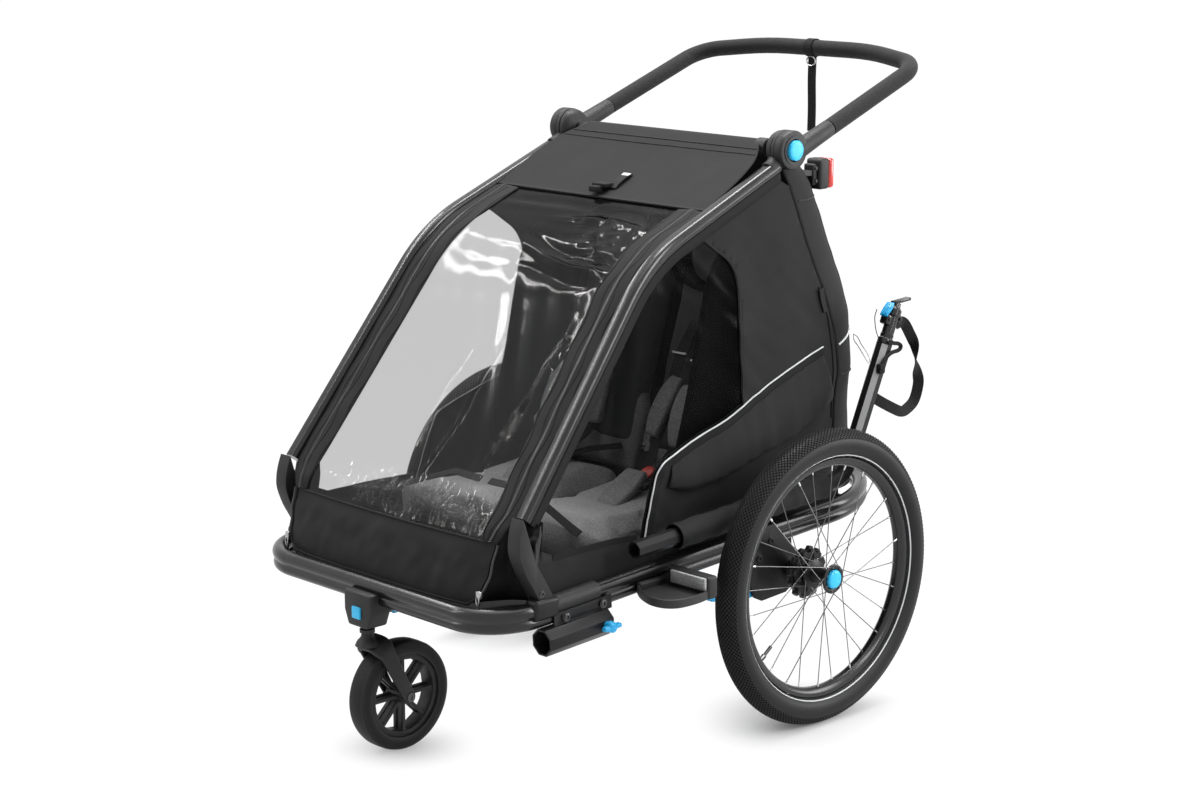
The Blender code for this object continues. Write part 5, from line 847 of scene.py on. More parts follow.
fork = drawn(bmesh.new(), arch, strap_section, flat_of_fork,
             lengthwise=lambda s: 0.60 + 0.40 * min(1.0, 1.25 * sin(pi * s)))
for hand in (1, -1):
    turned(fork, [(hand * a, r) for a, r in ((0.0236, 0.0), (0.0236, 0.0100), (0.0245, 0.0112),
                                             (0.0288, 0.0112),
                                             (0.0300, 0.0102), (0.0300, 0.0))], CASTER, "X", 36)
turned(fork, [(0.1890, 0.0), (0.1890, 0.0205), (0.1965, 0.0170), (0.2010, 0.0125), (0.2040, 0.0105),
              (0.2100, 0.0095),
              (0.2110, 0.0125), (0.2165, 0.0125), (0.2175, 0.0085), (0.2260, 0.0085), (0.2260, 0.0)],
       (0.0, -0.6600, 0.0), "Z", 36)
made = piece("fork_arch", fork, moulded, "caster", sharp=50, replaces=("caster_fork",))
bolts = bmesh.new()
for hand in (1, -1):
    turned(bolts, [(hand * a, r) for a, r in ((0.0295, 0.0), (0.0295, 0.0072), (0.0312, 0.0072),
                                              (0.0318, 0.0064),
                                              (0.0318, 0.0036), (0.0305, 0.0034), (0.0305, 0.0))], CASTER,
           "X", 28)
piece("fork_bolts", bolts, bolt_dark, "caster")

# The rear light, clipped by a screwed bracket to the bar, and the harness buckles with their buttons.
lamp_shell = block(bmesh.new(), (0.1990, 0.1600, 0.8735), (0.2330, 0.1850, 0.9265), 0.0055, 4)
block(lamp_shell, (0.2030, 0.1500, 0.8820), (0.2260, 0.1610, 0.9180), 0.0030, 3)
for place in ((0.2262, 0.1560, 0.9110), (0.2262, 0.1560, 0.8890)):
    rod(lamp_shell, Vector(place), Vector(place) + Vector((0.0024, 0.0, 0.0)), 0.0030, 12)
arm_path = flowing([(0.2140, 0.0480, 0.9500), (0.2140, 0.0760, 0.9330), (0.2140, 0.1180, 0.9080),
                    (0.2140, 0.1540, 0.9020)], 5)
drawn(lamp_shell, arm_path, [(0.0045, -0.0090), (0.0045, 0.0090), (-0.0045, 0.0090), (-0.0045, -0.0090)],
      (0.0, 0.4, 1.0))
turned(lamp_shell, [(0.2030, 0.0102), (0.2030, 0.0150), (0.2040, 0.0160), (0.2240, 0.0160),
                    (0.2250, 0.0150), (0.2250, 0.0102)],
       (0.0, 0.0380, 0.9550), "X", 36)
made = piece("lamp_shell", lamp_shell, moulded, "hoops", replaces=("rear_light",))
lens_block = block(bmesh.new(), (0.1995, 0.1845, 0.8745), (0.2325, 0.1980, 0.9255), 0.0050, 4)
made = piece("lamp_lens", lens_block, clear_red, "hoops", replaces=("light_lens",))
SEAT_X = 0.119
for hand, side in SIDES:
    shell = bmesh.new()
    turned(shell, [(-0.1740, 0.0), (-0.1740, 0.0175), (-0.1720, 0.0190), (-0.1600, 0.0190),
                   (-0.1585, 0.0175), (-0.1585, 0.0)],
           (hand * SEAT_X, 0.0, 0.4150), "Y", 36)
    block(shell, (hand * SEAT_X - 0.0150, -0.1720, 0.3800), (hand * SEAT_X + 0.0150, -0.1610, 0.4060),
          0.0030, 3)
    tilt = Matrix.Translation((0.0, -0.165, 0.415)) @ Matrix.Rotation(radians(-52), 4,
            "X") @ Matrix.Translation((0.0, 0.165, -0.415))
    tilt = Matrix.Translation((0.0, 0.0300, -0.0165)) @ tilt
    bmesh.ops.transform(shell, matrix=tilt, verts=shell.verts)
    made = piece("buckle_shell_" + side, shell, moulded, "chassis", replaces=("harness_buckle_" + side,))
    push = turned(bmesh.new(), [(-0.1800, 0.0), (-0.1798, 0.0090), (-0.1785, 0.0125), (-0.1760, 0.0138),
                                (-0.1700, 0.0138), (-0.1700, 0.0)],
                  (hand * SEAT_X, 0.0, 0.4150), "Y", 36)
    bmesh.ops.transform(push, matrix=tilt, verts=push.verts)
    made = piece("buckle_push_" + side, push, button_red, "harness_button_" + side,
                 replaces=("buckle_button_" + side,))

# The hoops: a round tube with a flat channel along its cabin side that the cloth's edge slides into,
# bent once at the shoulder. Black anodised. They lean out a little towards their feet.
HOOP_SHOULDER = (-0.2950, 0.8030)
HOOP_TOP_X, HOOP_LEAN = 0.2700, 0.0550
LEG_END = (-0.58254, 0.43629)
TOP_END = (0.00950, 0.92910)
FLANGE_REACH, HOOP_BEND = 0.0300, 0.30
HINGE = (0.0380, 0.9550)


def hoop_x(height):
    return HOOP_TOP_X + HOOP_LEAN * (HOOP_SHOULDER[1] - height)


hoop_line = bent_line([(0, *LEG_END), (0, *HOOP_SHOULDER), (0, *TOP_END)], [HOOP_BEND], radians(2))
hoop_tube = [(0.0125 * cos(a), 0.0125 * sin(a)) for a in np.radians(np.linspace(-240, -128, 14))]
hoop_tube += [(-0.0062, -0.0102), (0.0062, -0.0102)]
hoop_tube += [(0.0125 * cos(a), 0.0125 * sin(a)) for a in np.radians(np.linspace(-52, 60, 16))]
channel = [
    (0.0068, 0.0112), (0.0058, 0.0200), (0.0020, 0.0292), (0.0, FLANGE_REACH), (-0.0052, FLANGE_REACH),
    (-0.0062, 0.0292), (-0.0060, 0.0140),
]
hoop_section = hoop_tube + channel
for hand, side in SIDES:
    bm = drawn(bmesh.new(), hoop_line, hoop_section, (1.0, 0.0, 0.0))
    lean = Matrix.Identity(4)
    lean[0][2] = -HOOP_LEAN
    lean[0][3] = HOOP_TOP_X + HOOP_LEAN * HOOP_SHOULDER[1]
    bmesh.ops.transform(bm, matrix=lean, verts=bm.verts)
    made = piece("hoop_tube_" + side, flipped(bm, hand), anodised, "hoops", replaces=("hoop_" + side,))
channel_dark = finish("channel_dark", (0.0120, 0.0120, 0.0122), (0.0160, 0.0160, 0.0162), 0.70, 0.0, 0.12)
leaning_line = [Vector((hoop_x(p.z), p.y, p.z)) for p in hoop_line]
for hand, side in SIDES:
    lane_section = [(0.0086, 0.0102), (0.0076, 0.0200), (0.0036, 0.0300), (-0.0010, 0.0330),
                    (-0.0024, 0.0328),
                    (0.0022, 0.0294), (0.0060, 0.0198), (0.0070, 0.0102)]
    lane = drawn(bmesh.new(), leaning_line, lane_section, (1.0, 0.0, 0.0))
    piece("hoop_lane_" + side, flipped(lane, hand), channel_dark, "hoops")
bar = [Vector((-0.2357, *HINGE)), Vector((0.2357, *HINGE))]
made = piece("roof_bar", drawn(bmesh.new(), bar, round_section(0.0100, 28), (0, 0, 1)), anodised, "hoops",
             replaces=("roof_tube",))

# The handlebar: a bent aluminium bow in two moulded sockets, with one long foam grip over it.
# It turns in the round hinges at the tops of the hoops.
foam = finish("grip_foam", (0.013, 0.013, 0.013), (0.023, 0.023, 0.023), 0.85, 0.0, 0.22, patch=60.0,
              grain=0.55,
              grain_size=620.0, sheen=0.05)
HANDLE_ANGLE = radians(21.0)
HANDLE_REACH = 0.4165
GRIP_RADIUS, ARM_X = 0.0146, 0.2665
rise = Vector((0.0, cos(HANDLE_ANGLE), sin(HANDLE_ANGLE)))
handle_root = Vector((0.0, HINGE[0], HINGE[1] - 0.0110))
half_bow = [
    Vector((ARM_X, 0, 0)) + rise * 0.0335, Vector((ARM_X, 0, 0)) + rise * 0.095,
    Vector((0.2620, 0, 0)) + rise * (HANDLE_REACH - 0.050),
    Vector((0.1250, 0, 0)) + rise * (HANDLE_REACH - 0.009),
    rise * HANDLE_REACH,
]
bow_corners = [handle_root + p for p in half_bow[:-1]
               + [Vector((-p.x, p.y, p.z)) for p in reversed(half_bow[:-1])]]
bow_line = bent_line(bow_corners, [0.15, 0.06, 0.35, 0.35, 0.06, 0.15], radians(4))
bow_normal = Vector((0.0, -rise.z, rise.y))


def cut_short(line, cut):
    """A line with the length called cut taken off each of its ends."""
    for _ in range(2):
        left = cut
        while (line[1] - line[0]).length < left:
            left -= (line[1] - line[0]).length
            line = line[1:]
        line = [line[0] + (line[1] - line[0]).normalized() * left] + line[1:]
        line = list(reversed(line))
    return line


grip_line = cut_short(bow_line, 0.0780)
made = piece("foam_grip", drawn(bmesh.new(), grip_line, round_section(GRIP_RADIUS, 28), bow_normal), foam,
             "handle",
             replaces=("handle_grip",))
bow = drawn(bmesh.new(), cut_short(bow_line, 0.060), round_section(0.0105, 24), bow_normal)
RING_RADIUS = 0.0330
for hand in (1, -1):
    turned(bow, [(hand * a, r) for a, r in (
        (0.2562, 0.0225), (0.2562, 0.0312), (0.2575, RING_RADIUS), (0.2625, RING_RADIUS), (0.2632, 0.0324),
        (0.2640, RING_RADIUS), (0.2785, RING_RADIUS), (0.2806, 0.0318), (0.2812, 0.0302), (0.2806, 0.0225))],
           (0.0, *HINGE), "X", 72)
    arm = [handle_root + Vector((hand * x, 0, 0)) + rise * a for a, x in (
        (0.000, 0.2672), (0.016, 0.2672), (0.030, 0.2670), (0.046, 0.2668), (0.070, 0.2665),
        (0.1090, 0.2660), (0.1105, 0.2660))]
    socket = [(GRIP_RADIUS * sin(t), 0.0142 * cos(t)) for t in np.linspace(0, 2 * pi, 32, endpoint=False)]
    drawn(bow, arm, socket, bow_normal, lengthwise=lambda s: 1.22 - 0.24 * s if s < 0.95 else 0.97)
    screw = handle_root + Vector((hand * 0.2668, 0, 0)) + rise * 0.078 + bow_normal * 0.0120
    rod(bow, screw, screw + bow_normal * 0.0030, 0.0040, 14)
made = piece("bow_tube", bow, moulded, "handle", replaces=("handlebar",))
for hand, side in SIDES:
    barrel = turned(bmesh.new(), [
        (0.2362, 0.0), (0.2362, 0.0150), (0.2375, 0.0165), (0.2390, 0.0225), (0.2410, 0.0262),
        (0.2440, 0.0292),
        (0.2480, 0.0312), (0.2530, 0.0322), (0.2552, 0.0316), (0.2558, 0.0300), (0.2558, 0.0215),
        (0.2804, 0.0215),
        (0.2812, 0.0235), (0.2822, 0.0240), (0.2822, 0.0190), (0.2772, 0.0185), (0.2772, 0.0)],
                    (0.0, *HINGE), "X", 72)
    top = Vector((hoop_x(TOP_END[1]) - 0.002, *TOP_END))
    below = Vector((0.0, -0.924, -0.383))
    neck_path = [top + below * 0.0160, top + below * 0.0150, top + below * 0.002,
                 Vector((0.2560, HINGE[0] - 0.012, HINGE[1] - 0.012))]
    drawn(barrel, neck_path, round_section(GRIP_RADIUS, 28), (1.0, 0.0, 0.0),
          lengthwise=lambda s: 0.94 if s < 0.001 else 1.0)
    made = piece("hinge_barrel_" + side, flipped(barrel, hand), moulded, "hoops", sharp=45,
                 replaces=("hinge_housing_" + side,))
    knob = turned(bmesh.new(), [(0.2802, 0.0), (0.2802, 0.0168), (0.2858, 0.0168), (0.2870, 0.0160),
                                (0.2876, 0.0146),
                                (0.2878, 0.0100), (0.2878, 0.0)], (0.0, *HINGE), "X", 48)
    made = piece("hinge_push_" + side, flipped(knob, hand), cap_blue, "handle_button_" + side,
                 replaces=("hinge_button_" + side,))

# The cloth body: dark coated polyester, cut in flat panels and stretched between the hoops and the
# rails, with sewn borders, white piping, coil zips and clear film windows set in the front and sides.
fabric = finish("coated_polyester", (0.0090, 0.0090, 0.0092), (0.0235, 0.0235, 0.0240), 0.72, 0.0, 0.15,
                patch=14.0, grain=0.10, grain_size=240.0)
trim_cloth = finish("trim_cloth", (0.0060, 0.0060, 0.0062), (0.0100, 0.0100, 0.0102), 0.60, 0.0, 0.16,
                    grain=0.06, grain_size=260.0)
seam_grey = finish("seam_thread", (0.026, 0.026, 0.027), (0.040, 0.040, 0.041), 0.70, 0.0, 0.15)
lining_black = finish("lining_black", (0.0030, 0.0030, 0.0031), (0.0050, 0.0050, 0.0051), 0.80, 0.0, 0.05)
piping_white = finish("piping_white", (0.56, 0.57, 0.58), (0.70, 0.71, 0.72), 0.40, 0.0, 0.5, grain=0.15)
pull_steel = finish("pull_steel", (0.34, 0.34, 0.34), (0.46, 0.46, 0.46), 0.25, 1.0)
zip_coil = finish("zip_coil", (0.014, 0.014, 0.014), (0.024, 0.024, 0.024), 0.34, 0.0, 0.5)
front_film = finish("front_film", (0.010, 0.010, 0.010), (0.030, 0.030, 0.030), 0.10, 0.0, 1.0, patch=9.0,
                    alpha=0.22)
side_film = finish("side_film", (0.003, 0.003, 0.003), (0.006, 0.006, 0.006), 0.16, 0.0, 0.06, patch=9.0,
                   alpha=0.34)


def folding(made):
    """Gives a cloth piece its own copy of its mesh."""
    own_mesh(made)
    return made


def at_share(line, share):
    """The point at a share of a line's length."""
    lengths = np.cumsum([0.0] + [(b - a).length for a, b in zip(line, line[1:])])
    return Vector([float(np.interp(share * lengths[-1], lengths, [p[i] for p in line])) for i in range(3)])


def beside(line, offset):
    """A line in the YZ plane moved towards the cabin."""
    moved = []
    for i, point in enumerate(line):
        along = (line[min(i + 1, len(line) - 1)] - line[max(i - 1, 0)]).normalized()
        moved.append(point + Vector((0.0, along.z, -along.y)) * offset)
    return moved


def cloth_grid(across, along, place):
    """A net of squares, each corner put where place(u, v) says: u from -1 to 1, v from 0 to 1."""
    bm = bmesh.new()
    bmesh.ops.create_grid(bm, x_segments=across, y_segments=along, size=1.0)
    for vert in bm.verts:
        vert.co = place(vert.co.x, (vert.co.y + 1) / 2)
    return bm


def cut_panel(outline, holes=(), step=0.016):
    """A flat panel with holes in the YZ plane, cut into a fine net so that it can be shaped."""
    bm = bmesh.new()
    edges = []
    for loop in (outline, *holes):
        verts = [bm.verts.new((0.0, p[0], p[1])) for p in loop]
        edges += [bm.edges.new((verts[i - 1], verts[i])) for i in range(len(verts))]
    bmesh.ops.triangle_fill(bm, edges=edges, use_beauty=True, use_dissolve=False, normal=(1.0, 0.0, 0.0))
    for axis in (1, 2):
        spots = [p[axis - 1] for p in outline]
        for level in np.arange(min(spots) + step, max(spots), step):
            plane = [0.0, 0.0, 0.0]
            plane[axis] = float(level)
            across = [0.0, 0.0, 0.0]
            across[axis] = 1.0
            bmesh.ops.bisect_plane(
                bm, geom=bm.verts[:] + bm.edges[:] + bm.faces[:], plane_co=plane, plane_no=across,
                dist=0.00001
            )
    return bm


def crease(a, b, pitch, height, seed=0.0):
    """The height of soft creases at a place, from smooth noise."""
    return height * noise.noise(Vector((a / pitch[0], b / pitch[1], seed)))


def read_off(pairs, at):
    """The second value of rising pairs, read off between them at a first value."""
    return float(np.interp(at, [p[0] for p in pairs], [p[1] for p in pairs]))


def smooth_places(points, per=6):
    return [(p.y, p.z) for p in flowing([(0.0, *q) for q in points], per)]


def rail_level(y):
    """The height of the rail's middle, which drops towards the front."""
    return WHEEL_RADIUS + y * sin(NOSE_DOWN) + (BASE_LEVEL - WHEEL_RADIUS) * cos(NOSE_DOWN)


def rail_inner(y):
    behind = max(0.0, y - (BASE_REAR - REAR_BEND))
    return BASE_HALF_WIDTH - REAR_BEND + sqrt(max(0.0, REAR_BEND**2 - behind**2)) - TUBE_RADIUS


def side_x(y, z):
    top = hoop_x(TOP_END[1]) - 0.0063
    low = rail_inner(max(y, 0.0)) - 0.0006
    share = bounded((z - 0.310) / (TOP_END[1] - 0.310))
    return low + (top - low) * share


SIDE_EDGE = [(0.056, 0.890), (0.096, 0.790), (0.136, 0.700), (0.164, 0.620), (0.172, 0.560),
             (0.170, 0.480), (0.166, 0.352)]
PIPED = [(0.126, 0.611), (0.047, 0.585), (-0.033, 0.553), (-0.111, 0.521), (-0.187, 0.499), (-0.246, 0.479),
         (-0.272, 0.466), (-0.286, 0.440), (-0.300, 0.402), (-0.316, 0.352)]
WINDOW_BACK = [(-0.071, 0.538), (-0.072, 0.580), (-0.074, 0.651), (-0.075, 0.700), (-0.077, 0.728),
               (-0.084, 0.757),
               (-0.100, 0.781), (-0.128, 0.801), (-0.160, 0.8225)]
WINDOW_LOW = [(-0.330, 0.367), (-0.414, 0.3695), (-0.480, 0.3685), (-0.515, 0.3680), (-0.541, 0.379),
              (-0.556, 0.394)]


def side_surface(y, z):
    """How far out the side cloth lies: stretched flat, with soft creases, and sunk under the pocket band."""
    edge = bounded((0.90 - z) / 0.1) * bounded((z - rail_level(y)) / 0.03)
    x = side_x(y, z) - 0.0050 * edge * sin(pi * bounded((z - 0.31) / 0.55))
    x += 0.0085 * bounded((y + 0.02) / 0.14) * exp(-((z - 0.66) / 0.13) ** 2)
    x += edge * (crease(y, z, (0.07, 0.16), 0.0022) + crease(y + z, z - y, (0.030, 0.12), 0.0017, 3.0))
    piped = read_off(PIPED[::-1], y)
    if y > -0.29 and z < piped:
        drop = (piped - z) / 0.10
        x -= 0.0060 * min(1.0, max(0.0, drop - 0.5) * 2.0)
    return x


hoop_flat = [Vector((0.0, p.y, p.z)) for p in hoop_line]
window_edge = [p for p in beside(hoop_flat, 0.0335) if -0.560 < p.y < -0.172]
side_outline = [(p.y, p.z) for p in beside(hoop_flat, 0.0215)]
side_outline += smooth_places(SIDE_EDGE, 5)
side_outline += [(float(y), rail_level(float(y)) - 0.004) for y in np.linspace(0.160, -0.560, 40)]
window_hole = [(p.y, p.z) for p in window_edge]
window_hole += list(reversed(smooth_places(WINDOW_BACK, 5)))
pocket_start = [p for p in PIPED if p[0] < -0.080]
window_hole += smooth_places([(-0.071, 0.538)] + pocket_start, 5)[1:]
window_hole += WINDOW_LOW


def widened(loop, by):
    """A loop in the YZ plane made larger all round."""
    bm = bmesh.new()
    verts = [bm.verts.new((0.0, *p)) for p in loop]
    face = bm.faces.new(verts)
    bm.normal_update()
    flip = 1.0 if face.normal.x > 0 else -1.0
    out = []
    for i, vert in enumerate(verts):
        along = (verts[(i + 1) % len(verts)].co - verts[i - 1].co).normalized()
        out.append((vert.co.y + along.z * by * flip, vert.co.z - along.y * by * flip))
    bm.free()
    return out


def line_on_side(points, lift, per=6):
    """A line over the side cloth, standing out from it by lift."""
    return [Vector((side_surface(y, z) + lift, y, z)) for y, z in smooth_places(points, per)]


def ribbon(bm, path, width, thick, normal):
    """A flat band along a path."""
    half, edge = width / 2, thick / 2
    return drawn(bm, path, [(edge, -half), (edge, half), (-edge, half), (-edge, -half)], normal)


for hand, side in SIDES:
    bm = cut_panel(side_outline, [window_hole], 0.014)
    for vert in bm.verts:
        vert.co.x = side_surface(vert.co.y, vert.co.z)
    made = piece("side_cloth_" + side, flipped(bm, hand), fabric, "chassis", thick=0.0012,
                 replaces=("side_fabric_" + side,))
    folding(made)
    bm = cut_panel(widened(window_hole, 0.006), (), 0.016)
    for vert in bm.verts:
        vert.co.x = side_surface(vert.co.y, vert.co.z) - 0.0016
    made = piece("side_window_" + side, flipped(bm, hand), side_film, "chassis")
    folding(made)
    bm = bmesh.new()
    drawn(bm, line_on_side(PIPED, 0.0022), round_section(0.0014, 10), (1.0, 0.0, 0.0))
    folding(piece("side_piping_" + side, flipped(bm, hand), piping_white, "chassis"))
    bm = bmesh.new()
    below = [(y + 0.002, z - 0.0085) if y > -0.26 else (y + 0.0090, z - 0.003) for y, z in PIPED]
    ribbon(bm, line_on_side(below, 0.0012), 0.0135, 0.0012, (1.0, 0.0, 0.0))
    ribbon(bm, line_on_side([(y + 0.004, z + 0.001) for y, z in WINDOW_BACK], 0.0009), 0.0045, 0.0010,
           (1.0, 0.0, 0.0))
    ribbon(bm, line_on_side([(y, z - 0.005) for y, z in WINDOW_LOW[:-2]], 0.0009), 0.0100, 0.0010,
           (1.0, 0.0, 0.0))
    window_rim = [at_share(window_edge, s) for s in np.linspace(0.04, 1.0, 40)]
    drawn(bm, [Vector((side_surface(p.y, p.z) + 0.0006, p.y, p.z)) for p in window_rim],
          round_section(0.0013, 8), (1.0, 0.0, 0.0))
    inside = line_on_side([(y + 0.001, z - 0.004) for y, z in PIPED], -0.0030)
    ribbon(bm, inside, 0.0150, 0.0010, (1.0, 0.0, 0.0))
    folding(piece("side_binding_" + side, flipped(bm, hand), trim_cloth, "chassis"))
    low_edge = [(0.150, 0.520), (0.090, 0.493), (0.029, 0.465), (-0.046, 0.448), (-0.095, 0.436),
                (-0.160, 0.424),
                (-0.215, 0.421), (-0.258, 0.432)]
    band_top = [(y + 0.002, z - 0.015) for y, z in PIPED[:6]]
    band = smooth_places(band_top, 5) + smooth_places(list(reversed(low_edge)), 5)
    bm = cut_panel(band, (), 0.010)
    for vert in bm.verts:
        y, z = vert.co.y, vert.co.z
        top, low = read_off(band_top[::-1], y), read_off(low_edge[::-1], y)
        drop = bounded((top - z) / max(0.01, top - low))
        ends = bounded((y + 0.262) / 0.05) ** 0.5 * bounded((0.155 - y) / 0.04) ** 0.5
        swell = 0.0015 + 0.0150 * ends * sin(drop * pi * 0.62) ** 1.3
        vert.co.x = side_surface(y, top) + swell + crease(y, z, (0.045, 0.10), 0.0030 * drop * ends, 5.0)
    made = piece("side_pocket_" + side, flipped(bm, hand), fabric, "chassis", thick=0.0030)
    folding(made)

# The roof: one panel from the bar between the hinges to the window's top seam, hemmed at the back,
# with a short buckle strap and a bare label sewn on in the middle.
ROOF_FRONT = HINGE[0] - 0.1860
hoop_level = read_off([(p.y, p.z) for p in hoop_line], ROOF_FRONT)
bar_top = HINGE[1] + 0.0100
ROOF_FREE = 0.72
roof_profile = []
seam_level = hoop_level + 0.0030
for share, half in ((0.0, 0.2540), (0.2, 0.2530), (0.4, 0.2520), (0.6, 0.2480), (0.76, 0.2380),
                    (0.88, 0.2230), (0.96, 0.2110)):
    roof_profile.append((ROOF_FRONT + 0.002 + 0.182 * share,
                         seam_level + (bar_top + 0.0028 - seam_level) * share, half))
roof_profile += [
    (HINGE[0] + 0.0010, bar_top + 0.0032, 0.2080),
    (HINGE[0] + 0.0100, bar_top - 0.0020, 0.2080), (HINGE[0] + 0.0128, bar_top - 0.0100, 0.2080),
    (HINGE[0] + 0.0100, bar_top - 0.0200, 0.2080),
]
roof_line = flowing(roof_profile, 4)


def roof_place(u, v):
    point = at_share([Vector(p) for p in roof_line], v)
    y, z, half = point.x, point.y, point.z
    free = sin(pi * (v / ROOF_FREE)) if v < ROOF_FREE else 0.0
    z -= 0.0030 * (1 - u * u) * free
    z += free * (crease(u * 0.25, v * 0.2, (0.030, 0.11), 0.0018, 1.0)
                 + crease(u * 0.25 + v * 0.1, v * 0.2, (0.09, 0.09), 0.0018, 7.0))
    return Vector((half * u, y, z))


made = piece("roof_cloth", cloth_grid(70, 44, roof_place), fabric, "hoops", thick=0.0014,
             replaces=("roof_panel",))
seams = bmesh.new()
for share, wide in ((0.015, 0.0075), (0.735, 0.0030), (0.66, 0.0022)):
    line = [roof_place(float(u), share) + Vector((0.0, -0.0003, 0.0012))
            for u in np.linspace(-0.985, 0.985, 40)]
    ribbon(seams, line, wide, 0.0008, (0.0, -0.3, 1.0))
piece("roof_seams", seams, fabric, "hoops")
tab = bmesh.new()
roof_at = [roof_place(0.04, s) for s in (0.30, 0.24, 0.17, 0.11)]
path = [p + Vector((0.0, 0.0, 0.0030 + 0.004 * sin(i))) for i, p in enumerate(roof_at)]
ribbon(tab, flowing(path, 5), 0.0200, 0.0016, (0.0, -0.3, 1.0))
buckle_at = roof_place(-0.03, 0.10) + Vector((0.0, 0.0, 0.008))
block(tab, buckle_at - Vector((0.016, 0.012, 0.004)), buckle_at + Vector((0.016, 0.012, 0.004)), 0.002)
block(tab, buckle_at - Vector((0.010, 0.026, 0.010)), buckle_at + Vector((0.010, -0.010, 0.000)), 0.002)
piece("roof_tab", tab, trim_cloth, "hoops")
label = bmesh.new()
label_at = [roof_place(0.04, s) + Vector((0.0, 0.0, 0.0062)) for s in (0.285, 0.25, 0.215)]
ribbon(label, label_at, 0.0170, 0.0008, (0.0, -0.3, 1.0))
piece("roof_label", label, piping_white, "hoops")

# The front: a clear film window with broad cloth borders and a zip down each side, over a cloth
# panel sewn to the front tube. The film is soft vinyl, rippled where it has been folded.
PANEL_HEAD_Y = -0.6020
front_profile = [Vector((0.0, PANEL_HEAD_Y, 0.3965)), Vector((0.0, -0.5955, 0.4150))]
front_profile += [Vector((0.0, p.y, p.z)) for p in hoop_line if 0.44 < p.z and p.y < ROOF_FRONT - 0.004]
front_profile += [Vector((0.0, ROOF_FRONT, hoop_level))]
FILM_EDGE = [(0.392, 0.2270), (0.440, 0.2240), (0.530, 0.2170), (0.679, 0.2060), (0.732, 0.2020),
             (0.818, 0.1990), (0.860, 0.1990)]


def film_half(z):
    return read_off(FILM_EDGE, z)


def front_point(share, x, lift=0.0):
    """A place on the front cloth: share of its length from the foot, x across, lift out of it."""
    at = at_share(front_profile, share)
    ahead = (at_share(front_profile, min(1.0, share + 0.01))
             - at_share(front_profile, max(0.0, share - 0.01)))
    out = Vector((0.0, -ahead.z, ahead.y)).normalized()
    low = bounded((0.46 - at.z) / 0.06)
    bow = 0.010 * ((x / 0.2535) ** 2 - 1) * low
    return Vector((x, at.y + bow, at.z)) + out * lift


def film_place(u, v):
    z = at_share(front_profile, v).z
    x = film_half(z) * u
    held = (1 - abs(u) ** 6) * min(1.0, v / 0.04) * min(1.0, (1 - v) / 0.03)
    lift = -0.0060 * (1 - u * u) * sin(pi * v)
    calm = 1.0 - 0.85 * bounded((0.10 - u) / 0.30) * bounded((v - 0.16) / 0.10)
    lift += crease(x + v * 0.35, v * 0.5, (0.030, 0.30), 0.0012 * calm, 2.0)
    lift += crease(x * 0.6 - v * 0.2, v, (0.10, 0.045), 0.0050 * max(0.0, v - 0.52) * 2.2, 4.0)
    for at, tilt, wide, high in ((0.905, -0.020, 0.016, 0.0040), (0.800, -0.060, 0.014, -0.0060),
                                 (0.755, -0.050, 0.011, 0.0070),
                                 (0.700, -0.020, 0.014, -0.0040), (0.050, 0.004, 0.012, 0.0030)):
        reach = v - at - tilt * u - 0.010 * sin(5 * u + at * 20)
        lift += high * calm * (1 + 0.9 * max(0.0, u)) * exp(-(reach / wide) ** 2)
    crumple = 1 - 2 * abs(noise.noise(Vector((x / 0.045 + 3.0, v / 0.045, 9.0))))
    lift += 0.0034 * crumple * exp(-((v - 0.80) / 0.11) ** 2) * bounded(u * 1.7)
    for at, slant, low, high, tall in ((0.020, 0.050, 0.10, 0.52, 0.0034),
                                       (-0.030, 0.035, 0.16, 0.48, -0.0024),
                                       (0.130, 0.080, 0.06, 0.42, 0.0030),
                                       (0.160, 0.030, 0.20, 0.60, -0.0022)):
        reach = x - at - slant * v - 0.004 * sin(22 * v + at * 90)
        lift += calm * tall * exp(-(reach / 0.0048) ** 2) * max(0.0,
                min(1.0, (v - low) / 0.06, (high - v) / 0.10))
    small = 1 - 2 * abs(noise.noise(Vector((x / 0.014, v / 0.075, 9.0))))
    lift += 0.0030 * small * exp(-(v / 0.085) ** 2)
    lift += 0.0026 * (1 - 2 * abs(noise.noise(Vector((x / 0.020, v / 0.045, 11.0))))) * max(0.0,
            abs(u) - 0.72) * 2.6 * calm
    return front_point(v, x, lift * held + 0.0005)


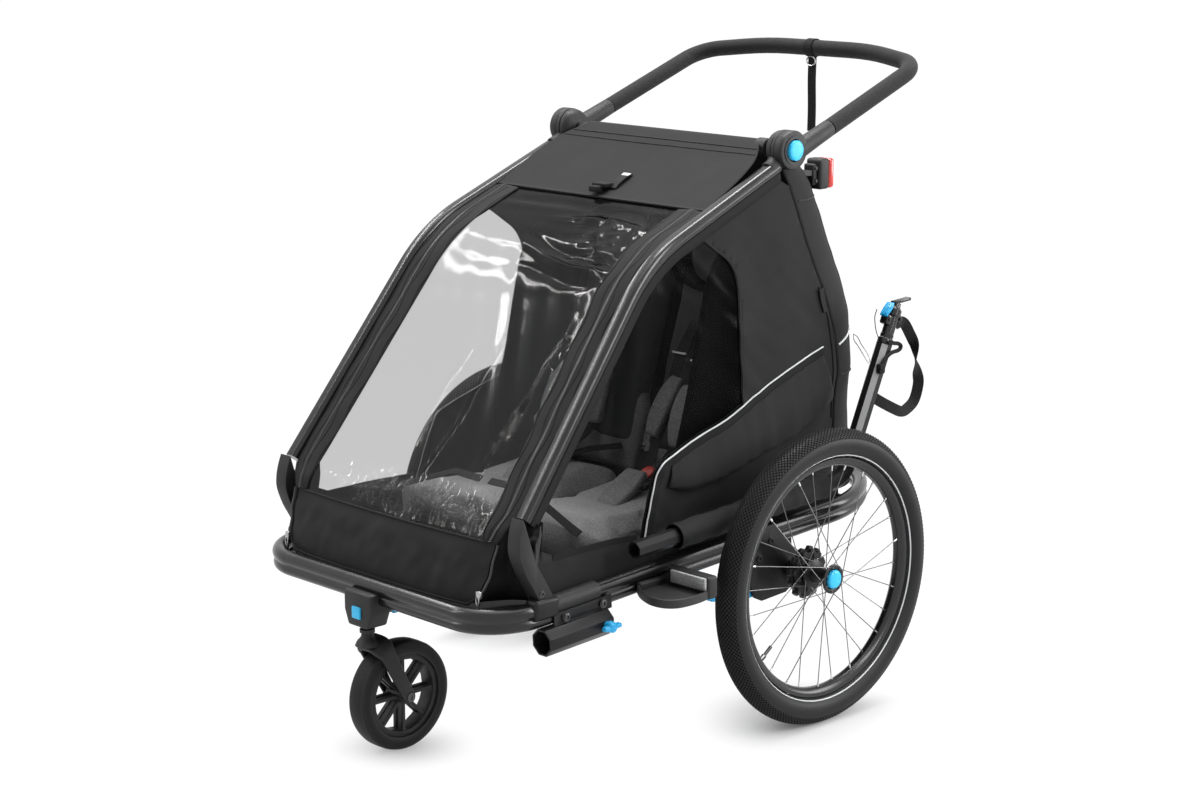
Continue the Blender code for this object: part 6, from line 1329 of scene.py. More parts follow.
made = piece("front_film_sheet", cloth_grid(180, 240, film_place), front_film, "hoops",
             replaces=("front_window",))
for hand, side in SIDES:
    def border_place(u, v, hand=hand):
        z = at_share(front_profile, v).z
        inner, outer = film_half(z) - 0.004, min(hoop_x(z) - 0.0118, 0.2535 + max(0.0, z - 0.395) * 0.6)
        x = inner + (outer - inner) * (u + 1) / 2
        lift = 0.0018 + 0.0030 * (1 - u * u) + crease(x, v * 0.6, (0.020, 0.05), 0.0020 * (1 - u * u), 6.0)
        return front_point(v, hand * x, lift)

    made = piece("front_border_" + side, cloth_grid(12, 110, border_place), fabric, "hoops", thick=0.0012)
    lines = bmesh.new()
    for u, radius in ((-0.90, 0.0011), (-0.20, 0.0007), (0.34, 0.0007), (0.86, 0.0009)):
        line = [border_place(u + 0.10 * sin(38 * v + 9 * u), v) + Vector((0, -0.0006, 0.0004))
                for v in np.linspace(0.005, 0.995, 90)]
        drawn(lines, line, round_section(radius, 8), (0.0, -0.8, 0.6))
    piece("front_welts_" + side, lines, trim_cloth, "hoops")
    coil = bmesh.new()
    stations = [border_place(0.10, v) for v in np.linspace(0.0, 1.0, 230)]
    for i, (a, b) in enumerate(zip(stations, stations[1:])):
        along = (b - a).normalized()
        across = Vector((1.0, 0.0, 0.0))
        for shift in (-0.0011, 0.0011):
            spot = (a + b) / 2 + across * shift + along * (0.0007 if shift > 0 else -0.0007)
            turn = Matrix((across, along, across.cross(along))).transposed().to_4x4()
            turn.translation = spot
            bmesh.ops.create_cube(coil, size=1.0, matrix=turn
                                  @ Matrix.Diagonal((0.0026, 0.0017, 0.0022, 1.0)))
    piece("front_zip_" + side, coil, zip_coil, "hoops")

PANEL_EDGE = [(0.2910, 0.1760), (0.2930, 0.2000), (0.2990, 0.2200), (0.3100, 0.2360), (0.3280, 0.2455),
              (0.3650, 0.2515),
              (0.3950, 0.2535)]
PANEL_FOOT, PANEL_HEAD = 0.2975, 0.3970
panel_low_y = BASE_FRONT * cos(NOSE_DOWN) - 0.0043 + 0.0100


def panel_place(u, v):
    z = PANEL_FOOT + (PANEL_HEAD - PANEL_FOOT) * v
    half = read_off(PANEL_EDGE, z)
    x = half * u
    at = panel_low_y + (PANEL_HEAD_Y - panel_low_y) * v
    bow = 0.010 * (u * u - 1) * v + 0.010 * u**4 * (1 - v)
    puff = -0.0085 * sin(pi * v) * (1 - u**4)
    puff += crease(x + v * 0.05, v * 0.1, (0.055, 0.035), 0.0060 * sin(pi * v), 8.0)
    puff += crease(x - v * 0.03, v * 0.1, (0.022, 0.030), 0.0022 * sin(pi * v), 28.0)
    return Vector((x, at + bow + puff, z))


made = piece("front_lower_cloth", cloth_grid(90, 26, panel_place), fabric, None, thick=0.0014,
             replaces=("front_panel",))
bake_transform(made)
edging = bmesh.new()
for v, radius in ((0.02, 0.0022), (0.99, 0.0018)):
    line = [panel_place(float(u), v) + Vector((0.0, -0.0015, 0.0)) for u in np.linspace(-1, 1, 60)]
    drawn(edging, line, round_section(radius, 8), (0.0, -1.0, 0.2))
for hand in (1, -1):
    line = [panel_place(hand * 0.985, float(v)) + Vector((0.0, -0.0018, 0.0)) for v in np.linspace(0, 1, 24)]
    drawn(edging, line, round_section(0.0022, 8), (hand * 1.0, -0.4, 0.0))
made = piece("front_lower_welts", edging, trim_cloth, None)
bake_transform(made)
for hand, side in SIDES:
    run = [panel_place(hand * 1.0, float(v)) + Vector((hand * 0.0020, -0.0016, 0.0))
           for v in np.linspace(0.985, 0.22, 20)]
    drop = bmesh.new()
    drawn(drop, run, round_section(0.0022, 10), (hand * 1.0, -0.4, 0.0))
    grip = run[-1] + Vector((0.0, -0.0060, -0.0120))
    tail = flowing([grip, grip + Vector((0.0, -0.0015, -0.012)),
                    grip + Vector((hand * -0.002, -0.001, -0.0300))], 4)
    ribbon(drop, tail, 0.0080, 0.0030, (0.0, -1.0, 0.0))
    piece("panel_zip_" + side, drop, zip_coil, "chassis")
    slider = block(bmesh.new(), run[-1] - Vector((0.0045, 0.0070, 0.0070)),
                   run[-1] + Vector((0.0045, 0.0010, 0.0060)), 0.0014, 2)
    loop = [run[-1] + Vector((0.0032 * cos(a), -0.0072, -0.0090 + 0.0070 * sin(a)))
            for a in np.radians(range(0, 360, 20))]
    drawn(slider, loop, round_section(0.0010, 8), (0.0, 1.0, 0.0), closed=True)
    piece("panel_slider_" + side, slider, pull_steel, "chassis")

    def gusset_place(u, v, hand=hand):
        z = 0.300 + 0.125 * v
        near_x = read_off(PANEL_EDGE, z) - 0.004
        near_y = panel_low_y + (PANEL_HEAD_Y - panel_low_y) * min(1.0, v * 1.2) + 0.008
        far = Vector((0.2835, -0.5450 + 0.010 * v, z))
        near = Vector((near_x, near_y, z))
        share = (u + 1) / 2
        spot = near.lerp(far, share)
        spot += Vector((-0.6, 0.8, 0.0)) * 0.014 * sin(pi * share)
        spot += Vector((-0.6, 0.8, 0.0)) * crease(share * 0.06, z, (0.016, 0.05), 0.004,
                                                  12.0) * sin(pi * share)
        return Vector((hand * spot.x, spot.y, spot.z))

    made = piece("front_gusset_" + side, cloth_grid(18, 20, gusset_place), trim_cloth, "chassis",
                 thick=0.0010)
    folding(made)

# The back of the body: one wide cloth panel rounded at its corners, closed by a zip each side and
# carried up over the bar, with welted seams down both corners.
REAR_SHAPE = [(0.349, 0.262), (0.420, 0.259), (0.480, 0.258), (0.560, 0.256), (0.655, 0.248),
              (0.728, 0.230), (0.807, 0.196),
              (0.882, 0.163), (0.915, 0.148), (0.936, 0.112), (0.950, 0.056)]

REAR_FOOT, REAR_TOP, REAR_CORNER = 0.352, 0.949, 0.085


def rear_depth(z):
    return read_off(REAR_SHAPE, z)


def rear_start(z):
    if z > SIDE_EDGE[0][1]:
        return read_off([(SIDE_EDGE[0][1], 0.050), (0.950, 0.040)], z)
    return read_off([(level, y) for y, level in reversed(SIDE_EDGE)], z) - 0.006


def rear_place(u, v):
    z = REAR_FOOT + (REAR_TOP - REAR_FOOT) * v
    start, back = rear_start(z), rear_depth(z)
    half = side_surface(start, min(z, 0.905)) + 0.0010
    half -= max(0.0, z - 0.890) * 0.40
    bend = min(REAR_CORNER, half - 0.02)
    quarter = bend * 1.3
    length = quarter + (half - bend)
    run = abs(u) * length
    if run > half - bend:
        turn = (length - run) / quarter * pi / 2
        x, y = half - bend * (1 - cos(turn)), start + (back - start) * sin(turn)
    else:
        x, y = run, back + 0.012 * (1 - (run / half) ** 2) * bounded((0.93 - z) / 0.1)
    free = sin(pi * bounded(v)) ** 0.5
    y += free * (crease(x * (1 if u > 0 else -1), z, (0.06, 0.15), 0.0050, 14.0)
                 + crease(x + z, z - x, (0.03, 0.10), 0.0018, 15.0))
    return Vector((x if u > 0 else -x, y, z))


made = piece("rear_cloth", cloth_grid(120, 70, rear_place), fabric, "chassis", thick=0.0012,
             replaces=("rear_fabric",))
folding(made)
rear_lines = bmesh.new()
for u in (0.80, -0.80):
    line = [rear_place(u, float(v)) + Vector((0.0006 if u > 0 else -0.0006, 0.0006, 0.0))
            for v in np.linspace(0.01, 0.94, 60)]
    drawn(rear_lines, line, round_section(0.0010, 8), (0.0, 1.0, 0.1))
for v in (0.34, 0.86):
    line = [rear_place(float(u), v) + Vector((0.0, 0.0014, 0.0)) for u in np.linspace(-0.98, 0.98, 90)]
    drawn(rear_lines, line, round_section(0.0018, 8), (0.0, 0.0, 1.0))
folding(piece("rear_welts", rear_lines, seam_grey, "chassis"))
for hand, side in SIDES:
    zip_line = bmesh.new()
    course = [(0.118, 0.715), (0.126, 0.690), (0.140, 0.650), (0.154, 0.590), (0.160, 0.520), (0.160, 0.480)]
    drawn(zip_line, line_on_side(course, 0.0012), round_section(0.0014, 8), (1.0, 0.0, 0.0))
    pull = line_on_side([(0.120, 0.712), (0.123, 0.694), (0.129, 0.672)], 0.0035, 3)
    ribbon(zip_line, pull, 0.0110, 0.0022, (1.0, 0.0, 0.0))
    folding(piece("corner_zip_" + side, flipped(zip_line, hand), trim_cloth, "chassis"))
for hand, side in SIDES:
    corner = bmesh.new()
    line = [rear_place(hand * float(u), float(v)) + Vector((hand * 0.0012, 0.0012, 0.0))
            for u, v in zip(np.linspace(0.985, 0.70, 16), np.linspace(0.43, 0.50, 16))]
    drawn(corner, line, round_section(0.0018, 8), (0.0, 0.2, 1.0))
    folding(piece("rear_piping_" + side, corner, piping_white, "chassis"))

# The seats: two padded bases on the cloth floor and two tall padded backs, in grey spacer mesh with
# bound edges, head supports, shoulder pads, crotch pads and black webbing harnesses.
seat_cloth = finish("seat_spacer_mesh", (0.260, 0.260, 0.263), (0.360, 0.360, 0.363), 0.85, 0.0, 0.15,
                    patch=30.0,
                    cells=0.0020)
pad_cloth = finish("pad_mesh", (0.200, 0.200, 0.202), (0.280, 0.280, 0.283), 0.85, 0.0, 0.15, patch=40.0,
                   cells=0.0022)
back_cloth = finish("back_cloth", (0.050, 0.050, 0.051), (0.072, 0.072, 0.073), 0.80, 0.0, 0.12, patch=30.0,
                    grain=0.10, grain_size=240.0)
web_black = finish("harness_webbing", (0.008, 0.008, 0.008), (0.013, 0.013, 0.013), 0.70, 0.0, 0.15,
                   grain=0.3, grain_size=1200.0, weave=0.5, weave_pitch=0.0016)
steel = finish("adjuster_steel", (0.50, 0.50, 0.50), (0.60, 0.60, 0.60), 0.28, 1.0)


def cushion(size, bulge):
    """A plump cushion: a rounded block, blown up a little by a cloth simulation."""
    bm = bmesh.new()
    block(bm, (-size[0] / 2, -size[1] / 2, 0.0), (size[0] / 2, size[1] / 2, size[2]), min(size) * 0.42, 4)
    mesh = bpy.data.meshes.new("cushion")
    bm.to_mesh(mesh)
    bm.free()
    pad = bpy.data.objects.new("cushion", mesh)
    bpy.context.scene.collection.objects.link(pad)
    remesh = pad.modifiers.new("even_net", "REMESH")
    remesh.mode = "VOXEL"
    remesh.voxel_size = 0.0060
    bpy.context.view_layer.update()
    graph = bpy.context.evaluated_depsgraph_get()
    even = bpy.data.meshes.new_from_object(pad.evaluated_get(graph))
    pad.modifiers.clear()
    pad.data = even
    flat = np.array([v.co for v in even.vertices])
    cloth = pad.modifiers.new("cloth", "CLOTH")
    cloth.settings.use_pressure = True
    cloth.settings.uniform_pressure_force = 4.0
    cloth.settings.quality = 5
    cloth.settings.effector_weights.gravity = 0.0
    cloth.settings.tension_stiffness = 40.0
    cloth.settings.compression_stiffness = 40.0
    cloth.settings.bending_stiffness = 1.5
    scene = bpy.context.scene
    for number in range(1, 16):
        scene.frame_set(number)
    graph = bpy.context.evaluated_depsgraph_get()
    blown = bpy.data.meshes.new_from_object(pad.evaluated_get(graph))
    pad.modifiers.clear()
    moved = np.array([v.co for v in blown.vertices]) - flat
    reach = np.linalg.norm(moved, axis=1, keepdims=True)
    moved *= np.minimum(1.0, bulge / np.maximum(reach, 1e-9))
    flat = flat + moved
    scene.frame_set(1)
    bm = bmesh.new()
    bm.from_mesh(even)
    bm.verts.ensure_lookup_table()
    for vert, place in zip(bm.verts, flat):
        vert.co = place
    bpy.data.objects.remove(pad)
    return bm


PAD_WIDTH = 0.226


def divided(bm, cuts):
    """Cuts a pad's long edges, so that it can be shaped."""
    long_edges = [edge for edge in bm.edges if edge.calc_length() > 0.02]
    bmesh.ops.subdivide_edges(bm, edges=long_edges, cuts=cuts, use_grid_fill=True)


def trimmed(bm, channels, length, depth, round_end=0.0):
    """Sews channels across a cushion, and rounds its far end."""
    for vert in bm.verts:
        share = vert.co.y / length + 0.5
        groove = 0.5 + 0.5 * cos(2 * pi * channels * share)
        if vert.co.z > 0.004:
            vert.co.z -= depth * groove**6 * (1 - (2 * vert.co.x / PAD_WIDTH) ** 2)
        if round_end and share > 1 - round_end:
            over = (share - 1 + round_end) / round_end
            vert.co.x *= 1 - 0.22 * over * over
    return bm


SEAT_LENGTH, BACK_CUT, LUMBAR = 0.344, 0.424, 0.160
BACK_ANGLE, BACK_LENGTH = radians(73.0), 0.4300
STRUT_TOP = (0.1100, 0.7900)
lean = Vector((0.0, cos(BACK_ANGLE), sin(BACK_ANGLE)))
away = Vector((0.0, -lean.z, lean.y))
back_top = Vector((0.0, *STRUT_TOP)) + away * 0.0093 + lean * 0.014
back_middle = back_top - lean * (BACK_LENGTH / 2)
back_frame = Matrix.Translation(back_middle) @ Matrix.Rotation(BACK_ANGLE, 4, "X")


def on_back(x, along, out):
    """A place on the backrest: x across, along it upwards from its middle, out of it."""
    return back_frame @ Vector((x, along, out))


for hand, side in SIDES:
    x = hand * SEAT_X
    seat = trimmed(cushion((0.222, SEAT_LENGTH, 0.062), 0.010), 2, SEAT_LENGTH, 0.004)
    for vert in seat.verts:
        ahead, outer = -vert.co.y / (SEAT_LENGTH / 2), hand * vert.co.x / 0.111
        rise = 0.028 * max(0.0, ahead) ** 2 * (1 - 0.45 * max(-0.6, outer)) - 0.012 * (1 - ahead * ahead)
        vert.co.z += rise * bounded(vert.co.z / 0.050)
    bmesh.ops.translate(seat, vec=(x, -0.2350, 0.3283), verts=seat.verts)
    made = piece("seat_cushion_" + side, seat, seat_cloth, "chassis", tipped=True, sharp=60,
                 replaces=("seat_pad_" + side,), rounded_by=1)
    back = trimmed(cushion((0.218, BACK_CUT, 0.026), 0.008), 3, BACK_CUT, 0.004, 0.25)
    bmesh.ops.transform(back, matrix=back_frame @ Matrix.Translation((x, 0.0, 0.003)), verts=back.verts)
    made = piece("seat_back_" + side, back, back_cloth, "chassis", sharp=60,
                 replaces=("backrest_pad_" + side,),
                 rounded_by=1)
    folding(made)
    panel = trimmed(cushion((PAD_WIDTH, LUMBAR, 0.018), 0.006), 1, LUMBAR, 0.001, 0.25)
    bmesh.ops.transform(panel, matrix=back_frame @ Matrix.Translation((x * 0.97, -0.172, 0.008)),
                        verts=panel.verts)
    made = piece("lumbar_pad_" + side, panel, seat_cloth, "chassis", sharp=60, rounded_by=1)
    folding(made)
    for name, size, thick, out, cloth_of in (("head_rest_", (0.118, 0.068), 0.0110, 0.030, lining_black),
                                             ("head_mesh_", (0.062, 0.050), 0.0030, 0.046, back_cloth)):
        rest = block(bmesh.new(), (-size[0], -size[1], -thick), (size[0], size[1], thick), thick * 0.9, 3)
        divided(rest, 11)
        for vert in rest.verts:
            across, up = vert.co.x / size[0], vert.co.y / size[1]
            turn = (vert.co.x * (1 - 0.22 * up * up)) / 0.100
            bowl = 0.100 - vert.co.z
            vert.co = Vector((bowl * sin(turn), vert.co.y * (1 - 0.30 * across**4), 0.100 - bowl * cos(turn)))
        place = back_frame @ Matrix.Translation((x, 0.152, out))
        bmesh.ops.transform(rest, matrix=place, verts=rest.verts)
        made = piece(name + side, rest, cloth_of, "chassis", sharp=60, rounded_by=1)
        folding(made)
    bolster = [(-0.182, 0.470), (-0.158, 0.552), (-0.146, 0.600), (-0.126, 0.690), (-0.108, 0.753),
               (-0.080, 0.790), (-0.030, 0.795),
               (0.050, 0.770), (0.030, 0.690), (-0.020, 0.540), (-0.050, 0.420), (-0.120, 0.400),
               (-0.180, 0.410)]
    wall_mesh = bmesh.new()
    slab(wall_mesh, smooth_places(bolster, 3), 0.2200, 0.2340, 0.0045, 3)
    made = piece("seat_bolster_" + side, flipped(wall_mesh, hand), lining_black, "chassis", sharp=60)
    folding(made)
    web, pads, clip = bmesh.new(), bmesh.new(), bmesh.new()
    for reach, pad_y in ((-0.040, -0.058), (0.036, -0.092)):
        across = x + hand * reach
        pad_at = Vector((across, pad_y, 0.5030))
        line = flowing([on_back(across, 0.150, 0.030), on_back(across, 0.060, 0.030),
                        Vector((across, pad_y + 0.040, 0.5960)),
                        pad_at + Vector((0.0, 0.022, 0.050)), pad_at + Vector((0.0, 0.006, 0.0)),
                        pad_at + Vector((0.0, -0.018, -0.048)),
                        Vector((x + hand * reach * 0.4, -0.122, 0.4120))], 6)
        ribbon(web, line, 0.0240, 0.0014, (0.0, -1.0, 0.4))
        waist = flowing([Vector((x + hand * reach * 2.2, -0.055, 0.4150)),
                         Vector((x + hand * reach * 1.3, -0.100, 0.4100)),
                         Vector((x + hand * reach * 0.42, -0.124, 0.3960))], 6)
        ribbon(web, waist, 0.0220, 0.0014, (0.0, -0.3, 1.0))
        pad = bmesh.new()
        block(pad, (-0.0205, -0.056, -0.0070), (0.0205, 0.056, 0.0070), 0.0058, 3)
        divided(pad, 7)
        for vert in pad.verts:
            share = vert.co.y / 0.056
            vert.co.x *= 1 - 0.38 * abs(share) ** 3
            vert.co.z += 0.008 * (1 - share * share)
        turn = Matrix.Translation(pad_at) @ Matrix.Rotation(radians(63), 4,
                                                            "X") @ Matrix.Rotation(hand * reach * 3.5, 4, "Z")
        bmesh.ops.transform(pad, matrix=turn, verts=pad.verts)
        joined(pads, pad)
        at = Vector((across, pad_y + 0.036, 0.5880))
        frame_line = [at + Vector(p) for p in ((-0.016, -0.002, 0.005), (0.016, -0.002, 0.005),
                                               (0.016, 0.002, -0.005), (-0.016, 0.002, -0.005))]
        drawn(clip, frame_line, round_section(0.0021, 8), (0.0, 1.0, 0.4), closed=True)
    made = piece("harness_web_" + side, web, web_black, "chassis")
    folding(made)
    made = piece("shoulder_pads_" + side, pads, pad_cloth, "chassis", sharp=60, rounded_by=1)
    folding(made)
    made = piece("strap_adjusters_" + side, clip, steel, "chassis")
    folding(made)
    crotch = bmesh.new()
    block(crotch, (-0.0300, -0.058, -0.0080), (0.0300, 0.050, 0.0080), 0.0070, 3)
    divided(crotch, 6)
    for vert in crotch.verts:
        vert.co.x *= 1 - 0.30 * (vert.co.y / 0.058) ** 2
        vert.co.z += 0.010 * (vert.co.y / 0.05)
    bmesh.ops.transform(crotch, matrix=Matrix.Translation((x, -0.206, 0.3850))
                        @ Matrix.Rotation(0.36, 4, "X"), verts=crotch.verts)
    made = piece("crotch_pad_" + side, crotch, pad_cloth, "chassis", sharp=60, rounded_by=1)
    edge_line = [Vector((x + a, -0.4010 + 0.003 * cos(a * 30),
                         0.3985 - 0.34 * max(-0.06, hand * a - 0.023)))
                 for a in np.linspace(-0.108, 0.108, 20)]
    binding = ribbon(bmesh.new(), edge_line, 0.0130, 0.0020, (0.0, -0.6, 0.8))
    piece("seat_binding_" + side, binding, trim_cloth, "chassis")

# The floor of the body is one stiffened cloth sheet on the cross tubes, and the seat backs lean on a
# bent tube that folds forward with the roof.
FLOOR_FRONT, FLOOR_BACK, FLOOR_LEVEL = -0.6290, 0.1850, 0.3245
FLOOR_CORNER = 0.07


def floor_place(u, v):
    y = FLOOR_FRONT + (FLOOR_BACK - FLOOR_FRONT) * v
    round_front = FLOOR_CORNER * (1 - sqrt(1 - bounded((-0.559 - y) / FLOOR_CORNER) ** 2))
    half = 0.2815 - round_front - 0.015 * max(0.0, (y - 0.12) / 0.065)
    sag = -0.004 * (1 - u * u) * abs(sin(pi * (y + 0.46) / 0.665))
    return Vector((half * u, y, FLOOR_LEVEL + sag))


made = piece("floor_cloth", cloth_grid(24, 36, floor_place), fabric, "chassis", tipped=True, thick=0.0030,
             replaces=("floor_panel",))
STRUT_PIVOT, STRUT_HALF = (0.2050, 0.3560), 0.235
strut_corners = [
    (STRUT_HALF, *STRUT_PIVOT), (STRUT_HALF, *STRUT_TOP), (-STRUT_HALF, *STRUT_TOP),
    (-STRUT_HALF, *STRUT_PIVOT),
]
strut = drawn(bmesh.new(), bent_line(strut_corners, [0.07, 0.07], radians(5)), round_section(0.0090, 20),
              (0.0, 1.0, 0.2))
for hand in (1, -1):
    turned(strut, [(hand * a, r) for a, r in ((-0.0085, 0.0045), (-0.0085, 0.0115), (0.0085, 0.0115),
                                              (0.0085, 0.0045))],
           (hand * STRUT_HALF, *STRUT_PIVOT), "X", 32)
made = piece("back_frame_tube", strut, anodised, "strut", replaces=("rear_strut",))

# The drawbar, stowed along the left side: an eight sided aluminium tube in a cloth tunnel, bent up
# behind the wheel, with the coupling tongue, its blue catch and the webbing safety strap at its end.
stripe_silver = finish("stripe_silver", (0.26, 0.26, 0.265), (0.34, 0.34, 0.345), 0.34, 0.7, 0.5, grain=0.05)
DRAWBAR_X, DRAWBAR_LEVEL, DRAWBAR_ACROSS = 0.3340, 0.3830, 0.0268
MOUTH_Y, TURN_Y, RISE, RISE_ANGLE = -0.3800, 0.1250, 0.2450, radians(62.0)
rise_end = (TURN_Y + RISE * cos(RISE_ANGLE), DRAWBAR_LEVEL + RISE * sin(RISE_ANGLE))
drawbar_path = bent_line(
    [(DRAWBAR_X, MOUTH_Y, DRAWBAR_LEVEL), (DRAWBAR_X, TURN_Y, DRAWBAR_LEVEL), (DRAWBAR_X, *rise_end)],
    [0.05], radians(6)
)
corner_cut = DRAWBAR_ACROSS / 2 * tan(pi / 8)
half = DRAWBAR_ACROSS / 2
octagon = [(half, corner_cut), (corner_cut, half), (-corner_cut, half), (-half, corner_cut),
           (-half, -corner_cut),
           (-corner_cut, -half), (corner_cut, -half), (half, -corner_cut)]
bar = drawn(bmesh.new(), drawbar_path, octagon, (1.0, 0.0, 0.0))
mouth = [f for f in bar.faces if f.calc_center_median().y < MOUTH_Y + 0.0005]
bmesh.ops.inset_region(bar, faces=mouth, thickness=0.0026, use_even_offset=True)
grown_in = bmesh.ops.extrude_face_region(bar, geom=mouth)["geom"]
bmesh.ops.translate(bar, vec=(0.0, 0.080, 0.0), verts=[v for v in grown_in
                                                       if isinstance(v, bmesh.types.BMVert)])
bmesh.ops.delete(bar, geom=mouth, context="FACES_ONLY")
made = piece("drawbar_tube", bar, plate_black, "chassis", tipped=True, sharp=20, replaces=("drawbar",))
facet = (Vector((1.0, 0.0, 0.0)) + Vector((0.0, -sin(RISE_ANGLE), cos(RISE_ANGLE)))).normalized()
rising = [p + facet * (half + 0.0002) for p in drawbar_path[-2:]]
stripe = ribbon(bmesh.new(), [rising[0].lerp(rising[1], s) for s in (0.02, 0.3, 0.6, 0.985)], 0.0108,
                0.0006, facet)
piece("drawbar_stripe", stripe, stripe_silver, "chassis", tipped=True)
head_frame = Matrix.Translation((DRAWBAR_X, *rise_end)) @ Matrix.Rotation(RISE_ANGLE - pi / 2, 4, "X")
neck = bmesh.new()
turned(neck, [(0.0003, 0.0), (0.0003, 0.0136), (0.0070, 0.0140), (0.0085, 0.0130), (0.0100, 0.0112),
              (0.0160, 0.0118),
              (0.0170, 0.0108), (0.0480, 0.0108), (0.0500, 0.0128), (0.0610, 0.0128), (0.0625, 0.0112),
              (0.0660, 0.0085),
              (0.0730, 0.0080), (0.0730, 0.0)], (0.0, 0.0, 0.0), "Z", 40)
block(neck, (-0.0085, -0.0215, 0.0300), (0.0085, -0.0080, 0.0475), 0.0030)
block(neck, (-0.0085, 0.0080, 0.0400), (0.0085, 0.0160, 0.0560), 0.0030)
for place in ((0.0085, -0.0160, 0.0400), (0.0085, 0.0120, 0.0490)):
    rod(neck, Vector(place), Vector(place) + Vector((0.0022, 0.0, 0.0)), 0.0034, 12)
for vert in neck.verts:
    vert.co = head_frame @ vert.co
bar_at = head_frame @ Vector((0.0, 0.0, 0.0740))
block(neck, bar_at + Vector((-0.0060, -0.0100, -0.0010)), bar_at + Vector((0.0060, 0.0320, 0.0045)), 0.0012)
made = piece("coupling_tongue", neck, anodised, "chassis", tipped=True, replaces=("drawbar_head",))
blade = bmesh.new()
shape = [(-0.0144, 0.0632), (-0.0152, 0.0700), (-0.0170, 0.0690), (-0.0220, 0.0590), (-0.0255, 0.0480),
         (-0.0260, 0.0430),
         (-0.0230, 0.0420), (-0.0190, 0.0500), (-0.0150, 0.0580)]
extruded(blade, [head_frame @ Vector((-0.0078, y, z)) for y, z in shape], (0.0156, 0.0, 0.0))
softened(blade, blade.edges[:], 0.0012, 2)
made = piece("coupling_blade", blade, lever_blue, "hitch_lever", tipped=True, replaces=("coupling_lever",))
sleeve = bmesh.new()
front, back = MOUTH_Y + 0.0950, TURN_Y - 0.0500
rows = np.linspace(0.0, 1.0, 40)
outer = [(front + (back - front) * float(s), 0.0212 + 0.0010 * sin(s * 60) * (0.3 + s) - 0.0012
          * (s < 0.06)) for s in rows]
outline = [(front, 0.0190), (front + 0.001, 0.0205)] + outer[1:] + [(back, 0.0195)]
turned(sleeve, outline, (DRAWBAR_X, 0.0, DRAWBAR_LEVEL), "Y", 40)
for vert in sleeve.verts:
    out = vert.co - Vector((DRAWBAR_X, vert.co.y, DRAWBAR_LEVEL))
    vert.co += out * crease(vert.co.y, atan2(out.x, out.z), (0.030, 0.8), 0.10, 21.0)
ribbon(sleeve, [Vector((DRAWBAR_X - 0.034, y, DRAWBAR_LEVEL - 0.0040))
                for y in np.linspace(front, back, 8)], 0.0300, 0.0024, (0, 0, 1))
made = piece("drawbar_tunnel", sleeve, fabric, "chassis", tipped=True, replaces=("drawbar_sleeve",))
cuff = turned(bmesh.new(), [(front - 0.004, 0.0192), (front - 0.004, 0.0214), (front - 0.001, 0.0220),
                            (front + 0.006, 0.0220),
                            (front + 0.008, 0.0214), (front + 0.008, 0.0192)],
              (DRAWBAR_X, 0.0, DRAWBAR_LEVEL), "Y", 40)
piece("tunnel_cuff", cuff, trim_cloth, "chassis", tipped=True)

strap_path = [Vector((DRAWBAR_X + dx, y, z)) for dx, y, z in (
    (0.006, 0.2390, 0.6440), (0.003, 0.2579, 0.6455), (0.002, 0.2700, 0.6410), (0.002, 0.2833, 0.6242),
    (0.002, 0.2981, 0.6010),
    (0.002, 0.3028, 0.5736), (0.002, 0.3085, 0.5514), (0.002, 0.3130, 0.5291), (0.002, 0.3023, 0.5004),
    (0.004, 0.2790, 0.4880),
    (0.006, 0.2616, 0.4869), (0.008, 0.2394, 0.4956), (0.006, 0.2091, 0.5109), (0.002, 0.1899, 0.5226))]
strap_line = flowing(strap_path, 7)
strap = bmesh.new()
sides = []
for i, point in enumerate(strap_line):
    along = (strap_line[min(i + 1, len(strap_line) - 1)] - strap_line[max(i - 1, 0)]).normalized()
    share = i / (len(strap_line) - 1)
    twist = pi * bounded((share - 0.26) / 0.24)
    facing = (view_back - along * view_back.dot(along)).normalized()
    sides.append(facing * cos(twist) + along.cross(facing) * sin(twist))
ribbon(strap, strap_line, 0.0190, 0.0014, sides)
made = piece("safety_webbing", strap, web_black, "chassis", replaces=("safety_strap",))
keeper = bmesh.new()
keeper_path = [Vector((0.3520, y, z)) for y, z in ((0.2098, 0.6194), (0.2234, 0.6146), (0.2342, 0.6126),
                                                   (0.2420, 0.6069), (0.2360, 0.6008),
                                                   (0.2159, 0.5985), (0.2002, 0.5901), (0.1913, 0.5792),
                                                   (0.1915, 0.5721))]
ribbon(keeper, flowing(keeper_path, 5), 0.0070, 0.0014, view_back)
block(keeper, (0.3455, 0.1845, 0.5660), (0.3555, 0.1985, 0.5830), 0.0024, 2)
drawn(keeper, flowing([Vector((0.3360, y, z)) for y,
                       z in ((0.1950, 0.6757), (0.1896, 0.6616), (0.1936, 0.6394), (0.2008, 0.6245))], 6),
      round_section(0.0008, 6), (1.0, 0.0, 0.0))
piece("drawbar_keeper", keeper, web_black, "chassis")
snap_hook = flowing([Vector((0.3000, y, z)) for y, z in (
    (0.1771, 0.6297), (0.1881, 0.6230), (0.1985, 0.6090), (0.2140, 0.5920), (0.2230, 0.5770),
    (0.2190, 0.5730), (0.2060, 0.5880),
    (0.1900, 0.6070), (0.1790, 0.6190), (0.1771, 0.6297))], 4)
piece("snap_hook", drawn(bmesh.new(), snap_hook[:-1], round_section(0.0008, 8), (1.0, 0.0, 0.0),
                         closed=True), steel, "chassis")

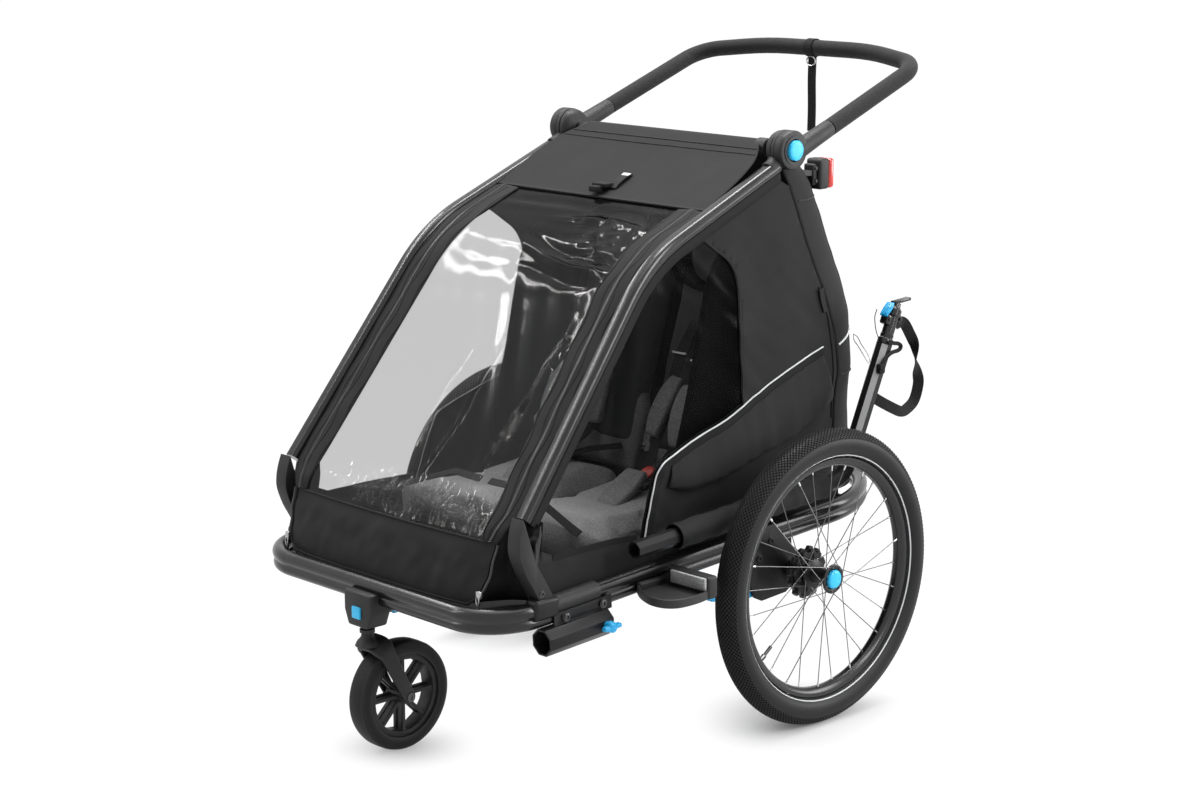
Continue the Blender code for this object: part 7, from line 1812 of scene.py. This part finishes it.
# The wrist strap: webbing sewn round the grip, with a wire ring and a long hanging tail.
crest = min(bow_line, key=lambda p: abs(p.x + 0.015))
crest = Vector((-0.0150, crest.y, crest.z))
wrist = bmesh.new()
WRIST_RADIUS = 0.0160
ring = [crest + Vector((0.0, WRIST_RADIUS * cos(a), WRIST_RADIUS * sin(a)))
        for a in np.radians(range(0, 360, 12))]
rings = [(p - crest).normalized() for p in ring]
ribbon_section = [(0.0009, -0.009), (0.0009, 0.009), (-0.0009, 0.009), (-0.0009, -0.009)]
drawn(wrist, ring, ribbon_section, rings, closed=True)
tail = [crest + Vector((0.0, 0.0, -0.0155)), crest + Vector((0.0, -0.0010, -0.060)),
        crest + Vector((0.0, 0.0006, -0.110)),
        crest + Vector((0.0, 0.0, -0.153))]
ribbon(wrist, flowing(tail, 5), 0.0180, 0.0026, (0.0, 1.0, 0.0))
made = piece("wrist_webbing", wrist, web_black, "handle", replaces=("wrist_strap",))
ring_at = crest + Vector((0.0, -0.004, -0.024))
loop = [ring_at + Vector((0.0105 * cos(a), 0.0, 0.0085 * sin(a))) for a in np.radians(range(0, 360, 20))]
piece("wrist_ring", drawn(bmesh.new(), loop, round_section(0.0013, 8), (0.0, 1.0, 0.0), closed=True),
      steel, "handle")

# The caster's solid rubber tyre and the bumper's prismatic reflectors.
prism_white = finish("prism_white", (0.46, 0.46, 0.47), (0.72, 0.72, 0.73), 0.24, 0.0, 0.6, patch=260.0,
                     grain=1.0,
                     grain_size=420.0, cells=0.0020)
band = turned(bmesh.new(), [
    (-0.0180, 0.0703), (-0.0196, 0.0730), (-0.0200, 0.0800), (-0.0192, 0.0862), (-0.0165, 0.0902),
    (-0.0110, 0.0918),
    (0.0, 0.0921), (0.0110, 0.0918), (0.0165, 0.0902), (0.0192, 0.0862), (0.0200, 0.0800),
    (0.0196, 0.0730), (0.0180, 0.0703),
], CASTER, "X", 96)
made = piece("caster_band", band, rubber, "caster_roller", replaces=("caster_tyre",))
for hand, side in SIDES:
    prism = block(bmesh.new(), (0.3370, -0.3090, 0.2936), (0.4150, -0.3030, 0.3148), 0.0022, 3)
    made = piece("bumper_prism_" + side, flipped(prism, hand), prism_white, "chassis",
                 replaces=("reflector_" + side,))
